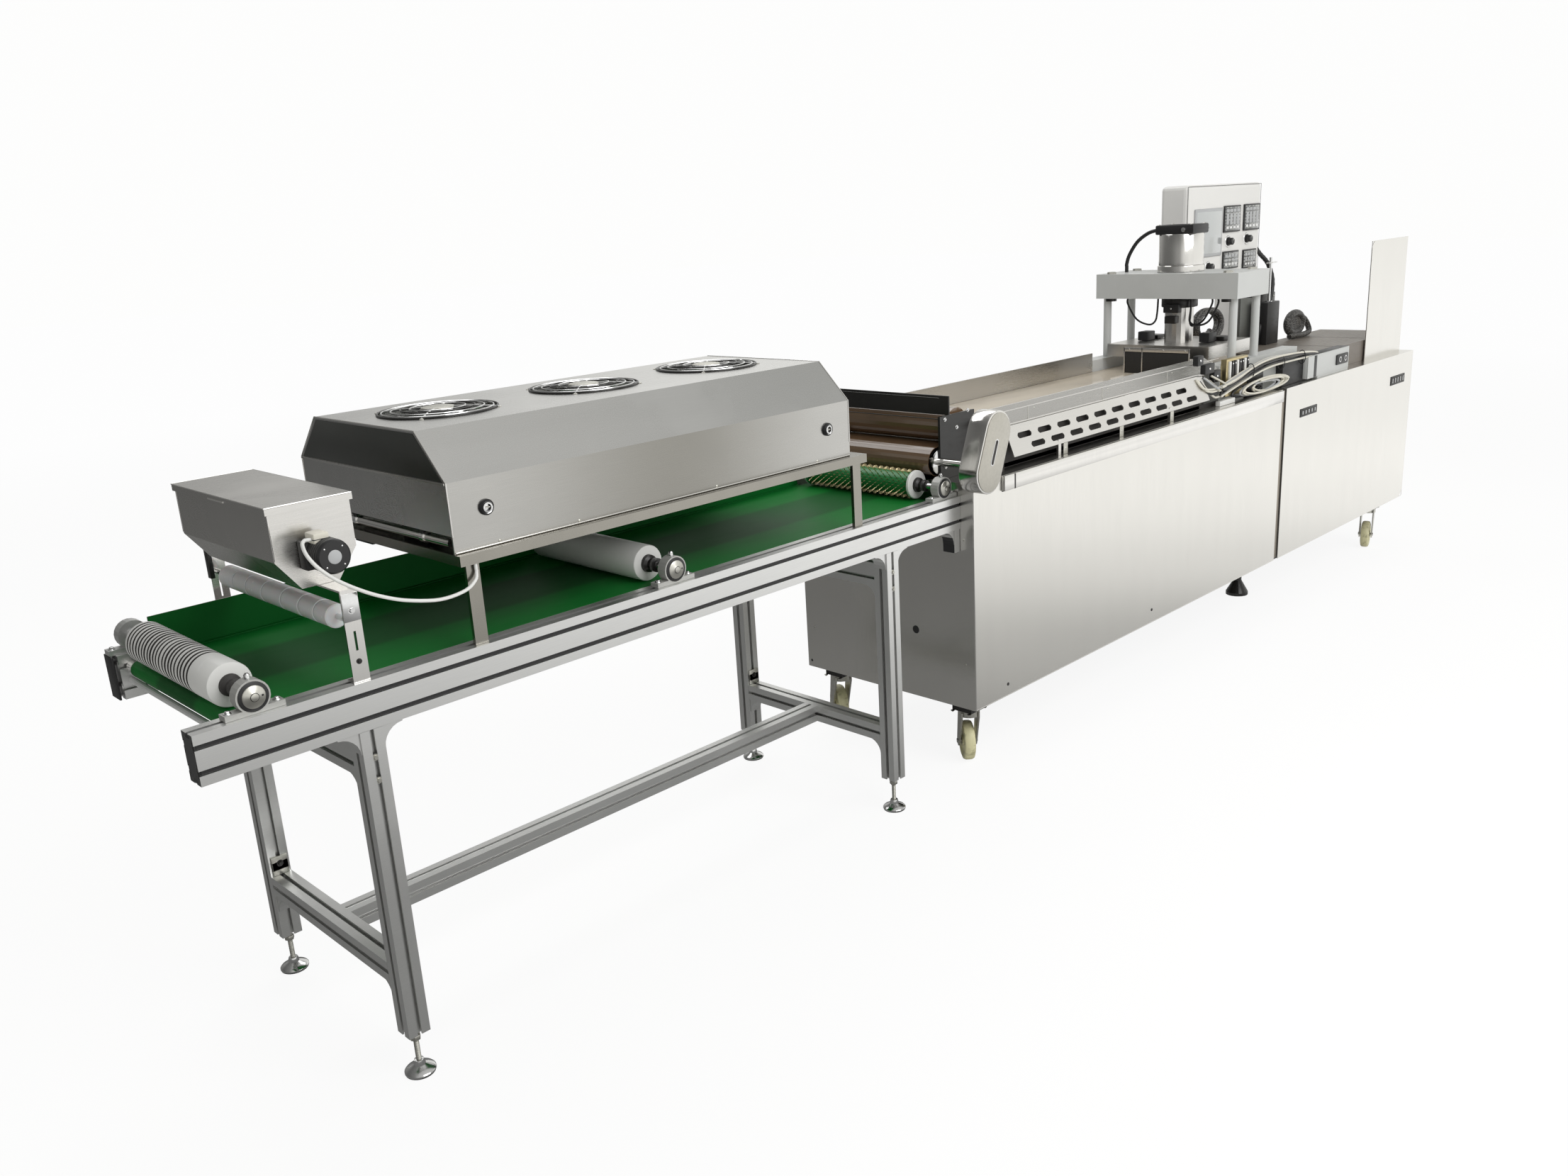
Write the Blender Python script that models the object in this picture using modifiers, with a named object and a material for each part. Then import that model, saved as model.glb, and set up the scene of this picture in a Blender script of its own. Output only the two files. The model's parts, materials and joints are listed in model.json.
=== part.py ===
"""Flatbread press and baking belt with an outfeed cooling conveyor.

The line runs along X. Line coordinates start at the free end of the conveyor rails (X), at the
conveyor's middle (Y) and at the floor (Z); the empty "line" shifts them so that the whole
machine stands centred on the world origin. Units are metres. The near side is -Y.
"""

import math

import bmesh
import bpy
from mathutils import Matrix, Vector

GAP = 0.0003  # between two pieces that touch

# Conveyor frame, from 40 mm slotted aluminium profile
PROFILE = 0.040
SLOT_MOUTH = 0.008
SLOT_LIP = 0.003
SLOT_INSIDE = 0.018
SLOT_DEPTH = 0.008
CONVEYOR_LENGTH = 1.8117
FAR_RAIL_SETBACK = 0.062
CONVEYOR_WIDTH = 0.534
RAIL_TOP = 0.728
RAIL_HEIGHT = 2 * PROFILE
LEG_BOTTOM = 0.082
LEFT_LEG_X = 0.267
RIGHT_LEG_X = CONVEYOR_LENGTH - 0.2567
CROSSBEAM_HEIGHT = 2 * PROFILE
CROSSBEAM_DROP = 0.003
LOWER_BAR_Z = 0.198
GUSSET = 0.036
GUSSET_THICK = 0.034
STUB_LENGTH = 0.022
STUB_DROP = 0.057
WELD = 0.001  # overlap of two shapes that form one piece

# Levelling feet
FOOT_RADIUS = 0.0275
FOOT_HEIGHT = 0.014
FOOT_STUD_RADIUS = 0.005
FOOT_NUT_RADIUS = 0.0095
FOOT_NUT_HEIGHT = 0.010

# Belt, its bed and the rollers that lie on it
BELT_TOP = 0.719
BELT_WIDTH = 0.400
BELT_THICK = 0.002
BELT_NOSE_X = 0.086
BELT_NOSE_RADIUS = 0.013
DRIVE_ROLLER_X = CONVEYOR_LENGTH - 0.0477
DRIVE_ROLLER_RADIUS = 0.028
BED_THICK = 0.004
NOSE_BAR_RADIUS = 0.006
NOSE_BAR_SETBACK = 0.008
SIDE_GUARD_Y = 0.212
SIDE_GUARD_TOP = 0.788
SIDE_GUARD_THICK = 0.0015
SIDE_GUARD_LEFT = 0.118
SIDE_GUARD_RIGHT = DRIVE_ROLLER_X - 0.020
SHAFT_NOTCH = 0.012
ROLLER_RADIUS = 0.036
ROLLER_FACE = 0.350
ROLLER_HUB_RADIUS = 0.014
ROLLER_HUB_END = 0.206
SHAFT_RADIUS = 0.008
SHAFT_OVERHANG = 0.004
GROOVED_ROLLER_X = 0.099
HOLD_DOWN_ROLLER_X = 0.924
SPIKED_ROLLER_GAP = 0.0027
BEARING_RADIUS = 0.0265
BEARING_THICK = 0.022
BEARING_FOOT_LENGTH = 0.092
BEARING_FOOT_HEIGHT = 0.009
RUNNING_GAP = 0.0005

# Cooling hood on its frame
HOOD_LEFT = 0.4645
HOOD_LENGTH = 0.980
HOOD_MID_Y = 0.010
FAN_MID_Y = 0.020
HOOD_WIDTH = CONVEYOR_WIDTH - 0.014
HOOD_BOTTOM = 0.888
HOOD_SHOULDER = 1.008
HOOD_TOP = 1.088
HOOD_WALL = 0.003
HOOD_END_OPEN = 0.030
FAN_RADIUS = 0.108
FAN_PITCH = 0.332
FAN_HUB_RADIUS = 0.030
FAN_SPOKE = 0.010
FAN_SPOKES = 4
ROTOR_BLADES = 5
ROTOR_CLEARANCE = 0.008
ROTOR_HUB_HEIGHT = 0.022
ROTOR_BLADE_THICK = 0.006
FRAME_BAR = 0.024
FRAME_DEPTH = 0.018
FRAME_OVERLAP = 0.018
FRAME_RIGHT_REACH = 0.034
FRAME_LEG_WIDTH = 0.025
FRAME_LEG_THICK = 0.008
FRAME_LEG_SETBACK = 0.014
FRAME_RIGHT_LEG_SETBACK = 0.012

# Dusting hopper on its bridge
HOPPER_X = 0.257
HOPPER_LENGTH = 0.360
HOPPER_NEAR = -0.195
HOPPER_END_MARGIN = 0.020
HOPPER_TOP_WIDTH = 0.134
HOPPER_BOTTOM_WIDTH = 0.062
HOPPER_BOTTOM = 0.880
HOPPER_TAPER_TOP = 0.929
HOPPER_TOP = 1.0145
HOPPER_WALL = 0.002
HOPPER_SLOT = 0.016
LID_SKIRT = 0.012
LID_OVERHANG = 0.004
LID_WALL = 0.0015
BRIDGE_STRIP = 0.028
BRIDGE_THICK = 0.003
BRIDGE_FOOT = 0.018
BRIDGE_SLOT_WIDTH = 0.004
BRIDGE_SLOT_LOW = 0.780
BRIDGE_SLOT_HIGH = 0.812
BRIDGE_WINDOW_SHIFT = 0.004
DUST_ROLLER_RADIUS = 0.020
DUST_ROLLER_Z = 0.827
DUST_ROLLER_X = 0.268
DUST_ROLLER_FACE = 0.418
DUST_SHAFT_RADIUS = 0.005
FEED_Z = 0.934
FEED_SHAFT_RADIUS = 0.006
FEED_PADDLE = 0.018
MOTOR_DISC_RADIUS = 0.028
MOTOR_DEPTH = 0.062
MOTOR_BOX = 0.046
MOTOR_BOX_DEPTH = 0.024
MOTOR_BOX_SHIFT = 0.006
MOTOR_CAP_LEFT = 0.020
MOTOR_CAP_RIGHT = 0.006
MOTOR_CAP_FRONT = 0.044
MOTOR_CAP_BACK = 0.012
MOTOR_CAP_RISE = 0.014
CABLE_RADIUS = 0.003

# Machine casings, chassis and casters
MACHINE_LEFT = CONVEYOR_LENGTH + GAP
MACHINE_RIGHT = MACHINE_LEFT + 2.853
MACHINE_NEAR = -(CONVEYOR_WIDTH / 2 + 0.038)
MACHINE_FAR = CONVEYOR_WIDTH / 2 + 0.004
DECK = 0.760
SKIRT = 0.182
CASING_WALL = 0.003
CASING_SPLIT = MACHINE_LEFT + 1.688
SPLIT_WIDTH = 0.030
CASING_CORNER = 0.045
CHASSIS_BAR = 0.050
CHASSIS_HEIGHT = 0.040
CASTER_INSET_LEFT = 0.066
CASTER_INSET_NEAR = 0.072
CASTER_INSET_FAR = 0.060
CASTER_RIGHT_X = MACHINE_LEFT + 2.708
CASTER_PAD = 0.030
CASTER_PAD_HEIGHT = 0.030
CASTER_TRAIL = 0.030
WHEEL_RADIUS = 0.052
WHEEL_WIDTH = 0.032
FORK_SHEET = 0.004
FORK_CLEARANCE = 0.004
FORK_HEAD_HEIGHT = 0.016
AXLE_RADIUS = 0.006
PROP_X = MACHINE_LEFT + 1.818
PROP_Y = -0.120
PROP_RADIUS = 0.038

# Baking belt, drums, trough and outlet
BAKE_BELT_TOP = 0.840
BAKE_MID_Y = 0.0
BAKE_BELT_WIDTH = 0.386
BAKE_BELT_THICK = 0.002
DRUM_RADIUS = 0.0335
HEAD_DRUM_X = MACHINE_LEFT + 0.008
TAIL_DRUM_X = MACHINE_LEFT + 1.888
UPPER_DRUM_X = MACHINE_LEFT + 0.086
UPPER_DRUM_RADIUS = 0.042
DRUM_SHAFT_RADIUS = 0.010
SIDE_PLATE_INSIDE = 0.202
SIDE_PLATE_THICK = 0.006
SIDE_PLATE_LEFT = MACHINE_LEFT + 0.003
SIDE_PLATE_RIGHT = MACHINE_LEFT + 0.140
SIDE_PLATE_TOP = 0.914
OUTLET_GUARD_TOP = 0.959
OUTLET_GUARD_X = MACHINE_LEFT + 0.038
OUTLET_GUARD_THICK = 0.004
TROUGH_LEFT = MACHINE_LEFT + 0.144
TROUGH_RIGHT = MACHINE_LEFT + 1.343
TROUGH_WALL = 0.004
TROUGH_TOP = 0.901
TROUGH_SLOPE_DROP = 0.034
TROUGH_SLOPE_REACH = 0.052
BED_PLATE_THICK = 0.030

# Slotted heat cover on the trough's near side
VENT_LEFT = MACHINE_LEFT + 0.198
VENT_RIGHT = MACHINE_LEFT + 1.218
VENT_TOP_Y = -0.256
VENT_TOP_Z = 0.862
VENT_BOTTOM_Y = -0.285
VENT_BOTTOM_Z = 0.790
VENT_THICK = 0.003
VENT_SLOTS = 10
VENT_SLOT_LENGTH = 0.060
VENT_SLOT_HEIGHT = 0.015
VENT_MARGIN = 0.040
VENT_ROWS = (0.010, -0.020)
VENT_POST = 0.012

# Drive cover
DRIVE_COVER_X = HEAD_DRUM_X + 0.003
DRIVE_COVER_Z = 0.840
DRIVE_COVER_TILT = 22
DRIVE_COVER_WIDTH = 0.097
DRIVE_COVER_HEIGHT = 0.203
DRIVE_COVER_DEPTH = 0.056
DRIVE_COVER_WALL = 0.003
SPROCKET_RADIUS = 0.018
SPROCKET_WIDTH = 0.010

# Press
PRESS_LEFT = MACHINE_LEFT + 1.447
PRESS_DEPTH = 0.218
PRESS_NEAR = -0.250
PRESS_FAR = 0.247
PRESS_PLATE_TOP = 1.149
PRESS_PLATE_THICK = 0.079
COLUMN_RADIUS = 0.013
COLUMN_INSET_X = 0.031
COLUMN_INSET_Y = 0.026
BEAM_LEFT = MACHINE_LEFT + 1.348
BEAM_RIGHT = MACHINE_LEFT + 1.908
BEAM_TOP = 0.876
BEAM_GAP = 0.002  # from the belt's side to a beam
CYLINDER_RADIUS = 0.075
CYLINDER_HEIGHT = 0.119
CAP_HEIGHT = 0.030
CAP_LENGTH = 0.134
CAP_WIDTH = 0.106
ROD_RADIUS = 0.016
PLATEN_LENGTH = 0.290
PLATEN_WIDTH = 0.360
PLATEN_THICK = 0.040
PLATEN_RAISED = 0.045
RAM_RADIUS = 0.046
RAM_CLEARANCE = 0.002
HOSE_RADIUS = 0.006

# Control cabinet, infeed table and junction box
CONTROL_LEFT = MACHINE_LEFT + 1.688
CONTROL_WIDTH = 0.550
CONTROL_FRONT = 0.053
CONTROL_DEPTH = 0.098
CONTROL_BOTTOM = 1.085
CONTROL_TOP = 1.418
CONTROL_EDGE = 0.014
PILLAR_LEFT = CONTROL_LEFT + 0.380
PILLAR_WIDTH = 0.110
PILLAR_DEPTH = 0.060
KNOB_RADIUS = 0.015
KNOB_DEPTH = 0.020
KNOB_PLACES = ((0.161, 0.059), (0.303, 0.138), (0.445, 0.141))  # from the cabinet's lower left corner
TABLE_LEFT = MACHINE_LEFT + 1.988
TABLE_RIGHT = MACHINE_LEFT + 2.828
TABLE_NEAR = -0.250
TABLE_FAR = 0.050
TABLE_TOP = 0.835
TABLE_WALL = 0.004
GUARD_LEFT = MACHINE_LEFT + 2.486
GUARD_RIGHT = MACHINE_LEFT + 2.833
GUARD_TOP = 1.190
GUARD_Y = -0.258
GUARD_THICK = 0.003
GUARD_CORNER = 0.030
BOX_LEFT = MACHINE_LEFT + 1.988
BOX_WIDTH = 0.260
BOX_NEAR = -0.292
BOX_TOP = 0.842

# What follows from the values above
LINE_MID_X = MACHINE_RIGHT / 2
DRIVE_COVER_BACK = MACHINE_NEAR - GAP
HOPPER_FAR = HOPPER_NEAR + HOPPER_LENGTH
HOPPER_MID_Y = HOPPER_NEAR + HOPPER_LENGTH / 2
RAIL_Y = (CONVEYOR_WIDTH - PROFILE) / 2
RAIL_BOTTOM = RAIL_TOP - RAIL_HEIGHT
RAIL_INSIDE = CONVEYOR_WIDTH / 2 - PROFILE
ROLLER_Z = BELT_TOP + RUNNING_GAP + ROLLER_RADIUS
BED_TOP = BELT_TOP - BELT_THICK - GAP
HOOD_NEAR = HOOD_MID_Y - HOOD_WIDTH / 2
HOOD_FAR = HOOD_MID_Y + HOOD_WIDTH / 2
LINE_MID_Y = (DRIVE_COVER_BACK - DRIVE_COVER_DEPTH + HOOD_FAR + FRAME_OVERLAP) / 2
HOOD_RIGHT = HOOD_LEFT + HOOD_LENGTH
HOOD_MID_X = HOOD_LEFT + HOOD_LENGTH / 2
PRESS_MID_X = PRESS_LEFT + PRESS_DEPTH / 2
DRUM_Z = BAKE_BELT_TOP - BAKE_BELT_THICK - GAP - DRUM_RADIUS
UPPER_DRUM_Z = BAKE_BELT_TOP + RUNNING_GAP + UPPER_DRUM_RADIUS
SPIKED_ROLLER_REACH = ROLLER_RADIUS + SPIKED_ROLLER_GAP + BAKE_BELT_THICK + DRUM_RADIUS
SPIKED_ROLLER_X = HEAD_DRUM_X - math.sqrt(SPIKED_ROLLER_REACH**2 - (DRUM_Z - ROLLER_Z) ** 2)

TURN_STEPS = 20
PARTS = None
CUTTERS = None
LINE = None


def start_scene():
    """An empty scene with a collection for the parts, one for the cutters, and the line's origin."""
    global PARTS, CUTTERS, LINE
    for old in list(bpy.data.objects):
        bpy.data.objects.remove(old)
    PARTS = bpy.data.collections.new("flatbread_press_line")
    CUTTERS = bpy.data.collections.new("cutters")
    bpy.context.scene.collection.children.link(PARTS)
    bpy.context.scene.collection.children.link(CUTTERS)
    LINE = bpy.data.objects.new("line", None)
    LINE.location = (-LINE_MID_X, -LINE_MID_Y, 0)
    PARTS.objects.link(LINE)


def make_material(name, colour, roughness, metallic):
    made = bpy.data.materials.new(name)
    made.use_nodes = True
    shader = made.node_tree.nodes["Principled BSDF"]
    shader.inputs["Base Color"].default_value = (*colour, 1)
    shader.inputs["Roughness"].default_value = roughness
    shader.inputs["Metallic"].default_value = metallic
    return made


def make_object(name, data, matrix=None):
    """An object in the parts collection, placed in line coordinates."""
    made = bpy.data.objects.new(name, data)
    PARTS.objects.link(made)
    made.parent = LINE
    if matrix is not None:
        made.matrix_local = matrix
    bpy.context.view_layer.update()
    return made


def finish(made, material):
    made.data.materials.clear()
    made.data.materials.append(material)
    return made


def smooth(made, angle=35):
    made.data.shade_smooth()
    made.data.set_sharp_from_angle(angle=math.radians(angle))
    return made


def box(name, low, high, anchor=None):
    """A box between two corners, with its origin at the anchor, or else at its middle."""
    low, high = Vector(low), Vector(high)
    middle = (low + high) / 2
    anchor = middle if anchor is None else Vector(anchor)
    shape = bmesh.new()
    bmesh.ops.create_cube(shape, size=1)
    bmesh.ops.scale(shape, vec=high - low, verts=shape.verts)
    bmesh.ops.translate(shape, vec=middle - anchor, verts=shape.verts)
    mesh = bpy.data.meshes.new(name)
    shape.to_mesh(mesh)
    shape.free()
    return make_object(name, mesh, Matrix.Translation(anchor))


FACING = {
    "x": Matrix(((0, 0, 1), (1, 0, 0), (0, 1, 0))).to_4x4(),
    "y": Matrix(((1, 0, 0), (0, 0, -1), (0, 1, 0))).to_4x4(),
    "z": Matrix.Identity(4),
}


def plate(name, loops, facing, at, thick):
    """Flat outlines, holes among them, thickened along one axis and made a mesh.

    The points are (Y, Z), (X, Z) or (X, Y) for a plate that faces x, y or z.
    """
    curve = bpy.data.curves.new(name, "CURVE")
    curve.dimensions = "2D"
    curve.fill_mode = "BOTH"
    curve.extrude = thick / 2
    for loop in loops:
        spline = curve.splines.new("POLY")
        spline.points.add(len(loop) - 1)
        for point, (u, v) in zip(spline.points, loop):
            point.co = (u, v, 0, 1)
        spline.use_cyclic_u = True
    drawn = make_object(name, curve, Matrix.Translation(at) @ FACING[facing])
    return as_mesh(drawn)


def as_mesh(drawn):
    """The curve's solid as a mesh object of the same name and place."""
    name = drawn.name
    graph = bpy.context.evaluated_depsgraph_get()
    mesh = bpy.data.meshes.new_from_object(drawn.evaluated_get(graph))
    shape = bmesh.new()
    shape.from_mesh(mesh)
    bmesh.ops.remove_doubles(shape, verts=shape.verts, dist=1e-6)
    bmesh.ops.recalc_face_normals(shape, faces=shape.faces)
    shape.to_mesh(mesh)
    shape.free()
    place = drawn.matrix_local.copy()
    bpy.data.objects.remove(drawn)
    return make_object(name, mesh, place)


def turned(name, profile, at, along="z", steps=TURN_STEPS):
    """A profile of (radius, height) points, top to bottom, turned round an axis."""
    mesh = bpy.data.meshes.new(name)
    ends = [(0, profile[0][1])] + list(profile) + [(0, profile[-1][1])]
    verts = [(radius, 0, height) for radius, height in ends]
    mesh.from_pydata(verts, [(i, i + 1) for i in range(len(verts) - 1)], [])
    turn = {"z": Matrix.Identity(4), "y": Matrix.Rotation(-math.pi / 2, 4, "X")}[along]
    made = make_object(name, mesh, Matrix.Translation(at) @ turn)
    screw = made.modifiers.new("turn", "SCREW")
    screw.steps = screw.render_steps = steps
    screw.use_merge_vertices = True
    screw.merge_threshold = 1e-5
    return made


def as_helper(made):
    """Takes a shape out of the model: another piece joins it or is cut by it."""
    made.hide_render = True
    made.display_type = "WIRE"
    PARTS.objects.unlink(made)
    CUTTERS.objects.link(made)
    return made


def combine(target, others, operation, solver="EXACT"):
    for number, other in enumerate(others):
        as_helper(other)
        boolean = target.modifiers.new(f"{operation.lower()}_{number}", "BOOLEAN")
        boolean.operation = operation
        boolean.solver = solver
        boolean.object = other
    return target


def fuse(target, others, solver="EXACT"):
    return combine(target, others, "UNION", solver)


def cut(target, others):
    return combine(target, others, "DIFFERENCE")


def tube(name, points, radius):
    """A round tube through its points, straightened only between close samples."""
    curve = bpy.data.curves.new(name, "CURVE")
    curve.dimensions = "3D"
    curve.bevel_depth = radius
    curve.bevel_resolution = 2
    curve.use_fill_caps = True
    spline = curve.splines.new("POLY")
    spline.points.add(len(points) - 1)
    for point, place in zip(spline.points, points):
        point.co = (*place, 1)
    return make_object(name, curve)


def smooth_route(points, samples):
    """Points read from a Catmull-Rom curve through the route's own points."""
    ends = [Vector(points[0])] + [Vector(p) for p in points] + [Vector(points[-1])]
    route = []
    for a, b, c, d in zip(ends, ends[1:], ends[2:], ends[3:]):
        for step in range(samples):
            t = step / samples
            route.append(
                0.5
                * (
                    2 * b
                    + (c - a) * t
                    + (2 * a - 5 * b + 4 * c - d) * t**2
                    + (3 * b - a - 3 * c + d) * t**3
                )
            )
    route.append(ends[-1])
    return route


def arc(middle, radius, start, end, steps):
    """Points on an arc, its angles in degrees."""
    angles = [math.radians(start + (end - start) * i / steps) for i in range(steps + 1)]
    return [
        (middle[0] + radius * math.cos(a), middle[1] + radius * math.sin(a))
        for a in angles
    ]


def circle(middle, radius, steps=TURN_STEPS):
    return arc(middle, radius, 0, 360, steps)[:-1]


def rectangle(low, high):
    return [low, (high[0], low[1]), high, (low[0], high[1])]


def slotted_outline(wide, high):
    """The section of slotted profile, with a slot every 40 mm on each side."""
    outline = []
    right, up = Vector((1, 0)), Vector((0, 1))
    sides = (
        (Vector((-wide / 2, -high / 2)), right, up, wide),
        (Vector((wide / 2, -high / 2)), up, -right, high),
        (Vector((wide / 2, high / 2)), -right, -up, wide),
        (Vector((-wide / 2, high / 2)), -up, right, high),
    )
    mouth, inside = SLOT_MOUTH / 2, SLOT_INSIDE / 2
    slot = (
        (-mouth, 0),
        (-mouth, SLOT_LIP),
        (-inside, SLOT_LIP),
        (-inside, SLOT_DEPTH),
        (inside, SLOT_DEPTH),
        (inside, SLOT_LIP),
        (mouth, SLOT_LIP),
        (mouth, 0),
    )
    for corner, along, inward, length in sides:
        outline.append(tuple(corner))
        for number in range(round(length / PROFILE)):
            middle = corner + along * (PROFILE * (number + 0.5))
            outline += [tuple(middle + along * u + inward * v) for u, v in slot]
    return outline


def gusset_outline(corner, across, up, size):
    """A corner filler with a hollow curved edge; across and up are 1 or -1."""
    edge = arc((size, size), size - WELD, 270, 180, 6)
    points = [(-WELD, -WELD), (size, -WELD)] + edge + [(-WELD, size)]
    return [(corner[0] + across * u, corner[1] + up * v) for u, v in points]


def belt_outline(left, left_radius, right, right_radius, steps=14):
    """The line that a belt takes round two rollers."""
    run = Vector(right) - Vector(left)
    tilt = math.degrees(math.atan2(run.y, run.x))
    lean = math.degrees(math.asin((right_radius - left_radius) / run.length))
    top, bottom = tilt + 90 + lean, tilt - 90 - lean
    return arc(right, right_radius, bottom, top, steps) + arc(
        left, left_radius, top, bottom + 360, steps
    )


# ---------------------------------------------------------------- conveyor frame


def bearing_outlines():
    """A pillow block from its end: two bolt ears, a round housing and its bore."""
    half, low, rise = BEARING_FOOT_LENGTH / 2, RAIL_TOP + GAP - ROLLER_Z, BEARING_FOOT_HEIGHT
    foot_top = low + rise
    start = math.degrees(math.asin(foot_top / BEARING_RADIUS))
    ring = arc((0, 0), BEARING_RADIUS, start, 180 - start, 16)
    outer = [(-half, low), (half, low), (half, foot_top)] + ring + [(-half, foot_top)]
    return [outer, circle((0, 0), SHAFT_RADIUS + GAP, 16)]


def bearing(name, x, side):
    return plate(name, bearing_outlines(), "y", (x, side * RAIL_Y, ROLLER_Z), BEARING_THICK)


def rail_stub(name, side):
    """A short upright under a rail's inner end, with a corner filler beside it."""
    top = RAIL_BOTTOM + WELD
    left = CONVEYOR_LENGTH - STUB_LENGTH
    stub = box(
        name,
        (left, side * RAIL_Y - GUSSET_THICK / 2, RAIL_BOTTOM - STUB_DROP),
        (CONVEYOR_LENGTH - WELD, side * RAIL_Y + GUSSET_THICK / 2, top),
    )
    filler = plate(
        f"{name}_filler",
        [gusset_outline((left, RAIL_BOTTOM), -1, -1, GUSSET)],
        "y",
        (0, side * RAIL_Y, 0),
        GUSSET_THICK - WELD,
    )
    return [stub, filler]


def make_rails(aluminium, cast):
    """The two rails. The far one starts later and carries the bearings behind the rollers."""
    outline = [slotted_outline(PROFILE, RAIL_HEIGHT)]
    height = RAIL_BOTTOM + RAIL_HEIGHT / 2
    for name, side, start in (("rail_near", -1, 0), ("rail_far", 1, FAR_RAIL_SETBACK)):
        middle = (start + CONVEYOR_LENGTH) / 2
        place = (middle, side * RAIL_Y, height)
        rail = plate(name, outline, "x", place, CONVEYOR_LENGTH - start)
        joined = rail_stub(f"{name}_stub", side)
        if side > 0:
            for number, x in enumerate((GROOVED_ROLLER_X, HOLD_DOWN_ROLLER_X, SPIKED_ROLLER_X)):
                joined += far_bearing(f"far_bearing_{number}", x)
        fuse(rail, joined, "MANIFOLD")
        finish(rail, aluminium)
    for name, x in (
        ("bearing_grooved", GROOVED_ROLLER_X),
        ("bearing_hold_down", HOLD_DOWN_ROLLER_X),
        ("bearing_spiked", SPIKED_ROLLER_X),
    ):
        smooth(finish(bearing(name, x, -1), cast))


def far_bearing(name, x):
    """A bearing behind a roller, with the two pads that bolt it to the rail."""
    pads = [
        box(
            f"{name}_pad_{lean}",
            (x + lean * 0.030 - 0.006, RAIL_Y - 0.010, RAIL_TOP - WELD),
            (x + lean * 0.030 + 0.006, RAIL_Y + 0.010, RAIL_TOP + GAP + WELD),
        )
        for lean in (-1, 1)
    ]
    return pads + [bearing(name, x, 1)]


def make_nose_bar(painted):
    """A round bar between the rails, just under the belt's nose."""
    z = BELT_TOP - 2 * (BELT_NOSE_RADIUS + BELT_THICK) - RUNNING_GAP - NOSE_BAR_RADIUS - 0.002
    end = RAIL_INSIDE - GAP
    profile = [(NOSE_BAR_RADIUS, end), (NOSE_BAR_RADIUS, -end)]
    place = (BELT_NOSE_X - NOSE_BAR_SETBACK, 0, z)
    smooth(finish(turned("nose_bar", profile, place, "y", 12), painted))


def make_end_frame(name, x, aluminium):
    """Two legs and the crossbeam between them, with their corner gussets."""
    leg_top = RAIL_BOTTOM - GAP
    beam_top = leg_top - CROSSBEAM_DROP
    beam_middle = beam_top - CROSSBEAM_HEIGHT / 2
    leg_outline = [slotted_outline(PROFILE, PROFILE)]
    length = leg_top - LEG_BOTTOM
    legs = [
        plate(f"{name}_leg_{side}", leg_outline, "z", (x, y, LEG_BOTTOM + length / 2), length)
        for side, y in (("near", -RAIL_Y), ("far", RAIL_Y))
    ]
    beam = plate(
        name,
        [slotted_outline(PROFILE, CROSSBEAM_HEIGHT)],
        "y",
        (x, 0, beam_middle),
        2 * (RAIL_INSIDE + WELD),
    )
    gussets = []
    for side in (-1, 1):
        corner = (side * RAIL_INSIDE, beam_top - CROSSBEAM_HEIGHT)
        outline = gusset_outline(corner, -side, -1, GUSSET)
        gussets.append(plate(f"{name}_low_{side}", [outline], "x", (x, 0, 0), GUSSET_THICK))
        for lean in (-1, 1):
            corner = (x + lean * PROFILE / 2, leg_top - 2 * WELD)
            outline = gusset_outline(corner, lean, -1, GUSSET)
            spot = (0, side * RAIL_Y, 0)
            gussets.append(
                plate(f"{name}_top_{side}_{lean}", [outline], "y", spot, GUSSET_THICK)
            )
    fuse(beam, legs + gussets, "MANIFOLD")
    finish(beam, aluminium)


def make_lower_frame(aluminium):
    """The H of two cross bars and the long stretcher between them."""
    section = [slotted_outline(PROFILE, PROFILE)]
    reach = 2 * (RAIL_INSIDE - GAP)
    bars = [
        plate(f"cross_bar_{x}", section, "y", (x, 0, LOWER_BAR_Z), reach)
        for x in (LEFT_LEG_X, RIGHT_LEG_X)
    ]
    gussets = []
    for x in (LEFT_LEG_X, RIGHT_LEG_X):
        for side in (-1, 1):
            corner = (side * (RAIL_INSIDE - GAP - WELD), LOWER_BAR_Z - PROFILE / 2)
            outline = gusset_outline(corner, -side, -1, GUSSET)
            gussets.append(plate(f"lower_{x}_{side}", [outline], "x", (x, 0, 0), GUSSET_THICK))
    span = RIGHT_LEG_X - LEFT_LEG_X - PROFILE + 2 * WELD
    middle = (LEFT_LEG_X + RIGHT_LEG_X) / 2
    stretcher = plate("lower_h_frame", section, "x", (middle, 0, LOWER_BAR_Z), span)
    fuse(stretcher, bars + gussets, "MANIFOLD")
    finish(stretcher, aluminium)


def make_feet(chrome):
    top = LEG_BOTTOM - GAP
    profile = [
        (FOOT_NUT_RADIUS, top),
        (FOOT_NUT_RADIUS, top - FOOT_NUT_HEIGHT),
        (FOOT_STUD_RADIUS, top - FOOT_NUT_HEIGHT),
        (FOOT_STUD_RADIUS, FOOT_HEIGHT + 0.004),
        (0.010, FOOT_HEIGHT),
        (0.022, FOOT_HEIGHT * 0.6),
        (FOOT_RADIUS, FOOT_HEIGHT * 0.25),
        (FOOT_RADIUS, 0),
    ]
    for end, x in (("left", LEFT_LEG_X), ("right", RIGHT_LEG_X)):
        for side, y in (("near", -RAIL_Y), ("far", RAIL_Y)):
            smooth(finish(turned(f"foot_{side}_{end}", profile, (x, y, 0), steps=16), chrome))


# ---------------------------------------------------------------- belt and rollers


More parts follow.
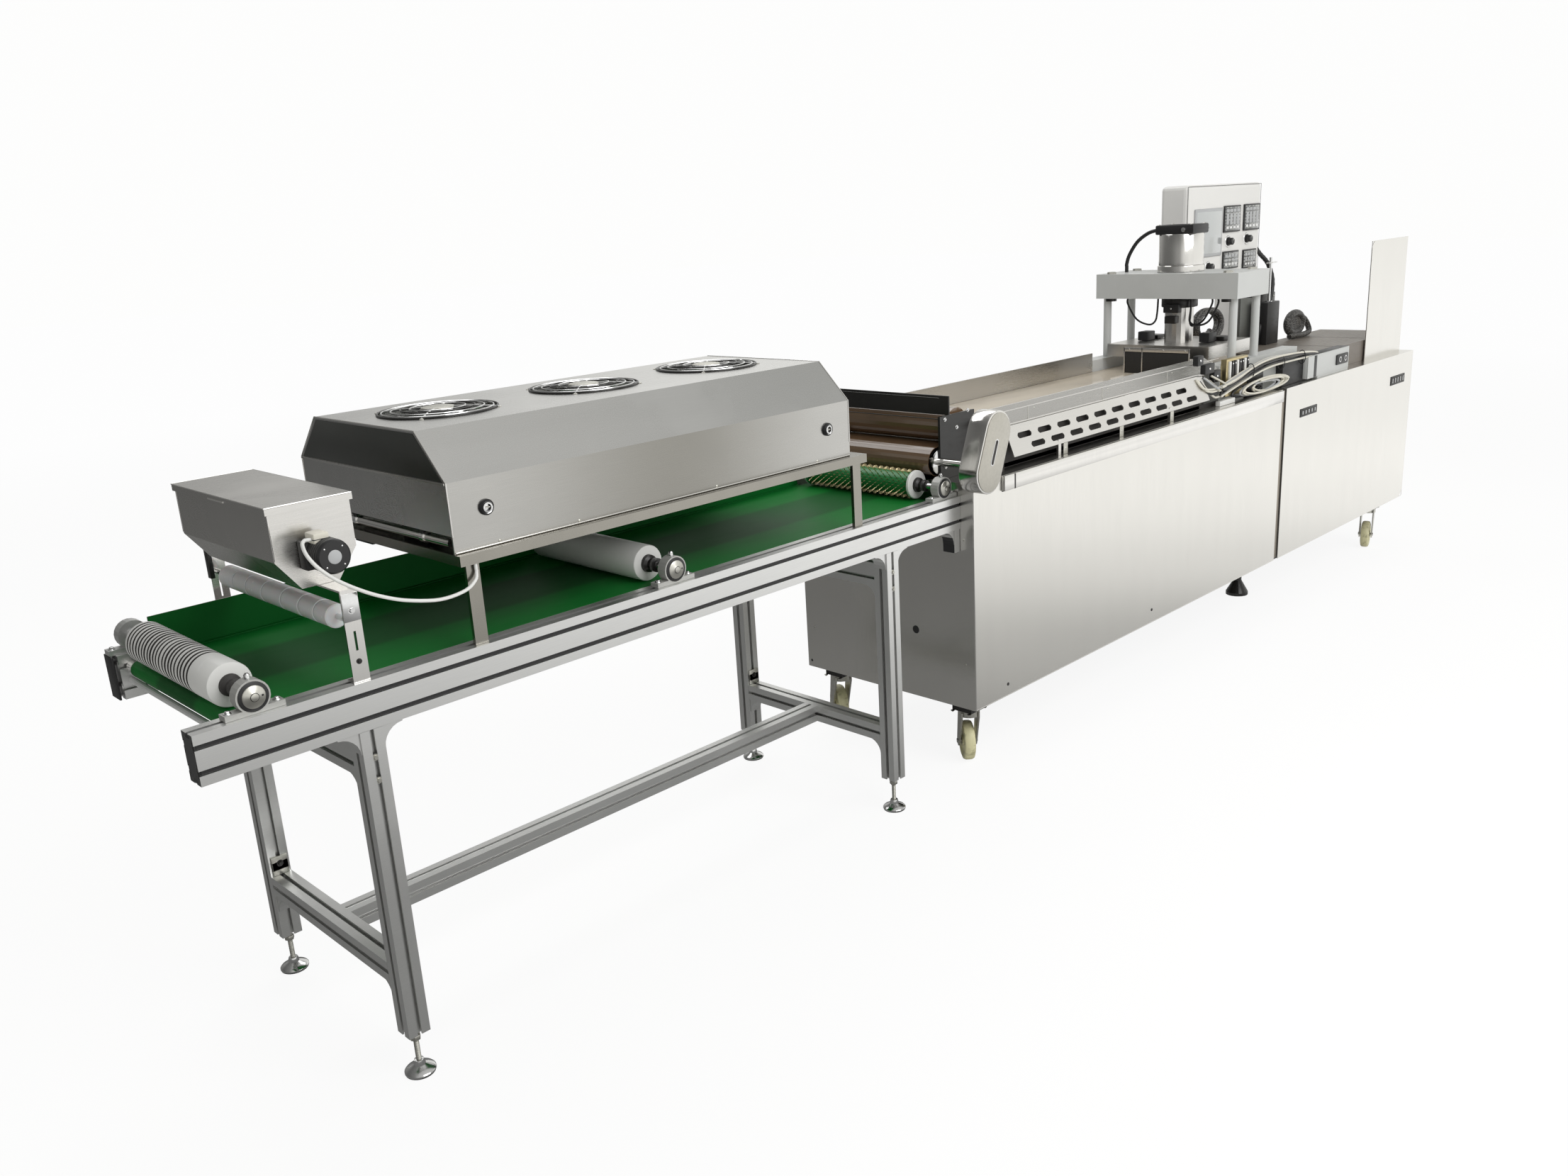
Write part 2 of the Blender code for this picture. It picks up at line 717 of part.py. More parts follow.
def make_belt_bed(steel):
    """A sheet between the rails that carries the upper run, with a rounded nose bar."""
    nose = BELT_NOSE_RADIUS - GAP
    nose_z = BED_TOP - nose
    right = DRIVE_ROLLER_X - DRIVE_ROLLER_RADIUS - 0.012
    outline = (
        [(right, BED_TOP - BED_THICK), (right, BED_TOP)]
        + arc((BELT_NOSE_X, nose_z), nose, 90, 270, 10)
        + [(BELT_NOSE_X + 0.020, nose_z - nose), (BELT_NOSE_X + 0.035, BED_TOP - BED_THICK)]
    )
    width = 2 * (RAIL_INSIDE - GAP)
    bed = plate("belt_bed", [outline], "y", (0, 0, 0), width)
    fuse(bed, [side_guard()])
    finish(bed, steel)


def side_guard():
    """The upright strip behind the belt, with a notch for the hold-down roller's shaft."""
    low = BED_TOP - WELD
    top = SIDE_GUARD_TOP
    left, right = SIDE_GUARD_LEFT, SIDE_GUARD_RIGHT
    notch_left, notch_right = HOLD_DOWN_ROLLER_X - SHAFT_NOTCH, HOLD_DOWN_ROLLER_X + SHAFT_NOTCH
    notch_low = ROLLER_Z - SHAFT_NOTCH
    outline = [
        (left, low),
        (right, low),
        (right, top),
        (notch_right, top),
        (notch_right, notch_low),
        (notch_left, notch_low),
        (notch_left, top),
        (left, top),
    ]
    middle = (0, SIDE_GUARD_Y + SIDE_GUARD_THICK / 2, 0)
    return plate("side_guard", [outline], "y", middle, SIDE_GUARD_THICK)


def make_green_belt(rubber):
    inner_top = BELT_TOP - BELT_THICK
    left = (BELT_NOSE_X, inner_top - BELT_NOSE_RADIUS)
    right = (DRIVE_ROLLER_X, inner_top - DRIVE_ROLLER_RADIUS)
    inner = belt_outline(left, BELT_NOSE_RADIUS, right, DRIVE_ROLLER_RADIUS)
    outer = belt_outline(
        left, BELT_NOSE_RADIUS + BELT_THICK, right, DRIVE_ROLLER_RADIUS + BELT_THICK
    )
    smooth(finish(plate("green_belt", [outer, inner], "y", (0, 0, 0), BELT_WIDTH), rubber))


def make_drive_roller(steel):
    """The smooth roller inside the belt's inner end."""
    end = RAIL_INSIDE - GAP
    face = BELT_WIDTH / 2
    radius = DRIVE_ROLLER_RADIUS - GAP
    profile = [
        (SHAFT_RADIUS, end),
        (SHAFT_RADIUS, face),
        (radius, face),
        (radius, -face),
        (SHAFT_RADIUS, -face),
        (SHAFT_RADIUS, -end),
    ]
    place = (DRIVE_ROLLER_X, 0, BELT_TOP - BELT_THICK - DRIVE_ROLLER_RADIUS)
    smooth(finish(turned("drive_roller", profile, place, "y"), steel))


def roller_profile(radius):
    face = ROLLER_FACE / 2
    hub = ROLLER_HUB_END
    end = RAIL_Y + BEARING_THICK / 2 + SHAFT_OVERHANG
    half = [
        (SHAFT_RADIUS, end),
        (SHAFT_RADIUS, hub),
        (ROLLER_HUB_RADIUS, hub),
        (ROLLER_HUB_RADIUS, face),
        (radius - 0.006, face),
        (radius, face - 0.006),
    ]
    return half + [(r, -h) for r, h in reversed(half)]


def make_rollers(plastic):
    for name, x in (
        ("grooved_roller", GROOVED_ROLLER_X),
        ("hold_down_roller", HOLD_DOWN_ROLLER_X),
        ("spiked_roller", SPIKED_ROLLER_X),
    ):
        roller = turned(name, roller_profile(ROLLER_RADIUS), (x, 0, ROLLER_Z), "y")
        smooth(finish(roller, plastic))


# ---------------------------------------------------------------- hood and fans


def hood_section(inset, bottom):
    """Half width and heights of the hood's section, moved in by a wall."""
    half = HOOD_WIDTH / 2 - inset
    shoulder = HOOD_SHOULDER - inset * math.tan(math.radians(22.5))
    ridge = half - (HOOD_TOP - inset - shoulder)
    top = HOOD_TOP - inset
    mid = HOOD_MID_Y
    return [
        (mid - half, bottom),
        (mid + half, bottom),
        (mid + half, shoulder),
        (mid + ridge, top),
        (mid - ridge, top),
        (mid - half, shoulder),
    ]


def fan_places():
    return [HOOD_MID_X + FAN_PITCH * step for step in (-1, 0, 1)]


def fan_window(name, x):
    """The open sectors of a fan's opening, between the spokes that hold its motor."""
    loops = []
    for number in range(FAN_SPOKES):
        turn = 45 + 360 / FAN_SPOKES * number
        outer_trim = math.degrees(math.asin(FAN_SPOKE / 2 / FAN_RADIUS))
        inner_trim = math.degrees(math.asin(FAN_SPOKE / 2 / FAN_HUB_RADIUS))
        half = 180 / FAN_SPOKES
        loops.append(
            arc((0, 0), FAN_RADIUS, turn - half + outer_trim, turn + half - outer_trim, 8)
            + arc((0, 0), FAN_HUB_RADIUS, turn + half - inner_trim, turn - half + inner_trim, 4)
        )
    return plate(name, loops, "z", (x, FAN_MID_Y, HOOD_TOP), 4 * HOOD_WALL)


def make_hood(steel, black):
    hood = plate(
        "hood_shell",
        [hood_section(0, HOOD_BOTTOM)],
        "x",
        (HOOD_MID_X, 0, 0),
        HOOD_LENGTH,
    )
    hollow = plate(
        "hood_hollow",
        [hood_section(HOOD_WALL, HOOD_BOTTOM - 0.02)],
        "x",
        (HOOD_MID_X, 0, 0),
        HOOD_LENGTH - 2 * HOOD_WALL,
    )
    end_slot = box(
        "hood_end_slot",
        (HOOD_LEFT - 0.01, HOOD_NEAR + HOOD_WALL, HOOD_BOTTOM - 0.01),
        (HOOD_LEFT + 0.01, HOOD_FAR - HOOD_WALL, HOOD_BOTTOM + HOOD_END_OPEN),
    )
    windows = [fan_window(f"fan_window_{i}", x) for i, x in enumerate(fan_places(), 1)]
    cut(hood, [hollow, end_slot] + windows)
    finish(hood, steel)
    for number, x in enumerate(fan_places(), 1):
        make_rotor(f"fan_rotor_{number}", x, black)


def make_rotor(name, x, black):
    """A hub under the spokes with flat petals round it."""
    top = HOOD_TOP - HOOD_WALL - GAP
    tip, root = FAN_RADIUS - ROTOR_CLEARANCE, FAN_HUB_RADIUS - 0.006
    pitch = 360 / ROTOR_BLADES
    outline = []
    for number in range(ROTOR_BLADES):
        turn = pitch * number
        outline += arc((0, 0), root, turn, turn + pitch * 0.30, 3)
        outline += arc((0, 0), tip, turn + pitch * 0.40, turn + pitch * 0.95, 5)
    blades = plate(
        name, [outline], "z", (x, FAN_MID_Y, top - ROTOR_HUB_HEIGHT / 2), ROTOR_BLADE_THICK
    )
    hub = turned(
        f"{name}_hub",
        [
            (FAN_HUB_RADIUS - 0.004, ROTOR_HUB_HEIGHT / 2),
            (FAN_HUB_RADIUS - 0.004, -ROTOR_HUB_HEIGHT / 2),
        ],
        (x, FAN_MID_Y, top - ROTOR_HUB_HEIGHT / 2),
    )
    fuse(blades, [hub])
    finish(blades, black)


def make_hood_frame(steel):
    top = HOOD_BOTTOM - GAP
    low = top - FRAME_DEPTH
    left, right = HOOD_LEFT - 0.002, HOOD_RIGHT + FRAME_RIGHT_REACH
    near, far = HOOD_NEAR - FRAME_OVERLAP, HOOD_FAR + FRAME_OVERLAP
    ring = plate(
        "hood_frame",
        [
            rectangle((left, near), (right, far)),
            rectangle((left + FRAME_BAR, near + FRAME_BAR), (right - FRAME_BAR, far - FRAME_BAR)),
        ],
        "z",
        (0, 0, (top + low) / 2),
        FRAME_DEPTH,
    )
    legs = []
    for x in (left + FRAME_LEG_SETBACK, right - FRAME_LEG_WIDTH - FRAME_RIGHT_LEG_SETBACK):
        for side in (-1, 1):
            spot = side * (RAIL_Y + FRAME_LEG_THICK)
            legs.append(
                box(
                    f"hood_leg_{side}_{x}",
                    (x, spot - FRAME_LEG_THICK / 2, RAIL_TOP + GAP),
                    (x + FRAME_LEG_WIDTH, spot + FRAME_LEG_THICK / 2, low + WELD),
                )
            )
    fuse(ring, legs)
    finish(ring, steel)


# ---------------------------------------------------------------- dusting hopper


def hopper_section(inset):
    """The hopper's section, from its bottom round to its top."""
    top, low = HOPPER_TOP_WIDTH / 2 - inset, HOPPER_BOTTOM_WIDTH / 2 - inset
    return [
        (-low, HOPPER_BOTTOM + inset),
        (low, HOPPER_BOTTOM + inset),
        (top, HOPPER_TAPER_TOP),
        (top, HOPPER_TOP + 2 * inset),
        (-top, HOPPER_TOP + 2 * inset),
        (-top, HOPPER_TAPER_TOP),
    ]


def make_hopper(steel, black, plastic):
    middle = (HOPPER_X, HOPPER_MID_Y, 0)
    body = plate("hopper_body", [hopper_section(0)], "y", middle, HOPPER_LENGTH)
    hollow = plate(
        "hopper_hollow",
        [hopper_section(HOPPER_WALL)],
        "y",
        middle,
        HOPPER_LENGTH - 2 * HOPPER_WALL,
    )
    slot = box(
        "hopper_slot",
        (HOPPER_X - HOPPER_SLOT / 2, HOPPER_NEAR + HOPPER_END_MARGIN, HOPPER_BOTTOM - 0.01),
        (HOPPER_X + HOPPER_SLOT / 2, HOPPER_FAR - HOPPER_END_MARGIN, HOPPER_BOTTOM + 0.01),
    )
    shaft_hole = turned(
        "hopper_shaft_hole",
        [(FEED_SHAFT_RADIUS + GAP, 0.01), (FEED_SHAFT_RADIUS + GAP, -0.01)],
        (HOPPER_X, HOPPER_NEAR, FEED_Z),
        "y",
    )
    cut(body, [hollow, slot, shaft_hole])
    finish(body, steel)
    make_lid(steel)
    make_feed_shaft(steel)
    make_bridge(steel)
    make_dusting_roller(plastic)
    make_dosing_motor(black)


def make_lid(steel):
    """A folded lid, hinged along the lower edge of its +X skirt."""
    half_x = HOPPER_TOP_WIDTH / 2 + LID_OVERHANG
    near, far = HOPPER_NEAR - LID_OVERHANG, HOPPER_FAR + LID_OVERHANG
    top = HOPPER_TOP + GAP + LID_WALL
    lid = box(
        "hopper_lid",
        (HOPPER_X - half_x, near, top - LID_SKIRT),
        (HOPPER_X + half_x, far, top),
        (HOPPER_X + half_x, HOPPER_MID_Y, top - LID_SKIRT),
    )
    inside = box(
        "hopper_lid_inside",
        (HOPPER_X - half_x + LID_WALL, near + LID_WALL, top - LID_SKIRT - 0.01),
        (HOPPER_X + half_x - LID_WALL, far - LID_WALL, top - LID_WALL),
    )
    cut(lid, [inside])
    finish(lid, steel)


def make_feed_shaft(steel):
    """The paddle shaft that moves flour to the slot; the motor turns it."""
    near = HOPPER_NEAR
    far = HOPPER_FAR - HOPPER_WALL - GAP
    shaft = turned(
        "feed_shaft",
        [(FEED_SHAFT_RADIUS, far), (FEED_SHAFT_RADIUS, near)],
        (HOPPER_X, 0, FEED_Z),
        "y",
        16,
    )
    paddle = box(
        "feed_paddle",
        (HOPPER_X - FEED_PADDLE, near + HOPPER_END_MARGIN, FEED_Z - 0.002),
        (HOPPER_X + FEED_PADDLE, far - HOPPER_END_MARGIN, FEED_Z + 0.002),
    )
    fuse(shaft, [paddle])
    finish(shaft, steel)


def make_bridge(steel):
    """A folded strip over the belt that carries the hopper and the dusting roller."""
    top = HOPPER_BOTTOM - GAP
    out = RAIL_Y + BRIDGE_STRIP / 2
    inside = out - BRIDGE_THICK
    low = RAIL_TOP + GAP
    under = top - BRIDGE_THICK
    foot = low + BRIDGE_THICK
    outline = [
        (-out, low),
        (-inside + BRIDGE_FOOT, low),
        (-inside + BRIDGE_FOOT, foot),
        (-inside, foot),
        (-inside, under),
        (inside, under),
        (inside, foot),
        (inside - BRIDGE_FOOT, foot),
        (inside - BRIDGE_FOOT, low),
        (out, low),
        (out, top),
        (-out, top),
    ]
    bridge = plate("hopper_bridge", [outline], "x", (DUST_ROLLER_X, 0, 0), BRIDGE_STRIP)
    near, far = HOPPER_NEAR + HOPPER_END_MARGIN, HOPPER_FAR - HOPPER_END_MARGIN
    window = box(
        "bridge_window",
        (HOPPER_X - HOPPER_SLOT / 2 + BRIDGE_WINDOW_SHIFT, near, under - 0.01),
        (HOPPER_X + HOPPER_SLOT / 2 + BRIDGE_WINDOW_SHIFT, far, top + 0.01),
    )
    slots = [
        box(
            f"bridge_slot_{side}",
            (DUST_ROLLER_X - BRIDGE_SLOT_WIDTH / 2, side * out - 0.01, BRIDGE_SLOT_LOW),
            (DUST_ROLLER_X + BRIDGE_SLOT_WIDTH / 2, side * out + 0.01, BRIDGE_SLOT_HIGH),
        )
        for side in (-1, 1)
    ]
    cut(bridge, [window] + slots)
    finish(bridge, steel)


def make_dusting_roller(plastic):
    face = DUST_ROLLER_FACE / 2
    end = RAIL_Y + BRIDGE_STRIP / 2 - BRIDGE_THICK - GAP
    half = [
        (DUST_SHAFT_RADIUS, end),
        (DUST_SHAFT_RADIUS, face),
        (DUST_ROLLER_RADIUS, face),
    ]
    profile = half + [(r, -h) for r, h in reversed(half)]
    roller = turned("dusting_roller", profile, (DUST_ROLLER_X, 0, DUST_ROLLER_Z), "y")
    smooth(finish(roller, plastic))


def make_dosing_motor(black):
    """A square gearbox with the round motor in front of it and a cable gland on top."""
    back = HOPPER_NEAR - GAP
    front = back - MOTOR_DEPTH
    half = MOTOR_BOX / 2
    gearbox = box(
        "dosing_motor",
        (HOPPER_X - half - MOTOR_BOX_SHIFT, back - MOTOR_BOX_DEPTH, FEED_Z - half),
        (HOPPER_X + half - MOTOR_BOX_SHIFT, back, FEED_Z + half),
    )
    disc = turned(
        "motor_disc",
        [
            (MOTOR_DISC_RADIUS - 0.003, MOTOR_DEPTH / 2),
            (MOTOR_DISC_RADIUS, MOTOR_DEPTH / 2 - 0.003),
            (MOTOR_DISC_RADIUS, -MOTOR_DEPTH / 2 + 0.003),
            (MOTOR_DISC_RADIUS - 0.003, -MOTOR_DEPTH / 2),
        ],
        (HOPPER_X, (back + front) / 2 - 0.002, FEED_Z),
        "y",
    )
    cap = box(
        "motor_cap",
        (HOPPER_X - MOTOR_CAP_LEFT, back - MOTOR_CAP_FRONT, FEED_Z + half - 0.004),
        (HOPPER_X + MOTOR_CAP_RIGHT, back - MOTOR_CAP_BACK, FEED_Z + half + MOTOR_CAP_RISE),
    )
    fuse(gearbox, [disc, cap])
    finish(gearbox, black)


def make_motor_cable(white):
    """From the motor's cap, hanging in front of the hood's leg, up into its frame."""
    route = [
        (0.2367, -0.230, 0.962),
        (0.2320, -0.230, 0.962),
        (0.2260, -0.230, 0.962),
        (0.2190, -0.238, 0.957),
        (0.2170, -0.254, 0.943),
        (0.2270, -0.266, 0.923),
        (0.2510, -0.271, 0.899),
        (0.2840, -0.275, 0.876),
        (0.3170, -0.277, 0.858),
        (0.3570, -0.277, 0.842),
        (0.4130, -0.276, 0.829),
        (0.4620, -0.272, 0.831),
        (0.4860, -0.268, 0.843),
        (0.4920, -0.264, 0.855),
        (0.4920, -0.264, 0.860),
        (0.4920, -0.264, 0.865),
        (0.4920, -0.264, 0.8694),
    ]
    finish(tube("motor_cable", smooth_route(route, 2), CABLE_RADIUS), white)


# ---------------------------------------------------------------- casings and casters


def make_casings(steel):
    """Two sheet casings, open below, that hang over the chassis."""
    casings = (
        ("main_cabinet", MACHINE_LEFT, CASING_SPLIT, 0),
        ("infeed_cabinet", CASING_SPLIT + SPLIT_WIDTH, MACHINE_RIGHT, CASING_CORNER),
    )
    for name, left, right, corner in casings:
        outline = [(left, SKIRT), (left, DECK), (right, DECK)]
        outline += (
            arc((right - corner, SKIRT + corner), corner, 0, -90, 6)
            if corner
            else [(right, SKIRT)]
        )
        width = MACHINE_FAR - MACHINE_NEAR
        casing = plate(name, [outline], "y", (0, (MACHINE_NEAR + MACHINE_FAR) / 2, 0), width)
        hollow = box(
            f"{name}_hollow",
            (left + CASING_WALL, MACHINE_NEAR + CASING_WALL, SKIRT - 0.01),
            (right - max(CASING_WALL, corner), MACHINE_FAR - CASING_WALL, DECK - CASING_WALL),
        )
        cut(casing, [hollow])
        finish(casing, steel)
    guard_outline = (
        [(GUARD_LEFT, DECK - WELD), (GUARD_RIGHT, DECK - WELD), (GUARD_RIGHT, GUARD_TOP)]
        + arc((GUARD_LEFT + GUARD_CORNER, GUARD_TOP - GUARD_CORNER), GUARD_CORNER, 90, 180, 6)
    )
    guard = plate("end_guard", [guard_outline], "y", (0, GUARD_Y, 0), GUARD_THICK)
    fuse(bpy.data.objects["infeed_cabinet"], [guard])


def caster_places():
    """Name, X, Y and turn in degrees of each caster's swivel."""
    left = MACHINE_LEFT + CASTER_INSET_LEFT
    near, far = MACHINE_NEAR + CASTER_INSET_NEAR, MACHINE_FAR - CASTER_INSET_FAR
    return (
        ("near_left", left, near, 48),
        ("far_left", left, far, 60),
        ("near_right", CASTER_RIGHT_X, near, -165),
        ("far_right", CASTER_RIGHT_X, far, 10),
    )


def make_base_frame(painted):
    """The chassis in two rings, joined through the post between the casings."""
    near, far = MACHINE_NEAR + CASING_WALL + GAP, MACHINE_FAR - CASING_WALL - GAP
    bar = CHASSIS_BAR
    rings = []
    for name, left, right in (
        ("ring_main", MACHINE_LEFT + CASING_WALL + GAP, CASING_SPLIT - CASING_WALL - GAP),
        (
            "ring_infeed",
            CASING_SPLIT + SPLIT_WIDTH + CASING_WALL + GAP,
            MACHINE_RIGHT - CASING_CORNER - GAP,
        ),
    ):
        outline = rectangle((left, near), (right, far))
        window = rectangle((left + bar, near + bar), (right - bar, far - bar))
        rings.append(
            plate(
                name, [outline, window], "z", (0, 0, SKIRT + CHASSIS_HEIGHT / 2), CHASSIS_HEIGHT
            )
        )
    post = box(
        "base_frame",
        (CASING_SPLIT + GAP, MACHINE_NEAR + 0.005, SKIRT),
        (CASING_SPLIT + SPLIT_WIDTH - GAP, MACHINE_FAR - 0.005, DECK - 0.003),
    )
    # Two skids under the casings' end walls tie the rings to the post.
    ties = [
        box(
            f"tie_{side}",
            (CASING_SPLIT - bar, y - bar / 2, SKIRT - 0.012),
            (CASING_SPLIT + SPLIT_WIDTH + bar, y + bar / 2, SKIRT - GAP),
        )
        for side, y in (("near", near + bar), ("far", far - bar))
    ]
    risers = [
        box(
            f"riser_{side}_{end}",
            (x - bar / 4, y - bar / 4, SKIRT - WELD - GAP),
            (x + bar / 4, y + bar / 4, SKIRT + WELD),
        )
        for side, y in (("near", near + bar), ("far", far - bar))
        for end, x in (
            ("left", CASING_SPLIT - bar / 2 - CASING_WALL),
            ("middle", CASING_SPLIT + SPLIT_WIDTH / 2),
            ("right", CASING_SPLIT + SPLIT_WIDTH + bar / 2 + CASING_WALL),
        )
    ]
    pads = [
        box(
            f"caster_pad_{name}",
            (x - CASTER_PAD, y - CASTER_PAD, SKIRT - CASTER_PAD_HEIGHT),
            (x + CASTER_PAD, y + CASTER_PAD, SKIRT + WELD),
        )
        for name, x, y, _ in caster_places()
    ]
    prop = turned(
        "prop_foot",
        [(0.014, SKIRT), (0.014, 0.052), (PROP_RADIUS, 0.010), (PROP_RADIUS, 0)],
        (PROP_X, PROP_Y, 0),
        steps=20,
    )
    prop_bar = box(
        "prop_bar",
        (PROP_X - bar / 2, near + WELD, SKIRT - WELD),
        (PROP_X + bar / 2, far - WELD, SKIRT + CHASSIS_HEIGHT - WELD),
    )
    fuse(post, risers + ties + rings + pads + [prop_bar, prop])
    finish(post, painted)


def swivelled(made, x, y, turn):
    """Turns a shape built round the origin and sets it on its caster's place."""
    spin = Matrix.Rotation(math.radians(turn), 4, "Z")
    made.matrix_local = Matrix.Translation((x, y, 0)) @ spin @ made.matrix_local
    return made


def make_casters(zinc, cream):
    for name, x, y, turn in caster_places():
        head, others = caster_fork(f"caster_fork_{name}")
        wheel, bore = caster_wheel(f"caster_wheel_{name}")
        for made in [head, wheel, bore] + others:
            swivelled(made, x, y, turn)
        fuse(head, others)
        smooth(finish(head, zinc))
        cut(wheel, [bore])
        smooth(finish(wheel, cream))


def caster_fork(name):
    """The turntable, two cheeks and the axle, with the swivel on the origin's axis."""
    top = SKIRT - CASTER_PAD_HEIGHT - GAP
    gap = WHEEL_WIDTH / 2 + FORK_CLEARANCE
    radius = CASTER_PAD - 0.002
    low = top - FORK_HEAD_HEIGHT
    head = turned(name, [(radius, top), (radius, low)], (0, 0, 0))
    outline = [(0.024, top - 0.004), (-0.022, top - 0.004), (-0.022, low)]
    outline += arc((CASTER_TRAIL, WHEEL_RADIUS), 0.014, 200, 360, 6)
    cheeks = [
        plate(
            f"{name}_cheek_{side}",
            [outline],
            "y",
            (0, side * (gap + FORK_SHEET / 2), 0),
            FORK_SHEET,
        )
        for side in (-1, 1)
    ]
    reach = gap + FORK_SHEET + 0.003
    profile = [(AXLE_RADIUS, reach), (AXLE_RADIUS, -reach)]
    axle = turned(f"{name}_axle", profile, (CASTER_TRAIL, 0, WHEEL_RADIUS), "y", 12)
    return head, cheeks + [axle]


def caster_wheel(name):
    half = WHEEL_WIDTH / 2
    place = (CASTER_TRAIL, 0, WHEEL_RADIUS)
    tread = [
        (WHEEL_RADIUS - 0.008, half),
        (WHEEL_RADIUS - 0.002, half - 0.005),
        (WHEEL_RADIUS, 0),
        (WHEEL_RADIUS - 0.002, -half + 0.005),
        (WHEEL_RADIUS - 0.008, -half),
    ]
    hole = [(AXLE_RADIUS + GAP, half + 0.01), (AXLE_RADIUS + GAP, -half - 0.01)]
    return turned(name, tread, place, "y"), turned(f"{name}_bore", hole, place, "y", 12)


# ---------------------------------------------------------------- baking belt and outlet


def drum_profile(radius, near_end, far_end, sprocket):
    face = BAKE_BELT_WIDTH / 2
    profile = [
        (DRUM_SHAFT_RADIUS, far_end),
        (DRUM_SHAFT_RADIUS, face),
        (radius, face),
        (radius, -face),
        (DRUM_SHAFT_RADIUS, -face),
    ]
    if sprocket:
        inner, outer = near_end + SPROCKET_WIDTH + 0.006, near_end + 0.006
        profile += [
            (DRUM_SHAFT_RADIUS, inner),
            (SPROCKET_RADIUS, inner),
            (SPROCKET_RADIUS, outer),
            (DRUM_SHAFT_RADIUS, outer),
        ]
    return profile + [(DRUM_SHAFT_RADIUS, near_end)]


def make_baking_belt(ptfe, steel):
    seat = SIDE_PLATE_INSIDE - GAP
    drive_end = DRIVE_COVER_BACK - DRIVE_COVER_DEPTH + DRIVE_COVER_WALL + 0.004 - BAKE_MID_Y
    beam_seat = BAKE_BELT_WIDTH / 2 + BEAM_GAP + 0.004 - GAP
    for name, x, z, radius, near_end, far_end, sprocket in (
        ("head_drum", HEAD_DRUM_X, DRUM_Z, DRUM_RADIUS - GAP, drive_end, seat, True),
        ("upper_drum", UPPER_DRUM_X, UPPER_DRUM_Z, UPPER_DRUM_RADIUS, -seat, seat, False),
        ("tail_drum", TAIL_DRUM_X, DRUM_Z, DRUM_RADIUS - GAP, -beam_seat, beam_seat, False),
    ):
        profile = drum_profile(radius, near_end, far_end, sprocket)
        drum = turned(name, profile, (x, BAKE_MID_Y, z), "y", 28)
        smooth(finish(drum, ptfe if name == "upper_drum" else steel))
    left, right = (HEAD_DRUM_X, DRUM_Z), (TAIL_DRUM_X, DRUM_Z)
    inner_radius = DRUM_RADIUS + GAP
    inner = belt_outline(left, inner_radius, right, inner_radius)
    outer_radius = inner_radius + BAKE_BELT_THICK - GAP
    outer = belt_outline(left, outer_radius, right, outer_radius)
    belt = plate("baking_belt", [outer, inner], "y", (0, BAKE_MID_Y, 0), BAKE_BELT_WIDTH)
    smooth(finish(belt, ptfe))


def make_outlet_frame(black):
    """Two black side plates that carry the drums, and the guard strip between their tops."""
    low = DECK + GAP
    plates = []
    for side in (-1, 1):
        inside = BAKE_MID_Y + side * SIDE_PLATE_INSIDE
        outside = inside + side * SIDE_PLATE_THICK
        plates.append(
            box(
                f"side_plate_{side}",
                (SIDE_PLATE_LEFT, min(inside, outside), low),
                (SIDE_PLATE_RIGHT, max(inside, outside), SIDE_PLATE_TOP),
            )
        )
    reach = SIDE_PLATE_INSIDE + SIDE_PLATE_THICK
    guard = box(
        "outlet_frame",
        (OUTLET_GUARD_X, BAKE_MID_Y - reach, SIDE_PLATE_TOP - WELD),
        (OUTLET_GUARD_X + OUTLET_GUARD_THICK, BAKE_MID_Y + reach, OUTLET_GUARD_TOP),
    )
    shaft_hole = turned(
        "head_shaft_hole",
        [(DRUM_SHAFT_RADIUS + GAP, 0.02), (DRUM_SHAFT_RADIUS + GAP, -0.02)],
        (HEAD_DRUM_X, BAKE_MID_Y - SIDE_PLATE_INSIDE, DRUM_Z),
        "y",
    )
    fuse(guard, plates)
    cut(guard, [shaft_hole])
    finish(guard, black)


def make_trough(steel):
    """An H section: the bed inside the belt, a wall on each side, and a sloped near flank."""
    half = BAKE_BELT_WIDTH / 2 + BEAM_GAP
    wall = TROUGH_WALL
    bed_top = BAKE_BELT_TOP - BAKE_BELT_THICK - GAP
    bed_low = bed_top - BED_PLATE_THICK
    low = DECK + GAP
    slope_out = -half - wall - TROUGH_SLOPE_REACH
    slope_low = TROUGH_TOP - TROUGH_SLOPE_DROP
    outline = [
        (half + wall, low),
        (half + wall, TROUGH_TOP),
        (half, TROUGH_TOP),
        (half, bed_top),
        (-half, bed_top),
        (-half, TROUGH_TOP),
        (-half - wall, TROUGH_TOP),
        (slope_out, slope_low),
        (slope_out, slope_low - 0.006),
        (-half - wall, TROUGH_TOP - 0.005),
        (-half - wall, low),
        (-half, low),
        (-half, bed_low),
        (half, bed_low),
        (half, low),
    ]
    middle = (TROUGH_LEFT + TROUGH_RIGHT) / 2
    finish(
        plate(
            "oven_trough", [outline], "x", (middle, BAKE_MID_Y, 0), TROUGH_RIGHT - TROUGH_LEFT
        ),
        steel,
    )


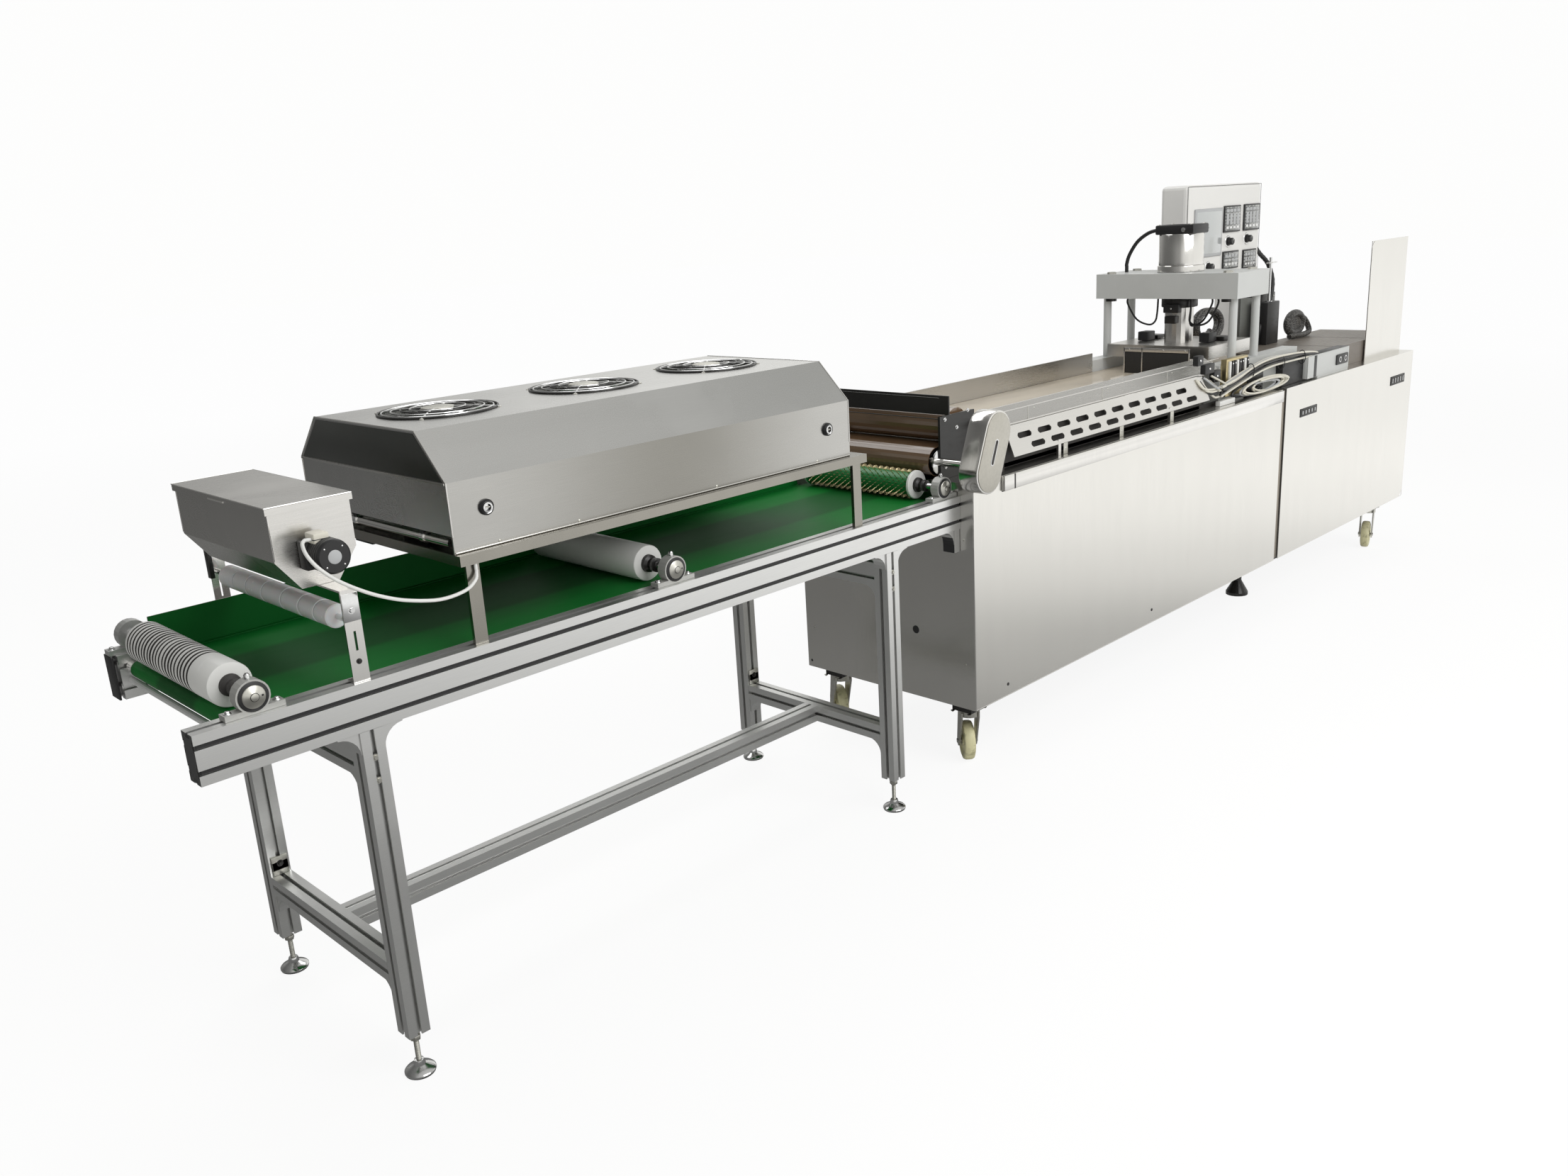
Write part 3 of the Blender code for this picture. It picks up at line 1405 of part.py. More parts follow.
def vent_slots():
    """Two staggered rows of round-ended slots, in the cover's own plane."""
    length = VENT_RIGHT - VENT_LEFT
    pitch = (length - 2 * VENT_MARGIN) / (VENT_SLOTS + 0.5)
    radius = VENT_SLOT_HEIGHT * 0.35
    slots = []
    for row, height in enumerate(VENT_ROWS):
        for number in range(VENT_SLOTS):
            left = -length / 2 + VENT_MARGIN + pitch * (number + 0.5 * row)
            right, low = left + VENT_SLOT_LENGTH, height - VENT_SLOT_HEIGHT / 2
            high = low + VENT_SLOT_HEIGHT
            slots.append(
                arc((right - radius, low + radius), radius, -90, 0, 1)
                + arc((right - radius, high - radius), radius, 0, 90, 1)
                + arc((left + radius, high - radius), radius, 90, 180, 1)
                + arc((left + radius, low + radius), radius, 180, 270, 1)
            )
    return slots


def make_vent_cover(steel):
    length = VENT_RIGHT - VENT_LEFT
    rise, lean = VENT_TOP_Z - VENT_BOTTOM_Z, VENT_TOP_Y - VENT_BOTTOM_Y
    height = math.hypot(rise, lean)
    outline = rectangle((-length / 2, -height / 2), (length / 2, height / 2))
    low, high = (VENT_LEFT, VENT_BOTTOM_Y, VENT_BOTTOM_Z), (VENT_RIGHT, VENT_TOP_Y, VENT_TOP_Z)
    middle = (Vector(low) + Vector(high)) / 2
    cover = plate("vent_cover", [outline] + vent_slots(), "y", middle, VENT_THICK)
    tilt = Matrix.Rotation(-math.atan2(lean, rise), 4, "X")
    cover.matrix_local = Matrix.Translation(middle) @ tilt @ FACING["y"]
    posts = [
        box(
            f"vent_post_{number}",
            (x, VENT_BOTTOM_Y + 0.001, DECK + GAP),
            (x + VENT_POST, VENT_BOTTOM_Y + 0.007, VENT_BOTTOM_Z + 0.012),
        )
        for number, x in enumerate((VENT_LEFT + 0.20, VENT_RIGHT - 0.24))
    ]
    fuse(cover, posts, "MANIFOLD")
    finish(cover, steel)


def obround(width, height):
    reach = (height - width) / 2
    return arc((0, reach), width / 2, 0, 180, 14) + arc((0, -reach), width / 2, 180, 360, 14)


def make_drive_cover(polished):
    middle = DRIVE_COVER_BACK - DRIVE_COVER_DEPTH / 2
    wall = DRIVE_COVER_WALL
    shape = [obround(DRIVE_COVER_WIDTH, DRIVE_COVER_HEIGHT)]
    hollow = [obround(DRIVE_COVER_WIDTH - 2 * wall, DRIVE_COVER_HEIGHT - 2 * wall)]
    place = (DRIVE_COVER_X, middle, DRIVE_COVER_Z)
    cover = plate("drive_cover", shape, "y", place, DRIVE_COVER_DEPTH)
    place = (DRIVE_COVER_X, middle + wall, DRIVE_COVER_Z)
    pocket = plate("drive_cover_pocket", hollow, "y", place, DRIVE_COVER_DEPTH)
    tilt = Matrix.Rotation(math.radians(DRIVE_COVER_TILT), 4, "Y")
    for made in (cover, pocket):
        spot = made.matrix_local.to_translation()
        made.matrix_local = Matrix.Translation(spot) @ tilt @ FACING["y"]
    cut(cover, [pocket])
    smooth(finish(cover, polished))


# ---------------------------------------------------------------- press


def make_press(painted, steel, polished, black):
    plate_low = PRESS_PLATE_TOP - PRESS_PLATE_THICK
    top_plate = box(
        "press_frame",
        (PRESS_LEFT, PRESS_NEAR, plate_low),
        (PRESS_LEFT + PRESS_DEPTH, PRESS_FAR, PRESS_PLATE_TOP),
    )
    beams, inner = [], BAKE_BELT_WIDTH / 2 + BEAM_GAP + 0.004
    for side, outer_y in ((-1, PRESS_NEAR), (1, PRESS_FAR)):
        inside = BAKE_MID_Y + side * inner
        beams.append(
            box(
                f"press_beam_{side}",
                (BEAM_LEFT, min(inside, outer_y), DECK + GAP),
                (BEAM_RIGHT, max(inside, outer_y), BEAM_TOP),
            )
        )
    bed_top = BAKE_BELT_TOP - BAKE_BELT_THICK - GAP
    bed = box(
        "press_bed",
        (BEAM_LEFT, BAKE_MID_Y - inner - WELD, bed_top - BED_PLATE_THICK),
        (TAIL_DRUM_X - DRUM_RADIUS - 0.012, BAKE_MID_Y + inner + WELD, bed_top),
    )
    columns = [
        turned(
            f"column_{x}_{y}",
            [(COLUMN_RADIUS, plate_low + WELD), (COLUMN_RADIUS, BEAM_TOP - WELD)],
            (x, y, 0),
            steps=16,
        )
        for x in (PRESS_LEFT + COLUMN_INSET_X, PRESS_LEFT + PRESS_DEPTH - COLUMN_INSET_X)
        for y in (PRESS_NEAR + COLUMN_INSET_Y, PRESS_FAR - COLUMN_INSET_Y)
    ]
    rod_hole = turned(
        "rod_hole",
        [(ROD_RADIUS + GAP, PRESS_PLATE_TOP + 0.01), (ROD_RADIUS + GAP, plate_low - 0.01)],
        (PRESS_MID_X, BAKE_MID_Y, 0),
    )
    fuse(top_plate, columns + beams + [bed])
    cut(top_plate, [rod_hole])
    finish(top_plate, painted)
    make_cylinder(polished)
    make_ram(steel)
    make_hose(black)


def make_cylinder(polished):
    low = PRESS_PLATE_TOP + GAP
    top = low + CYLINDER_HEIGHT
    at = (PRESS_MID_X, BAKE_MID_Y, 0)
    body = turned("press_cylinder", [(CYLINDER_RADIUS, top), (CYLINDER_RADIUS, low)], at)
    cap = box(
        "cylinder_cap",
        (at[0] - CAP_WIDTH / 2, at[1] - CAP_LENGTH / 2, top - WELD),
        (at[0] + CAP_WIDTH / 2, at[1] + CAP_LENGTH / 2, top + CAP_HEIGHT),
    )
    fuse(body, [cap])
    smooth(finish(body, polished))


def make_ram(steel):
    """The upper hot plate, the round ram above it and the piston rod."""
    x, y = PRESS_MID_X, BAKE_MID_Y
    low = BAKE_BELT_TOP + PLATEN_RAISED
    platen = box(
        "press_ram",
        (x - PLATEN_LENGTH / 2, y - PLATEN_WIDTH / 2, low),
        (x + PLATEN_LENGTH / 2, y + PLATEN_WIDTH / 2, low + PLATEN_THICK),
        (x, y, low),
    )
    ram_top = PRESS_PLATE_TOP - PRESS_PLATE_THICK - RAM_CLEARANCE
    profile = [
        (ROD_RADIUS, PRESS_PLATE_TOP),
        (ROD_RADIUS, ram_top),
        (RAM_RADIUS, ram_top),
        (RAM_RADIUS, low + PLATEN_THICK - WELD),
    ]
    fuse(platen, [turned("ram", profile, (x, y, 0))])
    finish(platen, steel)


def make_hose(black):
    """The air hose from the cylinder's cap down to the top plate."""
    start_y = BAKE_MID_Y + CAP_LENGTH / 2 + GAP
    z = PRESS_PLATE_TOP + CYLINDER_HEIGHT + CAP_HEIGHT / 2
    route = [
        (PRESS_MID_X, start_y, z),
        (PRESS_MID_X, start_y + 0.020, z - 0.001),
        (PRESS_MID_X, start_y + 0.054, z - 0.010),
        (PRESS_MID_X, start_y + 0.092, z - 0.036),
        (PRESS_MID_X, start_y + 0.120, z - 0.076),
        (PRESS_MID_X, start_y + 0.130, PRESS_PLATE_TOP + 0.028),
        (PRESS_MID_X, start_y + 0.130, PRESS_PLATE_TOP + 0.018),
        (PRESS_MID_X, start_y + 0.130, PRESS_PLATE_TOP + 0.009),
        (PRESS_MID_X, start_y + 0.130, PRESS_PLATE_TOP + GAP),
    ]
    finish(tube("press_hose", smooth_route(route, 3), HOSE_RADIUS), black)


# ---------------------------------------------------------------- controls and infeed


def make_controls(painted, black):
    back = CONTROL_FRONT + CONTROL_DEPTH
    cabinet = box(
        "control_cabinet",
        (CONTROL_LEFT, CONTROL_FRONT, CONTROL_BOTTOM),
        (CONTROL_LEFT + CONTROL_WIDTH, back, CONTROL_TOP),
    )
    bevel = cabinet.modifiers.new("edges", "BEVEL")
    bevel.width = CONTROL_EDGE
    bevel.segments = 3
    middle = (CONTROL_FRONT + back) / 2
    pillar = box(
        "control_pillar",
        (PILLAR_LEFT, middle - PILLAR_DEPTH / 2, DECK + GAP),
        (PILLAR_LEFT + PILLAR_WIDTH, middle + PILLAR_DEPTH / 2, CONTROL_BOTTOM + 0.02),
    )
    fuse(cabinet, [pillar])
    smooth(finish(cabinet, painted))
    for number, (right, up) in enumerate(KNOB_PLACES, 1):
        front = CONTROL_FRONT - GAP
        knob = turned(
            f"knob_{number}",
            [
                (KNOB_RADIUS, KNOB_DEPTH / 2),
                (KNOB_RADIUS, KNOB_DEPTH / 2 - 0.004),
                (KNOB_RADIUS - 0.003, KNOB_DEPTH / 2 - 0.004),
                (KNOB_RADIUS - 0.003, -KNOB_DEPTH / 2 + 0.002),
                (KNOB_RADIUS - 0.005, -KNOB_DEPTH / 2),
            ],
            (CONTROL_LEFT + right, front - KNOB_DEPTH / 2, CONTROL_BOTTOM + up),
            "y",
            20,
        )
        smooth(finish(knob, black))


def make_infeed(taupe, painted):
    """The covered infeed table, open at both ends, and the junction box beside it."""
    low, wall = DECK + GAP, TABLE_WALL
    outline = [
        (TABLE_NEAR, low),
        (TABLE_NEAR + wall, low),
        (TABLE_NEAR + wall, TABLE_TOP - wall),
        (TABLE_FAR - wall, TABLE_TOP - wall),
        (TABLE_FAR - wall, low),
        (TABLE_FAR, low),
        (TABLE_FAR, TABLE_TOP),
        (TABLE_NEAR, TABLE_TOP),
    ]
    length = TABLE_RIGHT - TABLE_LEFT
    middle = (TABLE_LEFT + TABLE_RIGHT) / 2
    finish(plate("infeed_table", [outline], "x", (middle, 0, 0), length), taupe)
    junction = box(
        "junction_box",
        (BOX_LEFT, BOX_NEAR, low),
        (BOX_LEFT + BOX_WIDTH, TABLE_NEAR - GAP, BOX_TOP),
    )
    finish(junction, painted)


def main():
    start_scene()
    aluminium = make_material("aluminium", (0.80, 0.80, 0.79), 0.35, 0.9)
    steel = make_material("brushed_steel", (0.70, 0.68, 0.65), 0.32, 1.0)
    polished = make_material("polished_steel", (0.80, 0.79, 0.77), 0.15, 1.0)
    zinc = make_material("zinc", (0.66, 0.65, 0.60), 0.35, 1.0)
    chrome = make_material("chrome", (0.82, 0.82, 0.82), 0.15, 1.0)
    cast = make_material("cast_grey", (0.62, 0.62, 0.60), 0.45, 0.3)
    painted = make_material("grey_paint", (0.60, 0.61, 0.60), 0.45, 0.0)
    black = make_material("black_plastic", (0.02, 0.02, 0.02), 0.45, 0.0)
    white = make_material("white_plastic", (0.85, 0.85, 0.84), 0.40, 0.0)
    green = make_material("green_belt", (0.01, 0.20, 0.05), 0.45, 0.0)
    ptfe = make_material("brown_ptfe", (0.24, 0.15, 0.08), 0.35, 0.0)
    cream = make_material("cream_wheel", (0.78, 0.74, 0.50), 0.50, 0.0)
    taupe = make_material("taupe_cover", (0.30, 0.27, 0.24), 0.50, 0.0)

    make_rails(aluminium, cast)
    make_end_frame("end_frame_left", LEFT_LEG_X, aluminium)
    make_end_frame("end_frame_right", RIGHT_LEG_X, aluminium)
    make_lower_frame(aluminium)
    make_feet(chrome)
    make_belt_bed(steel)
    make_nose_bar(painted)
    make_green_belt(green)
    make_drive_roller(steel)
    make_rollers(white)
    make_hood(steel, black)
    make_hood_frame(steel)
    make_hopper(steel, black, white)
    make_motor_cable(white)
    make_casings(steel)
    make_base_frame(black)
    make_casters(zinc, cream)
    make_baking_belt(ptfe, steel)
    make_outlet_frame(black)
    make_trough(steel)
    make_vent_cover(steel)
    make_drive_cover(polished)
    make_press(painted, steel, polished, black)
    make_controls(painted, black)
    make_infeed(taupe, painted)


main()
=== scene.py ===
"""Looks of the flatbread press and baking line: finishes, cords, guards, rings, dials and fittings.

Line coordinates, as in the CAD: X from the free end of the near rail, Y from the conveyor's
middle, Z from the floor. The function line() turns them into the frame's coordinates.
"""

import json
import math
import random

import bmesh
import bpy
from mathutils import Matrix, Vector


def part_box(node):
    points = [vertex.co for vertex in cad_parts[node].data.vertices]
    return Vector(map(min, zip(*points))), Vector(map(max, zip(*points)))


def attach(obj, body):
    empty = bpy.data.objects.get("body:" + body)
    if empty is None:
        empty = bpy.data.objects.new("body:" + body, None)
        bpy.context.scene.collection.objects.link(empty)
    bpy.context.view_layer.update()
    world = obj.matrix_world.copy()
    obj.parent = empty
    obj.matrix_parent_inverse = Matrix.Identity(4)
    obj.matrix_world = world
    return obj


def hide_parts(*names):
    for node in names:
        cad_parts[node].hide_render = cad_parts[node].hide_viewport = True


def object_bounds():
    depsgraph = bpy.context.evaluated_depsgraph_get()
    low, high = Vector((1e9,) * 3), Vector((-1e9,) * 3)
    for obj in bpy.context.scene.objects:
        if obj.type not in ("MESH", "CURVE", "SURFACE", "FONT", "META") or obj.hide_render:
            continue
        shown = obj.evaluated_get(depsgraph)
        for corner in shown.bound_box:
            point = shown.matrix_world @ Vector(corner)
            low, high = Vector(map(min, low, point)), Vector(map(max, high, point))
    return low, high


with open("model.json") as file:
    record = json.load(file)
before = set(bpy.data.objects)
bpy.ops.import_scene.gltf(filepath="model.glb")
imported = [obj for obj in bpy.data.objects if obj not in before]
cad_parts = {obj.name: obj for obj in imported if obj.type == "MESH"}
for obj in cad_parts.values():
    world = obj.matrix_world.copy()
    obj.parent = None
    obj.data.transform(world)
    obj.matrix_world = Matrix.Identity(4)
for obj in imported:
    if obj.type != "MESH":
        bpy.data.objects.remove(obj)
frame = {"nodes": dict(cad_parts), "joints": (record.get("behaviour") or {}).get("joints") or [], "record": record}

CAD_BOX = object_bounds()
NEAR_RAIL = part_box("rail_near")
FAR_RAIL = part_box("rail_far")
ORIGIN = Vector((NEAR_RAIL[0].x, (NEAR_RAIL[0].y + FAR_RAIL[1].y) / 2, 0))
JOINTS = {joint["name"]: joint for joint in frame["joints"]}
LINE = "line"
CORNERS = ("near_left", "near_right", "far_left", "far_right")
ROLLER_FACE = 0.0359
FINISHES = {}


def line(x, y, z):
    return ORIGIN + Vector((x, y, z))


# ---------------------------------------------------------------- shapes


class Piece:
    """Gathers shapes in one mesh of named finishes, which then rides on a body."""

    def __init__(self, *materials):
        self.shape = bmesh.new()
        self.materials = [FINISHES[name] for name in materials]

    def paint(self, faces, number):
        for face in faces:
            face.material_index = number

    def soften(self, edges, bevel, segments):
        bmesh.ops.bevel(
            self.shape, geom=edges, offset=bevel, segments=segments, profile=0.5, affect="EDGES",
            material=-1
        )

    def box(self, low, high, bevel=0.001, number=0, segments=2):
        low, high = Vector(low), Vector(high)
        verts = bmesh.ops.create_cube(self.shape, size=1)["verts"]
        bmesh.ops.scale(self.shape, vec=high - low, verts=verts)
        bmesh.ops.translate(self.shape, vec=(low + high) / 2, verts=verts)
        self.paint({face for vert in verts for face in vert.link_faces}, number)
        if bevel:
            edges = list({edge for vert in verts for edge in vert.link_edges})
            self.soften(edges, bevel, segments)
        return self

    def prism(self, outline, facing, middle, thick, bevel=0.0, number=0, turn=None):
        """A flat outline thickened about its middle; it lies across the axis that it faces."""
        sides = {
            "x": lambda u, v, w: Vector((w, u, v)), "y": lambda u, v, w: Vector((u, w, v)),
            "z": lambda u, v, w: Vector((u, v, w))
        }[facing]
        turn = turn or Matrix.Identity(3)
        middle = Vector(middle)
        ends = [
            [self.shape.verts.new(middle + turn @ sides(u, v, side * thick / 2)) for u, v in outline]
            for side in (-1, 1)
        ]
        faces = [self.shape.faces.new(end) for end in ends]
        count = len(outline)
        for i in range(count):
            j = (i + 1) % count
            faces.append(self.shape.faces.new((ends[0][i], ends[0][j], ends[1][j], ends[1][i])))
        bmesh.ops.recalc_face_normals(self.shape, faces=faces)
        self.paint(faces, number)
        if bevel:
            edges = list({edge for face in faces[:2] for edge in face.edges})
            self.soften(edges, bevel, 2)
        return self

    def turned(self, profile, middle, axis=(0, 0, 1), steps=32, number=0):
        """A closed profile of (radius, height, material) points turned round an axis."""
        turn = Vector((0, 0, 1)).rotation_difference(Vector(axis)).to_matrix()
        middle = Vector(middle)
        points = [(0, profile[0][1])] + list(profile) + [(0, profile[-1][1])]
        rings = []
        for point in points:
            radius, height = point[:2]
            count = steps if radius else 1
            rings.append(
                [
                    self.shape.verts.new(
                        middle
                        + turn @ Vector(
                            (
                                radius * math.cos(math.tau * i / count),
                                radius * math.sin(math.tau * i / count), height
                            )
                        )
                    )
                    for i in range(count)
                ]
            )
        for ring, following, point in zip(rings, rings[1:], points):
            for i in range(steps):
                corners = (
                    ring[i % len(ring)], ring[(i + 1) % len(ring)], following[(i + 1) % len(following)],
                    following[i % len(following)]
                )
                corners = list(dict.fromkeys(corners))
                if len(corners) > 2:
                    face = self.shape.faces.new(corners)
                    face.material_index = point[2] if len(point) > 2 else number
        return self

    def tube(self, points, radius, steps=10, closed=False, number=0):
        """A round tube along points; a list of radii may stand for the one radius."""
        points = [Vector(point) for point in points]
        count = len(points)
        radii = radius if isinstance(radius, (list, tuple)) else [radius] * count
        ahead = [
            points[(i + 1) % count] - points[i - 1]
            if closed or 0 < i < count - 1 else (
                points[1] - points[0] if i == 0 else points[-1] - points[-2]
            )
            for i in range(count)
        ]
        side = ahead[0].orthogonal().normalized()
        rings = []
        for point, direction, wide in zip(points, ahead, radii):
            direction = direction.normalized()
            side = (side - direction * side.dot(direction)).normalized()
            up = direction.cross(side)
            rings.append(
                [
                    self.shape.verts.new(
                        point + side * wide * math.cos(math.tau * i / steps)
                        + up * wide * math.sin(math.tau * i / steps)
                    )
                    for i in range(steps)
                ]
            )
        pairs = list(zip(rings, rings[1:]))
        if closed:
            pairs.append((rings[-1], rings[0]))
            shift = min(range(steps), key=lambda k: (rings[0][k].co - rings[-1][0].co).length)
            pairs[-1] = (rings[-1], rings[0][shift:] + rings[0][:shift])
        else:
            self.paint([self.shape.faces.new(rings[0]), self.shape.faces.new(rings[-1])], number)
        for ring, following in pairs:
            for i in range(steps):
                j = (i + 1) % steps
                face = self.shape.faces.new((ring[i], ring[j], following[j], following[i]))
                face.material_index = number
        return self

    def bolt(self, middle, axis, size, number=0):
        """A washer with a six-sided head on it."""
        axis = Vector(axis).normalized()
        self.turned([(size * 1.05, 0.0012), (size * 1.15, 0)], middle, axis, 20, number)
        self.turned(
            [(size * 0.62, size * 0.75), (size * 0.72, size * 0.62), (size * 0.72, 0.001)], middle,
            axis, 6, number
        )
        return self

    def screw(self, middle, axis, size, number=0):
        """A low domed head."""
        profile = [(size * 0.35, size * 0.42), (size * 0.75, size * 0.30), (size, 0)]
        return self.turned(profile, middle, axis, 16, number)

    def finish(self, name, body=LINE, angle=40):
        bmesh.ops.recalc_face_normals(self.shape, faces=self.shape.faces)
        mesh = bpy.data.meshes.new(name)
        self.shape.to_mesh(mesh)
        self.shape.free()
        mesh.shade_smooth()
        mesh.set_sharp_from_angle(angle=math.radians(angle))
        for material in self.materials:
            mesh.materials.append(material)
        made = bpy.data.objects.new(name, mesh)
        bpy.context.scene.collection.objects.link(made)
        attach(made, body)
        return made


def smooth_route(points, samples):
    """Points read from a Catmull-Rom curve through the route's own points."""
    ends = [Vector(points[0])] + [Vector(p) for p in points] + [Vector(points[-1])]
    route = []
    for a, b, c, d in zip(ends, ends[1:], ends[2:], ends[3:]):
        for step in range(samples):
            t = step / samples
            bend = (2 * a - 5 * b + 4 * c - d) * t**2 + (3 * b - a - 3 * c + d) * t**3
            route.append(0.5 * (2 * b + (c - a) * t + bend))
    route.append(ends[-1])
    return route


# ---------------------------------------------------------------- materials


class Shader:
    """Adds nodes to a material's or the world's tree, and links them."""

    def __init__(self, tree):
        self.tree = tree

    def node(self, kind, **settings):
        made = self.tree.nodes.new(kind)
        for key, value in settings.items():
            setattr(made, key, value)
        return made

    def link(self, start, end):
        self.tree.links.new(start, end)

    def maths(self, operation, first, second):
        made = self.node("ShaderNodeMath", operation=operation)
        self.fill(made.inputs, (first, second))
        return made.outputs[0]

    def fill(self, sockets, values):
        """Sets each socket to a number, or links it to another node's output."""
        for socket, value in zip(sockets, values):
            if isinstance(value, (int, float)):
                socket.default_value = value
            else:
                self.link(value, socket)

    def remap(self, value, start, end, low, high, smooth=True):
        made = self.node("ShaderNodeMapRange")
        made.interpolation_type = "SMOOTHSTEP" if smooth else "LINEAR"
        for socket, number in zip(
            ("From Min", "From Max", "To Min", "To Max"), (start, end, low, high)
        ):
            made.inputs[socket].default_value = number
        self.link(value, made.inputs["Value"])
        return made.outputs["Result"]

    def ramp(self, value, stops, blue=1.0, interpolation="LINEAR"):
        """A grey ramp from (place, shade) pairs, over a value."""
        low, high = stops[0][0], stops[-1][0]
        made = self.node("ShaderNodeValToRGB")
        made.color_ramp.interpolation = interpolation
        elements = made.color_ramp.elements
        while len(elements) < len(stops):
            elements.new(0.5)
        for element, (place, shade) in zip(elements, stops):
            element.position = (place - low) / (high - low)
            element.color = (shade, shade, shade * blue, 1)
        self.link(self.remap(value, low, high, 0, 1, False), made.inputs[0])
        return made.outputs["Color"]

    def part_of(self, vector, axis):
        parts = self.node("ShaderNodeSeparateXYZ")
        self.link(vector, parts.inputs[0])
        return parts.outputs[axis]

    def coordinates(self, source="Object"):
        return self.node("ShaderNodeTexCoord").outputs[source]


class Finish(Shader):
    """A Principled material whose grain, blotches and bump come from noise in object space."""

    def __init__(self, name, colour, roughness, metallic=0.0, **sockets):
        self.made = bpy.data.materials.new(name)
        self.made.use_nodes = True
        super().__init__(self.made.node_tree)
        self.shader = self.tree.nodes["Principled BSDF"]
        self.shader.inputs["Base Color"].default_value = (*colour, 1)
        self.shader.inputs["Roughness"].default_value = roughness
        self.shader.inputs["Metallic"].default_value = metallic
        for socket, value in sockets.items():
            self.shader.inputs[socket.replace("_", " ")].default_value = value
        self.base = colour
        self.roughness = roughness
        self.colour = self.rough = self.normal = None

    def object_axis(self, axis, source="Object"):
        """One coordinate of the point, or of its normal, in object space."""
        return self.part_of(self.coordinates(source), axis)

    def noise(self, scale, detail=3.0, stretch=(1, 1, 1), distortion=0.0):
        mapping = self.node("ShaderNodeMapping")
        mapping.inputs["Scale"].default_value = stretch
        self.link(self.coordinates(), mapping.inputs["Vector"])
        texture = self.node("ShaderNodeTexNoise")
        texture.inputs["Scale"].default_value = scale
        texture.inputs["Detail"].default_value = detail
        texture.inputs["Distortion"].default_value = distortion
        self.link(mapping.outputs["Vector"], texture.inputs["Vector"])
        return texture.outputs["Fac"]

    def pattern(self, kind, scale, output, **settings):
        """Bands or cells in object space."""
        texture = self.node(kind, **settings)
        texture.inputs["Scale"].default_value = scale
        self.link(self.coordinates(), texture.inputs["Vector"])
        return texture.outputs[output]

    def mix_colour(self, factor, other):
        """Lays another colour over what is there, by a factor from 0 to 1."""
        mix = self.node("ShaderNodeMix", data_type="RGBA")
        self.link(factor, mix.inputs["Factor"])
        if self.colour is None:
            mix.inputs[6].default_value = (*self.base, 1)
        else:
            self.link(self.colour, mix.inputs[6])
        mix.inputs[7].default_value = (*other, 1)
        self.colour = mix.outputs[2]

    def mix_rough(self, factor, other):
        made = self.node("ShaderNodeMix", data_type="FLOAT")
        self.link(factor, made.inputs["Factor"])
        if self.rough is None:
            made.inputs[2].default_value = self.roughness
        else:
            self.link(self.rough, made.inputs[2])
        made.inputs[3].default_value = other
        self.rough = made.outputs[0]

    def bump(self, height, distance, strength=1.0):
        made = self.node("ShaderNodeBump")
        made.inputs["Distance"].default_value = distance
        made.inputs["Strength"].default_value = strength
        self.link(height, made.inputs["Height"])
        if self.normal is not None:
            self.link(self.normal, made.inputs["Normal"])
        self.normal = made.outputs["Normal"]

    def done(self):
        for output, socket in (
            (self.colour, "Base Color"), (self.rough, "Roughness"), (self.normal, "Normal")
        ):
            if output is not None:
                self.link(output, self.shader.inputs[socket])
        return self.made


def darker(colour, share):
    return tuple(value * share for value in colour)


def brushed(
    name, colour, roughness, stretch=(1, 90, 90), streak=0.10, smudge=0.10, metallic=1.0, cut=0.22
):
    """Sheet metal with fine streaks along one axis, soft wide bands and hand smudges."""
    made = Finish(name, colour, roughness, metallic)
    fine = made.noise(9, 2, stretch)
    wide = made.noise(1.3, 2, tuple(min(s, 14) for s in stretch))
    blotch = made.noise(5, 4, distortion=0.4)
    made.mix_colour(made.remap(fine, 0.35, 0.65, 0, streak), darker(colour, 0.55))
    made.mix_colour(made.remap(wide, 0.35, 0.70, 0, streak * 1.2), darker(colour, 0.72))
    made.mix_rough(made.remap(fine, 0.3, 0.7, 0, 0.5), roughness + 0.10)
    made.mix_rough(made.remap(blotch, 0.45, 0.70, 0, 1), roughness + smudge)
    made.bump(fine, 0.00010, cut)
    made.bump(made.noise(3.5, 1), 0.0012, 0.12)
    return made


def moulded(name, colour, roughness, grain=260, specks=0.25, scuff=0.5, depth=0.0001, **sockets):
    """Plastic or paint with a fine grain, faint colour drift and scuffs."""
    made = Finish(name, colour, roughness, **sockets)
    drift = made.noise(7, 3)
    scratch = made.noise(24, 5, (1, 3, 3), 1.2)
    made.mix_colour(made.remap(drift, 0.35, 0.7, 0, specks), darker(colour, 0.80))
    pale = tuple(min(1, value * 1.25 + 0.02) for value in colour)
    made.mix_colour(made.remap(scratch, 0.60, 0.74, 0, scuff * 0.5), pale)
    made.mix_rough(made.remap(scratch, 0.50, 0.72, 0, scuff), min(1, roughness + 0.2))
    made.bump(made.noise(grain, 2), depth, 0.5)
    return made


def green_belt_finish():
    """Green belting with painted shadows and reflections in bands along the line, a fine weave and pale dust."""
    # deep is the belt's green in painted shadow; bright is the same green painted lit.
    deep, bright = (0.0016, 0.086, 0.013), (0.0025, 0.165, 0.022)
    made = Finish("green_belt", deep, 0.50, Specular_IOR_Level=0.18)
    stops = [(ORIGIN.y + place, shade) for place, shade in BELT_PAINTED_SHADOWS]
    made.mix_colour(made.remap(made.ramp(made.object_axis("Y"), stops), 0, 1, 1, 0), bright)
    dust = made.noise(30, 6, (0.4, 1, 1), 0.6)
    made.mix_colour(made.remap(dust, 0.64, 0.90, 0, 0.03), (0.20, 0.38, 0.22))
    made.mix_rough(made.remap(dust, 0.45, 0.75, 0, 1), 0.52)
    made.bump(made.noise(700, 1), 0.0001, 0.4)
    made.bump(made.noise(4, 1, (0.5, 1, 1)), 0.0015, 0.15)
    return made.done()


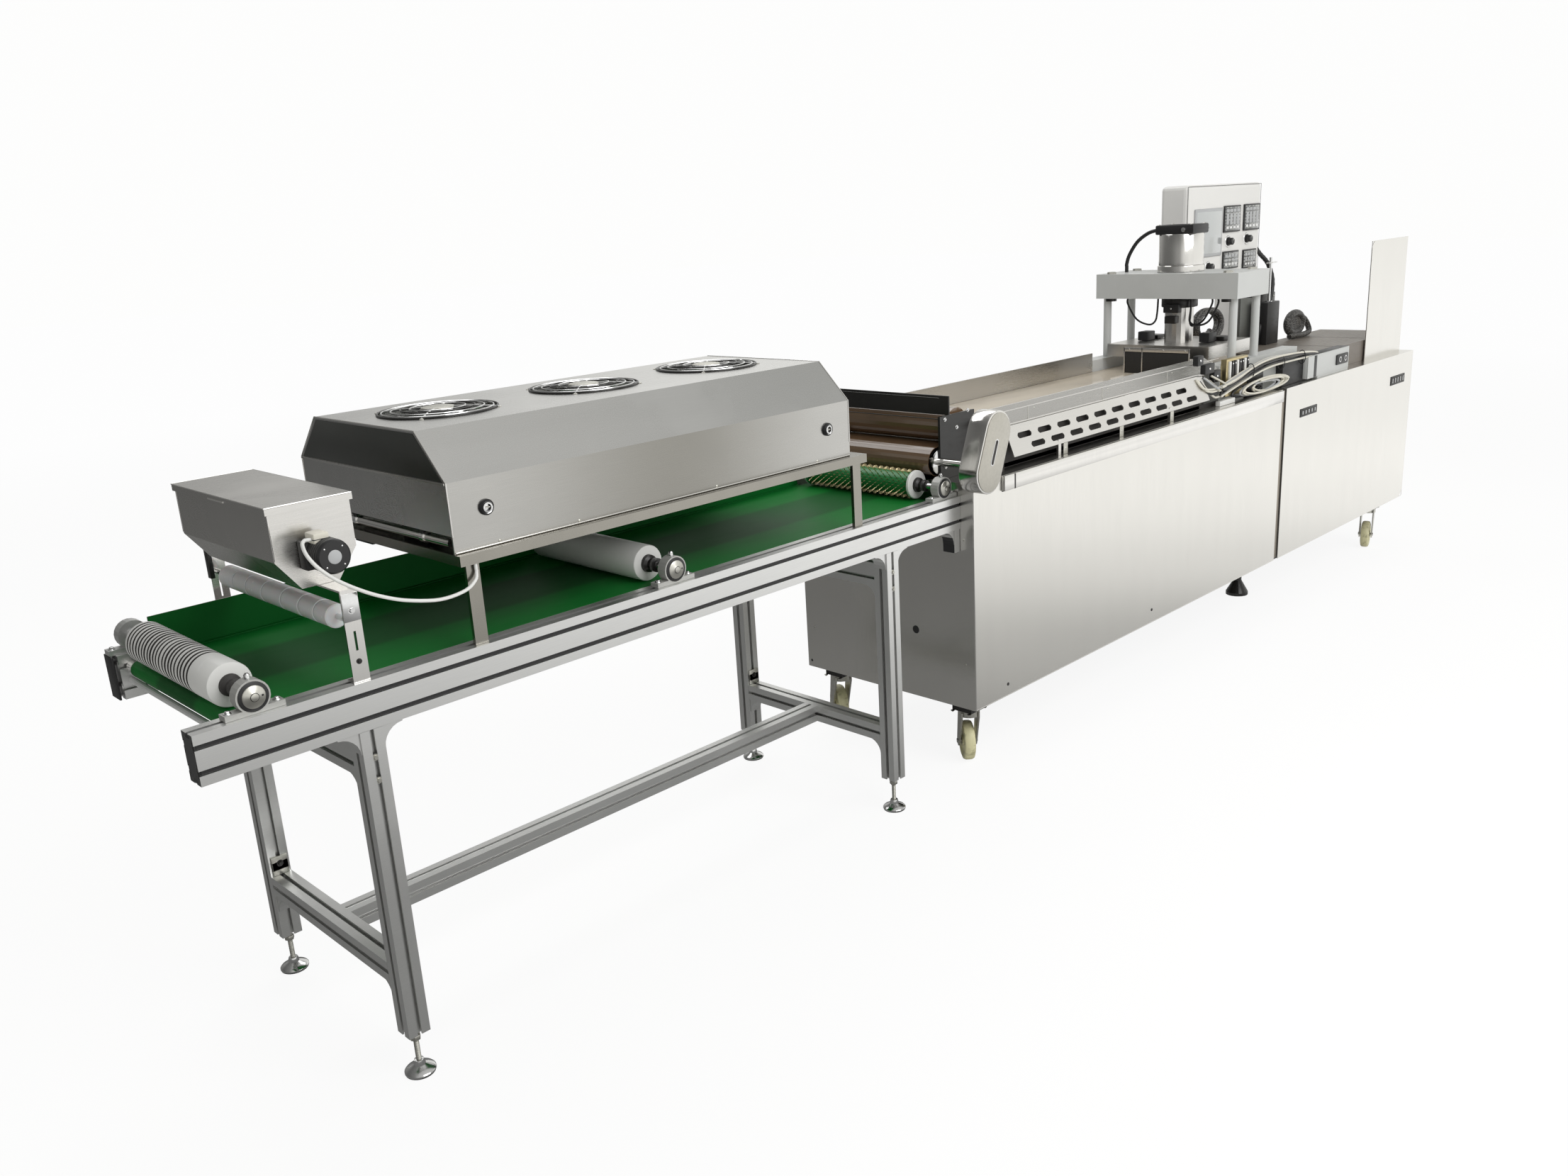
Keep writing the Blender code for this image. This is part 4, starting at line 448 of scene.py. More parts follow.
def brown_belt_finish():
    """Coated glass cloth: glossy brown with a plain weave, pale beige in noisy patches on its upward faces beyond
    the outlet drum.
    """
    colour = (0.165, 0.100, 0.055)
    made = Finish("brown_belt", colour, 0.20, Specular_IOR_Level=0.8, Coat_Weight=0.4)
    up = made.object_axis("Z", "Normal")
    along = made.object_axis("X")
    pale_patches = made.noise(9, 6, (0.25, 1, 1), 0.5)
    start = line(1.94, 0, 0).x
    # Upward faces from just beyond the outlet drum turn pale beige in noisy patches.
    on_top = made.maths(
        "MULTIPLY", made.remap(up, 0.9, 0.99, 0, 1), made.remap(along, start, start + 0.15, 0, 1)
    )
    amount = made.maths("MULTIPLY", on_top, made.remap(pale_patches, 0.2, 0.8, 0.72, 1.0))
    made.mix_colour(amount, (0.60, 0.53, 0.42))
    made.mix_rough(amount, 0.55)
    made.mix_colour(made.remap(made.noise(5, 4, (0.4, 1, 1)), 0.4, 0.7, 0, 0.35), (0.07, 0.042, 0.022))
    made.bump(made.noise(500, 1), 0.0001, 0.5)
    return made.done()


def wheel_finish():
    """Cast nylon, yellowed, with a dark worn tread."""
    made = moulded("cream_wheel", (0.72, 0.68, 0.42), 0.42, 120, 0.5, 0.7)
    made.mix_colour(made.remap(made.noise(60, 6), 0.52, 0.68, 0, 0.5), (0.22, 0.20, 0.10))
    return made.done()


def taupe_finish():
    """Ribbed taupe sheeting."""
    made = moulded("taupe_cover", (0.235, 0.205, 0.175), 0.42, 180, 0.5, 0.4)
    ribs = made.pattern("ShaderNodeTexWave", 14, "Fac", wave_type="BANDS", bands_direction="Y")
    made.mix_colour(made.remap(ribs, 0.5, 0.95, 0, 0.35), (0.13, 0.11, 0.095))
    made.bump(ribs, 0.0008, 0.5)
    return made.done()


STEEL_AXIS = (2, 150, 150)
BRUSHED = {
    "aluminium_profile": ((0.80, 0.80, 0.79), 0.30, (2, 70, 70), 0.06, 0.06, 0.95),
    "stainless_sheet": ((0.70, 0.685, 0.66), 0.25, STEEL_AXIS, 0.07, 0.08, 1.0, 0.10),
    "upright_sheet": ((0.76, 0.745, 0.71), 0.21, (220, 220, 2), 0.04, 0.05, 1.0, 0.02),
    "polished_stainless": ((0.76, 0.745, 0.72), 0.11, (90, 90, 1), 0.06, 0.08),
    "zinc_plate": ((0.60, 0.59, 0.54), 0.32, (14, 14, 14), 0.25, 0.15),
    "chrome_plate": ((0.74, 0.74, 0.74), 0.10, (30, 30, 30), 0.08, 0.10),
    "spike_brass": ((0.62, 0.52, 0.30), 0.30, (20, 20, 20), 0.2, 0.2),
    "cover_front": ((0.50, 0.48, 0.43), 0.30, (18, 18, 18), 0.10, 0.12, 0.75),
    "frame_strip": ((0.34, 0.325, 0.29), 0.20, (60, 60, 60), 0.10, 0.10, 1.0, 0.05),
    "seam_strip": ((0.27, 0.235, 0.19), 0.25, (200, 200, 2), 0.06, 0.06, 1.0, 0.03),
    # end_shade_and_dark_steel: dark grey painted as shade on the hood's recessed ends, and the dark steel of the
    # control post.
    "end_shade_and_dark_steel": ((0.16, 0.165, 0.155), 0.32)
}
MOULDED = {
    "grey_paint": ((0.60, 0.61, 0.60), 0.38, 90, 0.15, 0.3, 0.00015),
    "black_steel": ((0.016, 0.015, 0.014), 0.30, 140, 0.4, 0.5),
    "black_plastic": ((0.018, 0.018, 0.019), 0.42, 300, 0.4, 0.4),
    "white_plastic": ((0.80, 0.80, 0.78), 0.36, 200, 0.18, 0.3),
    "rubber": ((0.022, 0.021, 0.020), 0.62, 400, 0.4, 0.5),
    # belt_green_reflection: green painted on the spiked roller's core as the reflection of the belt below it.
    "belt_green_reflection": ((0.020, 0.20, 0.050), 0.30, 160, 0.4, 0.4),
    "cream_plastic": ((0.74, 0.71, 0.62), 0.40, 200, 0.2, 0.3),
    "light_grey": ((0.46, 0.47, 0.48), 0.35, 200, 0.15, 0.3),
    # dark_joint_and_shade: the colour of dark joints, and painted shade in grooves, slots and openings.
    "dark_joint_and_shade": ((0.035, 0.032, 0.030), 0.6, 80, 0.4, 0.3),
    "control_white": ((0.84, 0.83, 0.81), 0.34, 90, 0.08, 0.15)
}
# Painted shadows and reflections on the belt: at each place across the line, how much of the shaded green lies
# over the lit green.
BELT_PAINTED_SHADOWS = (
    (-0.2, 0), (-0.09, 0.3), (-0.07, 0.95), (0.07, 0.8), (0.09, 0.15), (0.18, 0.1), (0.2, 0.6)
)


def make_finishes():
    for name, values in BRUSHED.items():
        FINISHES[name] = brushed(name, *values).done()
    for name, values in MOULDED.items():
        FINISHES[name] = moulded(name, *values).done()
    grey, roll, glass = (0.50, 0.50, 0.48), (0.78, 0.79, 0.80), (0.52, 0.54, 0.54)
    FINISHES["cast_grey"] = moulded(
        "cast_grey", grey, 0.45, 160, 0.4, 0.6, 0.0002, Metallic=0.35
    ).done()
    soft = moulded("clear_roll", roll, 0.22, 60, 0.2, 0.3, 0.0002, Subsurface_Weight=0.25)
    FINISHES["clear_roll"] = soft.done()
    FINISHES["screen"] = moulded("screen", glass, 0.12, 30, 0.10, 0.2, 0.00005, Coat_Weight=0.5).done()
    FINISHES["green_belt"] = green_belt_finish()
    FINISHES["brown_belt"] = brown_belt_finish()
    FINISHES["cream_wheel"] = wheel_finish()
    FINISHES["taupe_cover"] = taupe_finish()
    FINISHES["display"] = display_finish()
    FINISHES["braid"] = braid_finish()
    FINISHES["hood_sheet_painted_shade"] = hood_finish()
    FINISHES["rail_with_cap"] = rail_end_finish()


def display_finish():
    """Dark glass over small lit cells, as on a row of unlabelled meters."""
    made = moulded("display", (0.05, 0.052, 0.055), 0.16, 60, 0.2, 0.2, 0.00005, Coat_Weight=0.6)
    cells = made.pattern("ShaderNodeTexVoronoi", 95, "Distance", distance="CHEBYCHEV")
    cells.node.inputs["Randomness"].default_value = 0.25
    made.mix_colour(made.remap(cells, 0.24, 0.34, 1, 0), (0.42, 0.43, 0.41))
    return made.done()


def braid_finish():
    """A black woven sleeve."""
    made = moulded("braid", (0.030, 0.029, 0.028), 0.45, 500, 0.4, 0.5)
    cells = made.pattern("ShaderNodeTexVoronoi", 260, "Distance")
    made.mix_colour(made.remap(cells, 0.45, 0.75, 0, 0.5), (0.30, 0.29, 0.27))
    made.bump(cells, 0.0012, 0.8)
    return made.done()


def hood_finish():
    """Brushed sheet with painted shade: its near upright face darker, most at mid length, and its sloped near face
    darker toward the +X end.
    """
    made = brushed("hood_sheet_painted_shade", (0.68, 0.675, 0.66), 0.24, (2, 150, 150), 0.07, 0.08, 1.0, 0.10)
    facing = made.object_axis("Y", "Normal")
    along = made.object_axis("X")
    low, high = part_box("hood_shell")
    middle = (low.x + high.x) / 2
    upright = made.remap(facing, -0.85, -0.98, 0, 1)
    rising = made.remap(along, low.x, middle, 0.45, 0.88)
    share = made.maths("SUBTRACT", rising, made.remap(along, middle, high.x, 0.0, 0.50))
    # Painted shade on the near upright face, deepest at mid length.
    made.mix_colour(made.maths("MULTIPLY", upright, share), (0.235, 0.225, 0.20))
    # Painted shade on the sloped near face, growing toward the +X end.
    below, above = made.remap(facing, -0.60, -0.70, 0, 1), made.remap(facing, -0.85, -0.75, 0, 1)
    toward_end = made.remap(along, low.x, high.x, 0.0, 0.30)
    slope_shade = made.maths("MULTIPLY", made.maths("MULTIPLY", below, above), toward_end)
    made.mix_colour(slope_shade, (0.30, 0.31, 0.30))
    return made.done()


def rail_end_finish():
    """The rails' brushed aluminium, with the black of a moulded cap on the cut end that faces -X."""
    made = brushed("rail_with_cap", *BRUSHED["aluminium_profile"])
    cut_end = made.maths("LESS_THAN", made.object_axis("X", "Normal"), -0.9)
    made.mix_colour(cut_end, (0.022, 0.022, 0.024))
    bare = made.maths("SUBTRACT", 1.0, cut_end)
    made.link(made.maths("MULTIPLY", bare, 0.95), made.shader.inputs["Metallic"])
    return made.done()


OWN_FINISH = {
    "main_cabinet": "upright_sheet", "infeed_cabinet": "upright_sheet",
    "drive_cover": "polished_stainless", "hood_shell": "hood_sheet_painted_shade", "control_cabinet": "control_white",
    "hood_frame": "frame_strip", "rail_near": "rail_with_cap"
}


def dress_nodes():
    """Gives every CAD node its finish, by its slot unless it has one of its own."""
    for subpart in frame["record"]["subparts"]:
        name, slot = subpart["node"], subpart["material_slot"]
        made = frame["nodes"][name]
        made.data.materials.clear()
        made.data.materials.append(FINISHES[OWN_FINISH.get(name, slot)])


# ---------------------------------------------------------------- camera and stage


CAMERA_PLACE = (-2.8975, -2.03435, 1.392)
CAMERA_TURNS = (44.43, 16.37, -3.36)
CAMERA_LENS, SENSOR_WIDTH, CAMERA_REACH = 28.92, 36, 60


def make_camera():
    """Stands left of the line's free end, on the near side, at eye height."""
    yaw, pitch, roll = (math.radians(turn) for turn in CAMERA_TURNS)
    forward = Vector(
        (math.sin(yaw) * math.cos(pitch), math.cos(yaw) * math.cos(pitch), -math.sin(pitch))
    )
    right = Vector((math.cos(yaw), -math.sin(yaw), 0))
    up = right.cross(forward)
    across = right * math.cos(roll) + up * math.sin(roll)
    over = up * math.cos(roll) - right * math.sin(roll)
    data = bpy.data.cameras.new("camera")
    data.sensor_width = SENSOR_WIDTH
    data.lens = CAMERA_LENS
    data.clip_end = CAMERA_REACH
    camera = bpy.data.objects.new("camera", data)
    turn = Matrix((across, over, -forward)).transposed().to_4x4()
    camera.matrix_world = Matrix.Translation(CAMERA_PLACE) @ turn
    bpy.context.scene.collection.objects.link(camera)
    bpy.context.scene.camera = camera


WORLD_SHADES = ((-1.45, 0.16), (-0.7, 0.34), (0.0, 0.86), (0.8, 1.0), (1.45, 1.05))
HEIGHT_SHADES = ((-1.0, 1.0), (0.25, 1.0), (0.60, 0.55), (1.0, 0.60))
FLOOR_SHADES = (
    (-3.0, 0.11), (-0.6, 0.17), (1.2, 0.52), (2.4, 0.92), (3.6, 1.18), (4.8, 1.28), (7.5, 1.15)
)
FLOOR_TO_CAMERA = 1.04
SKY_TO_CAMERA = 0.985
WARMTH = 0.985
FADE_NEAR, FADE_FAR = 4.0, 9.0


def toward_light(stage, vector):
    """How far a place or a direction lies toward +X and -Y, the bright corner of the room."""
    return stage.maths("SUBTRACT", stage.part_of(vector, "X"), stage.part_of(vector, "Y"))


def mix_stage(stage, output, factor, first, second):
    """Ends a tree in a mix of two shaders."""
    mix = stage.node("ShaderNodeMixShader")
    stage.fill(mix.inputs, (factor, first, second))
    stage.link(mix.outputs[0], stage.node(output).inputs["Surface"])


def make_world():
    """White to the camera; to the metal, a room that is bright on the near side and dim behind."""
    world = bpy.data.worlds.new("world")
    world.use_nodes = True
    world.node_tree.nodes.clear()
    stage = Shader(world.node_tree)
    around = stage.coordinates("Generated")
    both = stage.node("ShaderNodeMix", data_type="RGBA", blend_type="MULTIPLY")
    both.inputs["Factor"].default_value = 1.0
    stage.link(stage.ramp(toward_light(stage, around), WORLD_SHADES, WARMTH, "EASE"), both.inputs[6])
    stage.link(stage.ramp(stage.part_of(around, "Z"), HEIGHT_SHADES, WARMTH, "EASE"), both.inputs[7])
    room, white = stage.node("ShaderNodeBackground"), stage.node("ShaderNodeBackground")
    stage.link(both.outputs[2], room.inputs["Color"])
    white.inputs["Color"].default_value = (SKY_TO_CAMERA, SKY_TO_CAMERA, SKY_TO_CAMERA * 0.995, 1)
    seen = stage.node("ShaderNodeLightPath").outputs["Is Camera Ray"]
    mix_stage(stage, "ShaderNodeOutputWorld", seen, room.outputs[0], white.outputs[0])
    bpy.context.scene.world = world


def make_floor():
    """Pale floor: white to the camera but for a soft shadow, graded to mirrors, plain to lights."""
    shape = bmesh.new()
    bmesh.ops.create_grid(shape, x_segments=1, y_segments=1, size=30)
    mesh = bpy.data.meshes.new("floor")
    shape.to_mesh(mesh)
    shape.free()
    floor = bpy.data.objects.new("floor", mesh)
    floor.location = (0, 0, CAD_BOX[0].z - 0.0005)
    bpy.context.scene.collection.objects.link(floor)
    made = bpy.data.materials.new("floor")
    made.use_nodes = True
    made.node_tree.nodes.clear()
    stage = Shader(made.node_tree)
    path = stage.node("ShaderNodeLightPath").outputs
    place = stage.node("ShaderNodeNewGeometry").outputs["Position"]
    reach = stage.node("ShaderNodeVectorMath", operation="LENGTH")
    stage.link(place, reach.inputs[0])
    far_off = reach.outputs["Value"]
    glow_share = stage.remap(far_off, FADE_NEAR, FADE_FAR, 0.86, 1.0, False)
    glow_shade = stage.remap(far_off, FADE_NEAR, FADE_FAR, FLOOR_TO_CAMERA, SKY_TO_CAMERA, False)
    seen = stage.maths("MAXIMUM", path["Is Camera Ray"], path["Is Glossy Ray"])
    plain = stage.node("ShaderNodeBsdfDiffuse")
    plain.inputs["Color"].default_value = (0.86, 0.86, 0.85, 1)
    colour = stage.node("ShaderNodeMix", data_type="RGBA")
    stage.link(path["Is Camera Ray"], colour.inputs["Factor"])
    graded = stage.ramp(toward_light(stage, place), FLOOR_SHADES, WARMTH, "EASE")
    stage.link(graded, colour.inputs[6])
    stage.link(glow_shade, colour.inputs[7])
    glow = stage.node("ShaderNodeEmission")
    stage.link(colour.outputs[2], glow.inputs["Color"])
    share = stage.maths("MULTIPLY", seen, glow_share)
    mix_stage(stage, "ShaderNodeOutputMaterial", share, plain.outputs[0], glow.outputs[0])
    mesh.materials.append(made)


def area_light(name, place, target, wide, high, power):
    data = bpy.data.lights.new(name, "AREA")
    data.shape = "RECTANGLE"
    data.size, data.size_y = wide, high
    data.energy = power
    light = bpy.data.objects.new(name, data)
    light.location = place
    light.rotation_euler = (Vector(target) - Vector(place)).to_track_quat("-Z", "Y").to_euler()
    bpy.context.scene.collection.objects.link(light)


def make_lights():
    middle = (CAD_BOX[0] + CAD_BOX[1]) / 2
    area_light("key", (-0.6, -3.6, 3.6), middle, 3.6, 2.4, 95)
    area_light("overhead", (0.4, 2.2, 4.0), middle, 5.0, 1.6, 60)


# ---------------------------------------------------------------- cords


CABLE_ROUTE = (
    (0.2367, -0.230, 0.962), (0.2320, -0.230, 0.962), (0.2260, -0.230, 0.962), (0.2190, -0.238, 0.957),
    (0.2170, -0.254, 0.943), (0.2270, -0.266, 0.923), (0.2510, -0.271, 0.899), (0.2840, -0.275, 0.876),
    (0.3170, -0.277, 0.858), (0.3570, -0.277, 0.842), (0.4130, -0.276, 0.829), (0.4620, -0.272, 0.831),
    (0.4860, -0.268, 0.843), (0.4920, -0.264, 0.855), (0.4920, -0.264, 0.860), (0.4920, -0.264, 0.865),
    (0.4920, -0.264, 0.8694)
)
HOSE_ROUTE = (
    (3.368, 0.0673, 1.283), (3.368, 0.0873, 1.282), (3.368, 0.1213, 1.273), (3.368, 0.1593, 1.247),
    (3.368, 0.1873, 1.207), (3.368, 0.1973, 1.177), (3.368, 0.1973, 1.167), (3.368, 0.1973, 1.158),
    (3.368, 0.1973, 1.1493)
)


def make_cord(node, route, radius, slot):
    """A cord along its route; it takes the place of its CAD node."""
    name = f"{node}_line"
    curve = bpy.data.curves.new(name, "CURVE")
    curve.dimensions = "3D"
    curve.bevel_depth = radius
    curve.bevel_resolution = 5
    curve.use_fill_caps = True
    points = smooth_route([line(*point) for point in route], 5)
    spline = curve.splines.new("POLY")
    spline.points.add(len(points) - 1)
    for point, place in zip(spline.points, points):
        point.co = (*place, 1)
    spline.use_smooth = True
    curve.materials.append(FINISHES[slot])
    made = bpy.data.objects.new(name, curve)
    bpy.context.scene.collection.objects.link(made)
    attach(made, LINE)
    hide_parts(node)


def make_cords():
    make_cord("motor_cable", CABLE_ROUTE, 0.003, "white_plastic")
    make_cord("press_hose", HOSE_ROUTE, 0.006, "black_plastic")


# ---------------------------------------------------------------- conveyor


def pivot(joint):
    return Vector(JOINTS[joint]["pos_m"])


def box_and_middle(name):
    """A node's lowest and highest corner, and its middle on the floor."""
    low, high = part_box(name)
    return low, high, Vector(((low.x + high.x) / 2, (low.y + high.y) / 2, 0))


def make_rail_ends():
    """Black caps in the rails' ends."""
    caps = Piece("black_plastic")
    for low, high in (NEAR_RAIL, FAR_RAIL):
        inset = 0.0006
        rail_low = NEAR_RAIL[1].z - 0.080
        # The near rail ends the whole machine, so its cap lies flush; its finish darkens the cut end.
        proud = inset if low is FAR_RAIL[0] else -0.0002
        outer = Vector((low.x - proud, low.y + inset, rail_low + inset))
        inner = Vector((low.x + 0.003, low.y + 0.040 - inset, NEAR_RAIL[1].z - inset))
        if low is FAR_RAIL[0]:
            outer.y, inner.y = high.y - 0.040 + inset, high.y - inset
        caps.box(outer, inner, 0.0008)
    caps.finish("rail_end_caps")


def make_slot_strips():
    """Dark strips deep in the rails' slots, painted shade that reads as thin lines."""
    shade_strips = Piece("black_plastic")
    top = NEAR_RAIL[1].z
    left = NEAR_RAIL[0].x + 0.004
    right = NEAR_RAIL[1].x - 0.004
    for low_y, high_y in (
        (NEAR_RAIL[0].y + 0.0030, NEAR_RAIL[0].y + 0.0070),
        (FAR_RAIL[1].y - 0.0070, FAR_RAIL[1].y - 0.0030)
    ):
        start = left if low_y < ORIGIN.y else FAR_RAIL[0].x + 0.004
        for height in (0.020, 0.060):
            middle = top - height
            shade_strips.box((start, low_y, middle - 0.0036), (right, high_y, middle + 0.0036), 0)
    shade_strips.box(
        (left, NEAR_RAIL[0].y + 0.0166, top - 0.007), (right, NEAR_RAIL[0].y + 0.0236, top - 0.003), 0
    )
    shade_strips.finish("rail_slot_shade")


def make_belt_edges():
    """A bright guide beside the belt, and the green belt painted as a reflection on the upright strip behind it.
    """
    low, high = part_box("green_belt")
    edges = Piece("aluminium_profile")
    middle = ORIGIN.y - 0.2205
    edges.box(
        (low.x + 0.06, middle - 0.0045, high.z - 0.006),
        (high.x - 0.06, middle + 0.0045, high.z - 0.0025), 0.0008
    )
    edges.finish("belt_side_guide")
    # A thin green sheet on the strip's inner face is the belt's reflection, painted.
    belt_reflection = Piece("green_belt")
    shaft = pivot("hold_down_roller_spin")
    start, end = line(0.1185, 0, 0).x, line(1.7435, 0, 0).x
    floor, top = line(0, 0, 0.7195).z, line(0, 0, 0.7878).z
    outline = [
        (start, floor), (end, floor), (end, top), (shaft.x + 0.0125, top),
        (shaft.x + 0.0125, shaft.z - 0.0125), (shaft.x - 0.0125, shaft.z - 0.0125),
        (shaft.x - 0.0125, top), (start, top)
    ]
    belt_reflection.prism(outline, "y", (0, line(0, 0.2116, 0).y, 0), 0.0006)
    belt_reflection.box(line(0.1185, 0.2004, 0.7170), line(1.7435, 0.2116, 0.7198), 0.0003)
    belt_reflection.finish("belt_guard_painted_reflection")


def bearing_trim(name, joint, body):
    """Seal ring and bolts on a pillow block, and the shaft's bright end inside it."""
    middle = pivot(joint)
    low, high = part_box(name)
    face = low.y
    trim = Piece("black_plastic", "chrome_plate", "cast_grey")
    ring = [(0.0225, 0.0016), (0.0235, 0.0008), (0.0235, -0.001)]
    trim.turned(ring, (middle.x, face, middle.z), (0, -1, 0), 40, 0)
    for side in (-1, 1):
        spot = (middle.x + side * 0.0375, (low.y + high.y) / 2, low.z + 0.009)
        trim.bolt(spot, (0, 0, 1), 0.0055, 1)
    trim.turned(
        [(0.003, 0.009), (0.0045, 0.007), (0.0045, 0)], (middle.x, low.y + 0.011, high.z - 0.001),
        (0, 0, 1), 12, 1
    )
    trim.finish(f"{name}_trim")
    end = Piece("zinc_plate", "black_steel")
    end.turned(
        [
            (0.0060, 0.0066, 1), (0.0070, 0.0060), (0.0085, 0.0046), (0.0165, 0.0040), (0.0180, 0.0026),
            (0.0180, 0.0018)
        ],
        (middle.x, face, middle.z), (0, -1, 0), 36
    )
    end.screw((middle.x + 0.0125, face - 0.0038, middle.z), (0, -1, 0), 0.0022, 1)
    end.finish(f"{name}_shaft_end", body)


def far_bearing_trim():
    """Bolts on the blocks along the far rail."""
    trim = Piece("chrome_plate")
    for joint in ("grooved_roller_spin", "hold_down_roller_spin", "spiked_roller_spin"):
        middle = pivot(joint)
        for side in (-1, 1):
            spot = (middle.x + side * 0.0375, FAR_RAIL[1].y - 0.020, NEAR_RAIL[1].z + 0.0093)
            trim.bolt(spot, (0, 0, 1), 0.0055)
    trim.finish("far_bearing_bolts")


def roller_ends(radius):
    """Half of a roller's profile from its shaft end to its face: chrome, black hub, white end."""
    low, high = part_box("hold_down_roller")
    end = (high.y - low.y) / 2
    return [
        (0.0078, end, 2), (0.0078, 0.2060, 1), (0.0100, 0.2060, 1), (0.0140, 0.2040, 1),
        (0.0140, 0.1950, 1), (0.0115, 0.1920, 1), (0.0115, 0.1860, 1), (0.0170, 0.1820, 1),
        (0.0180, 0.1752, 0), (radius - 0.0040, 0.1750, 0), (radius - 0.0010, 0.1742, 0),
        (radius, 0.1720, 0)
    ]


def make_plain_roller():
    """White hold-down roller with stub shafts."""
    radius = ROLLER_FACE
    made = Piece("white_plastic", "black_steel", "chrome_plate")
    made.turned(mirrored(roller_ends(radius)), pivot("hold_down_roller_spin"), (0, 1, 0), 56)
    roller = made.finish("hold_down_roller_detail", "hold_down_roller_body")
    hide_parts("hold_down_roller")


def mirrored(half):
    """Adds the mirrored half of a profile, each run with the material of the run opposite it."""
    other = []
    for place in reversed(range(len(half))):
        radius, height, _ = half[place]
        other.append((radius, -height, half[max(place - 1, 0)][2]))
    return half + other


def make_grooved_roller():
    """White roller cut by uneven grooves, painted dark inside as shade; its near end stays plain."""
    radius = ROLLER_FACE
    draw = random.Random(7)
    half = roller_ends(radius)
    grooves = []
    span_start, span_end, count = 0.162, -0.098, 21
    for number in range(count):
        middle = span_start + (span_end - span_start) * number / (count - 1)
        middle += draw.uniform(-0.0012, 0.0012)
        wide = draw.uniform(0.0026, 0.0037)
        # Groove walls and floors take the dark finish: painted shade in the grooves.
        grooves += [
            (radius, middle + wide, 1), (radius - 0.0050, middle + wide - 0.0004, 1),
            (radius - 0.0050, middle - wide + 0.0004, 1), (radius, middle - wide, 0)
        ]
    ends = mirrored(half)
    made = Piece("white_plastic", "dark_joint_and_shade", "chrome_plate")
    profile = ends[: len(half)] + grooves + ends[len(half) :]
    made.turned(profile, pivot("grooved_roller_spin"), (0, 1, 0), 56)
    roller = made.finish("grooved_roller_detail", "grooved_roller_body", 30)
    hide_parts("grooved_roller")


def make_spiked_roller():
    """Roller set with rows of short pins, for pricking and pulling the sheet; its core is painted green, the
    reflection of the green belt below it.
    """
    core = 0.0285
    tip = 0.0358
    half = roller_ends(core)
    half = half[:-4] + [
        (0.0180, 0.1752, 0), (0.0330, 0.1750, 0), (0.0345, 0.1735, 0), (0.0345, 0.1680, 3),
        (core, 0.1675, 3)
    ]
    made = Piece("white_plastic", "black_steel", "chrome_plate", "belt_green_reflection", "spike_brass")
    middle = pivot("spiked_roller_spin")
    made.turned(mirrored(half), middle, (0, 1, 0), 48)
    rows, around = 36, 16
    for row in range(rows):
        place = -0.160 + 0.320 * row / (rows - 1)
        for number in range(around):
            angle = math.tau * (number + 0.5 * (row % 2)) / around
            out = Vector((math.cos(angle), 0, math.sin(angle)))
            foot = middle + Vector((0, place, 0)) + out * (core - 0.0005)
            made.turned([(0.0006, tip - core), (0.0017, 0)], foot, out, 4, 4)
    roller = made.finish("spiked_roller_detail", "spiked_roller_body")
    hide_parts("spiked_roller")


def make_dusting_roller():
    """Translucent roller in sleeves, with thin bands between them."""
    low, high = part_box("dusting_roller")
    end = (high.y - low.y) / 2
    face, radius = 0.209, 0.0199
    bands = (0.150, 0.095, 0.030, -0.045, -0.110, -0.165)
    profile = [
        (0.0048, end, 1), (0.0048, face + 0.001, 1), (0.012, face, 0), (radius - 0.002, face, 0),
        (radius, face - 0.002, 0)
    ]
    for place in bands:
        profile += [
            (radius, place + 0.0030, 0), (radius - 0.0014, place + 0.0022, 2),
            (radius - 0.0014, place - 0.0022, 0), (radius, place - 0.0030, 0)
        ]
    profile += [
        (radius, -face + 0.002, 0), (radius - 0.002, -face, 0), (0.012, -face, 0),
        (0.0048, -face - 0.001, 1), (0.0048, -end, 1)
    ]
    made = Piece("clear_roll", "chrome_plate", "light_grey")
    made.turned(profile, pivot("dusting_roller_spin"), (0, 1, 0), 40)
    roller = made.finish("dusting_roller_detail", "dusting_roller_body")
    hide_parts("dusting_roller")


def make_frame_fittings():
    """Corner bolts of the end frames and the lower frame."""
    fittings = Piece("zinc_plate", "black_steel")
    for name in ("end_frame_left", "end_frame_right"):
        low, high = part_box(name)
        x = (low.x + high.x) / 2
        for side in (-1, 1):
            leg = ORIGIN.y + side * 0.247
            inner = leg - side * 0.020
            for height in (0.235, 0.245):
                fittings.box(
                    (x - 0.016, min(inner, inner - side * 0.004), height - 0.017),
                    (x + 0.016, max(inner, inner - side * 0.004), height + 0.012), 0.001
                )
            fittings.bolt((x, inner - side * 0.004, 0.242), (0, -side, 0), 0.006, 1)
            fittings.bolt((x, leg + side * 0.0185, 0.6), (0, side, 0), 0.0055)
            fittings.bolt((x, leg + side * 0.0185, 0.56), (0, side, 0), 0.0055)
    fittings.finish("frame_fittings")


# ---------------------------------------------------------------- hood and fans


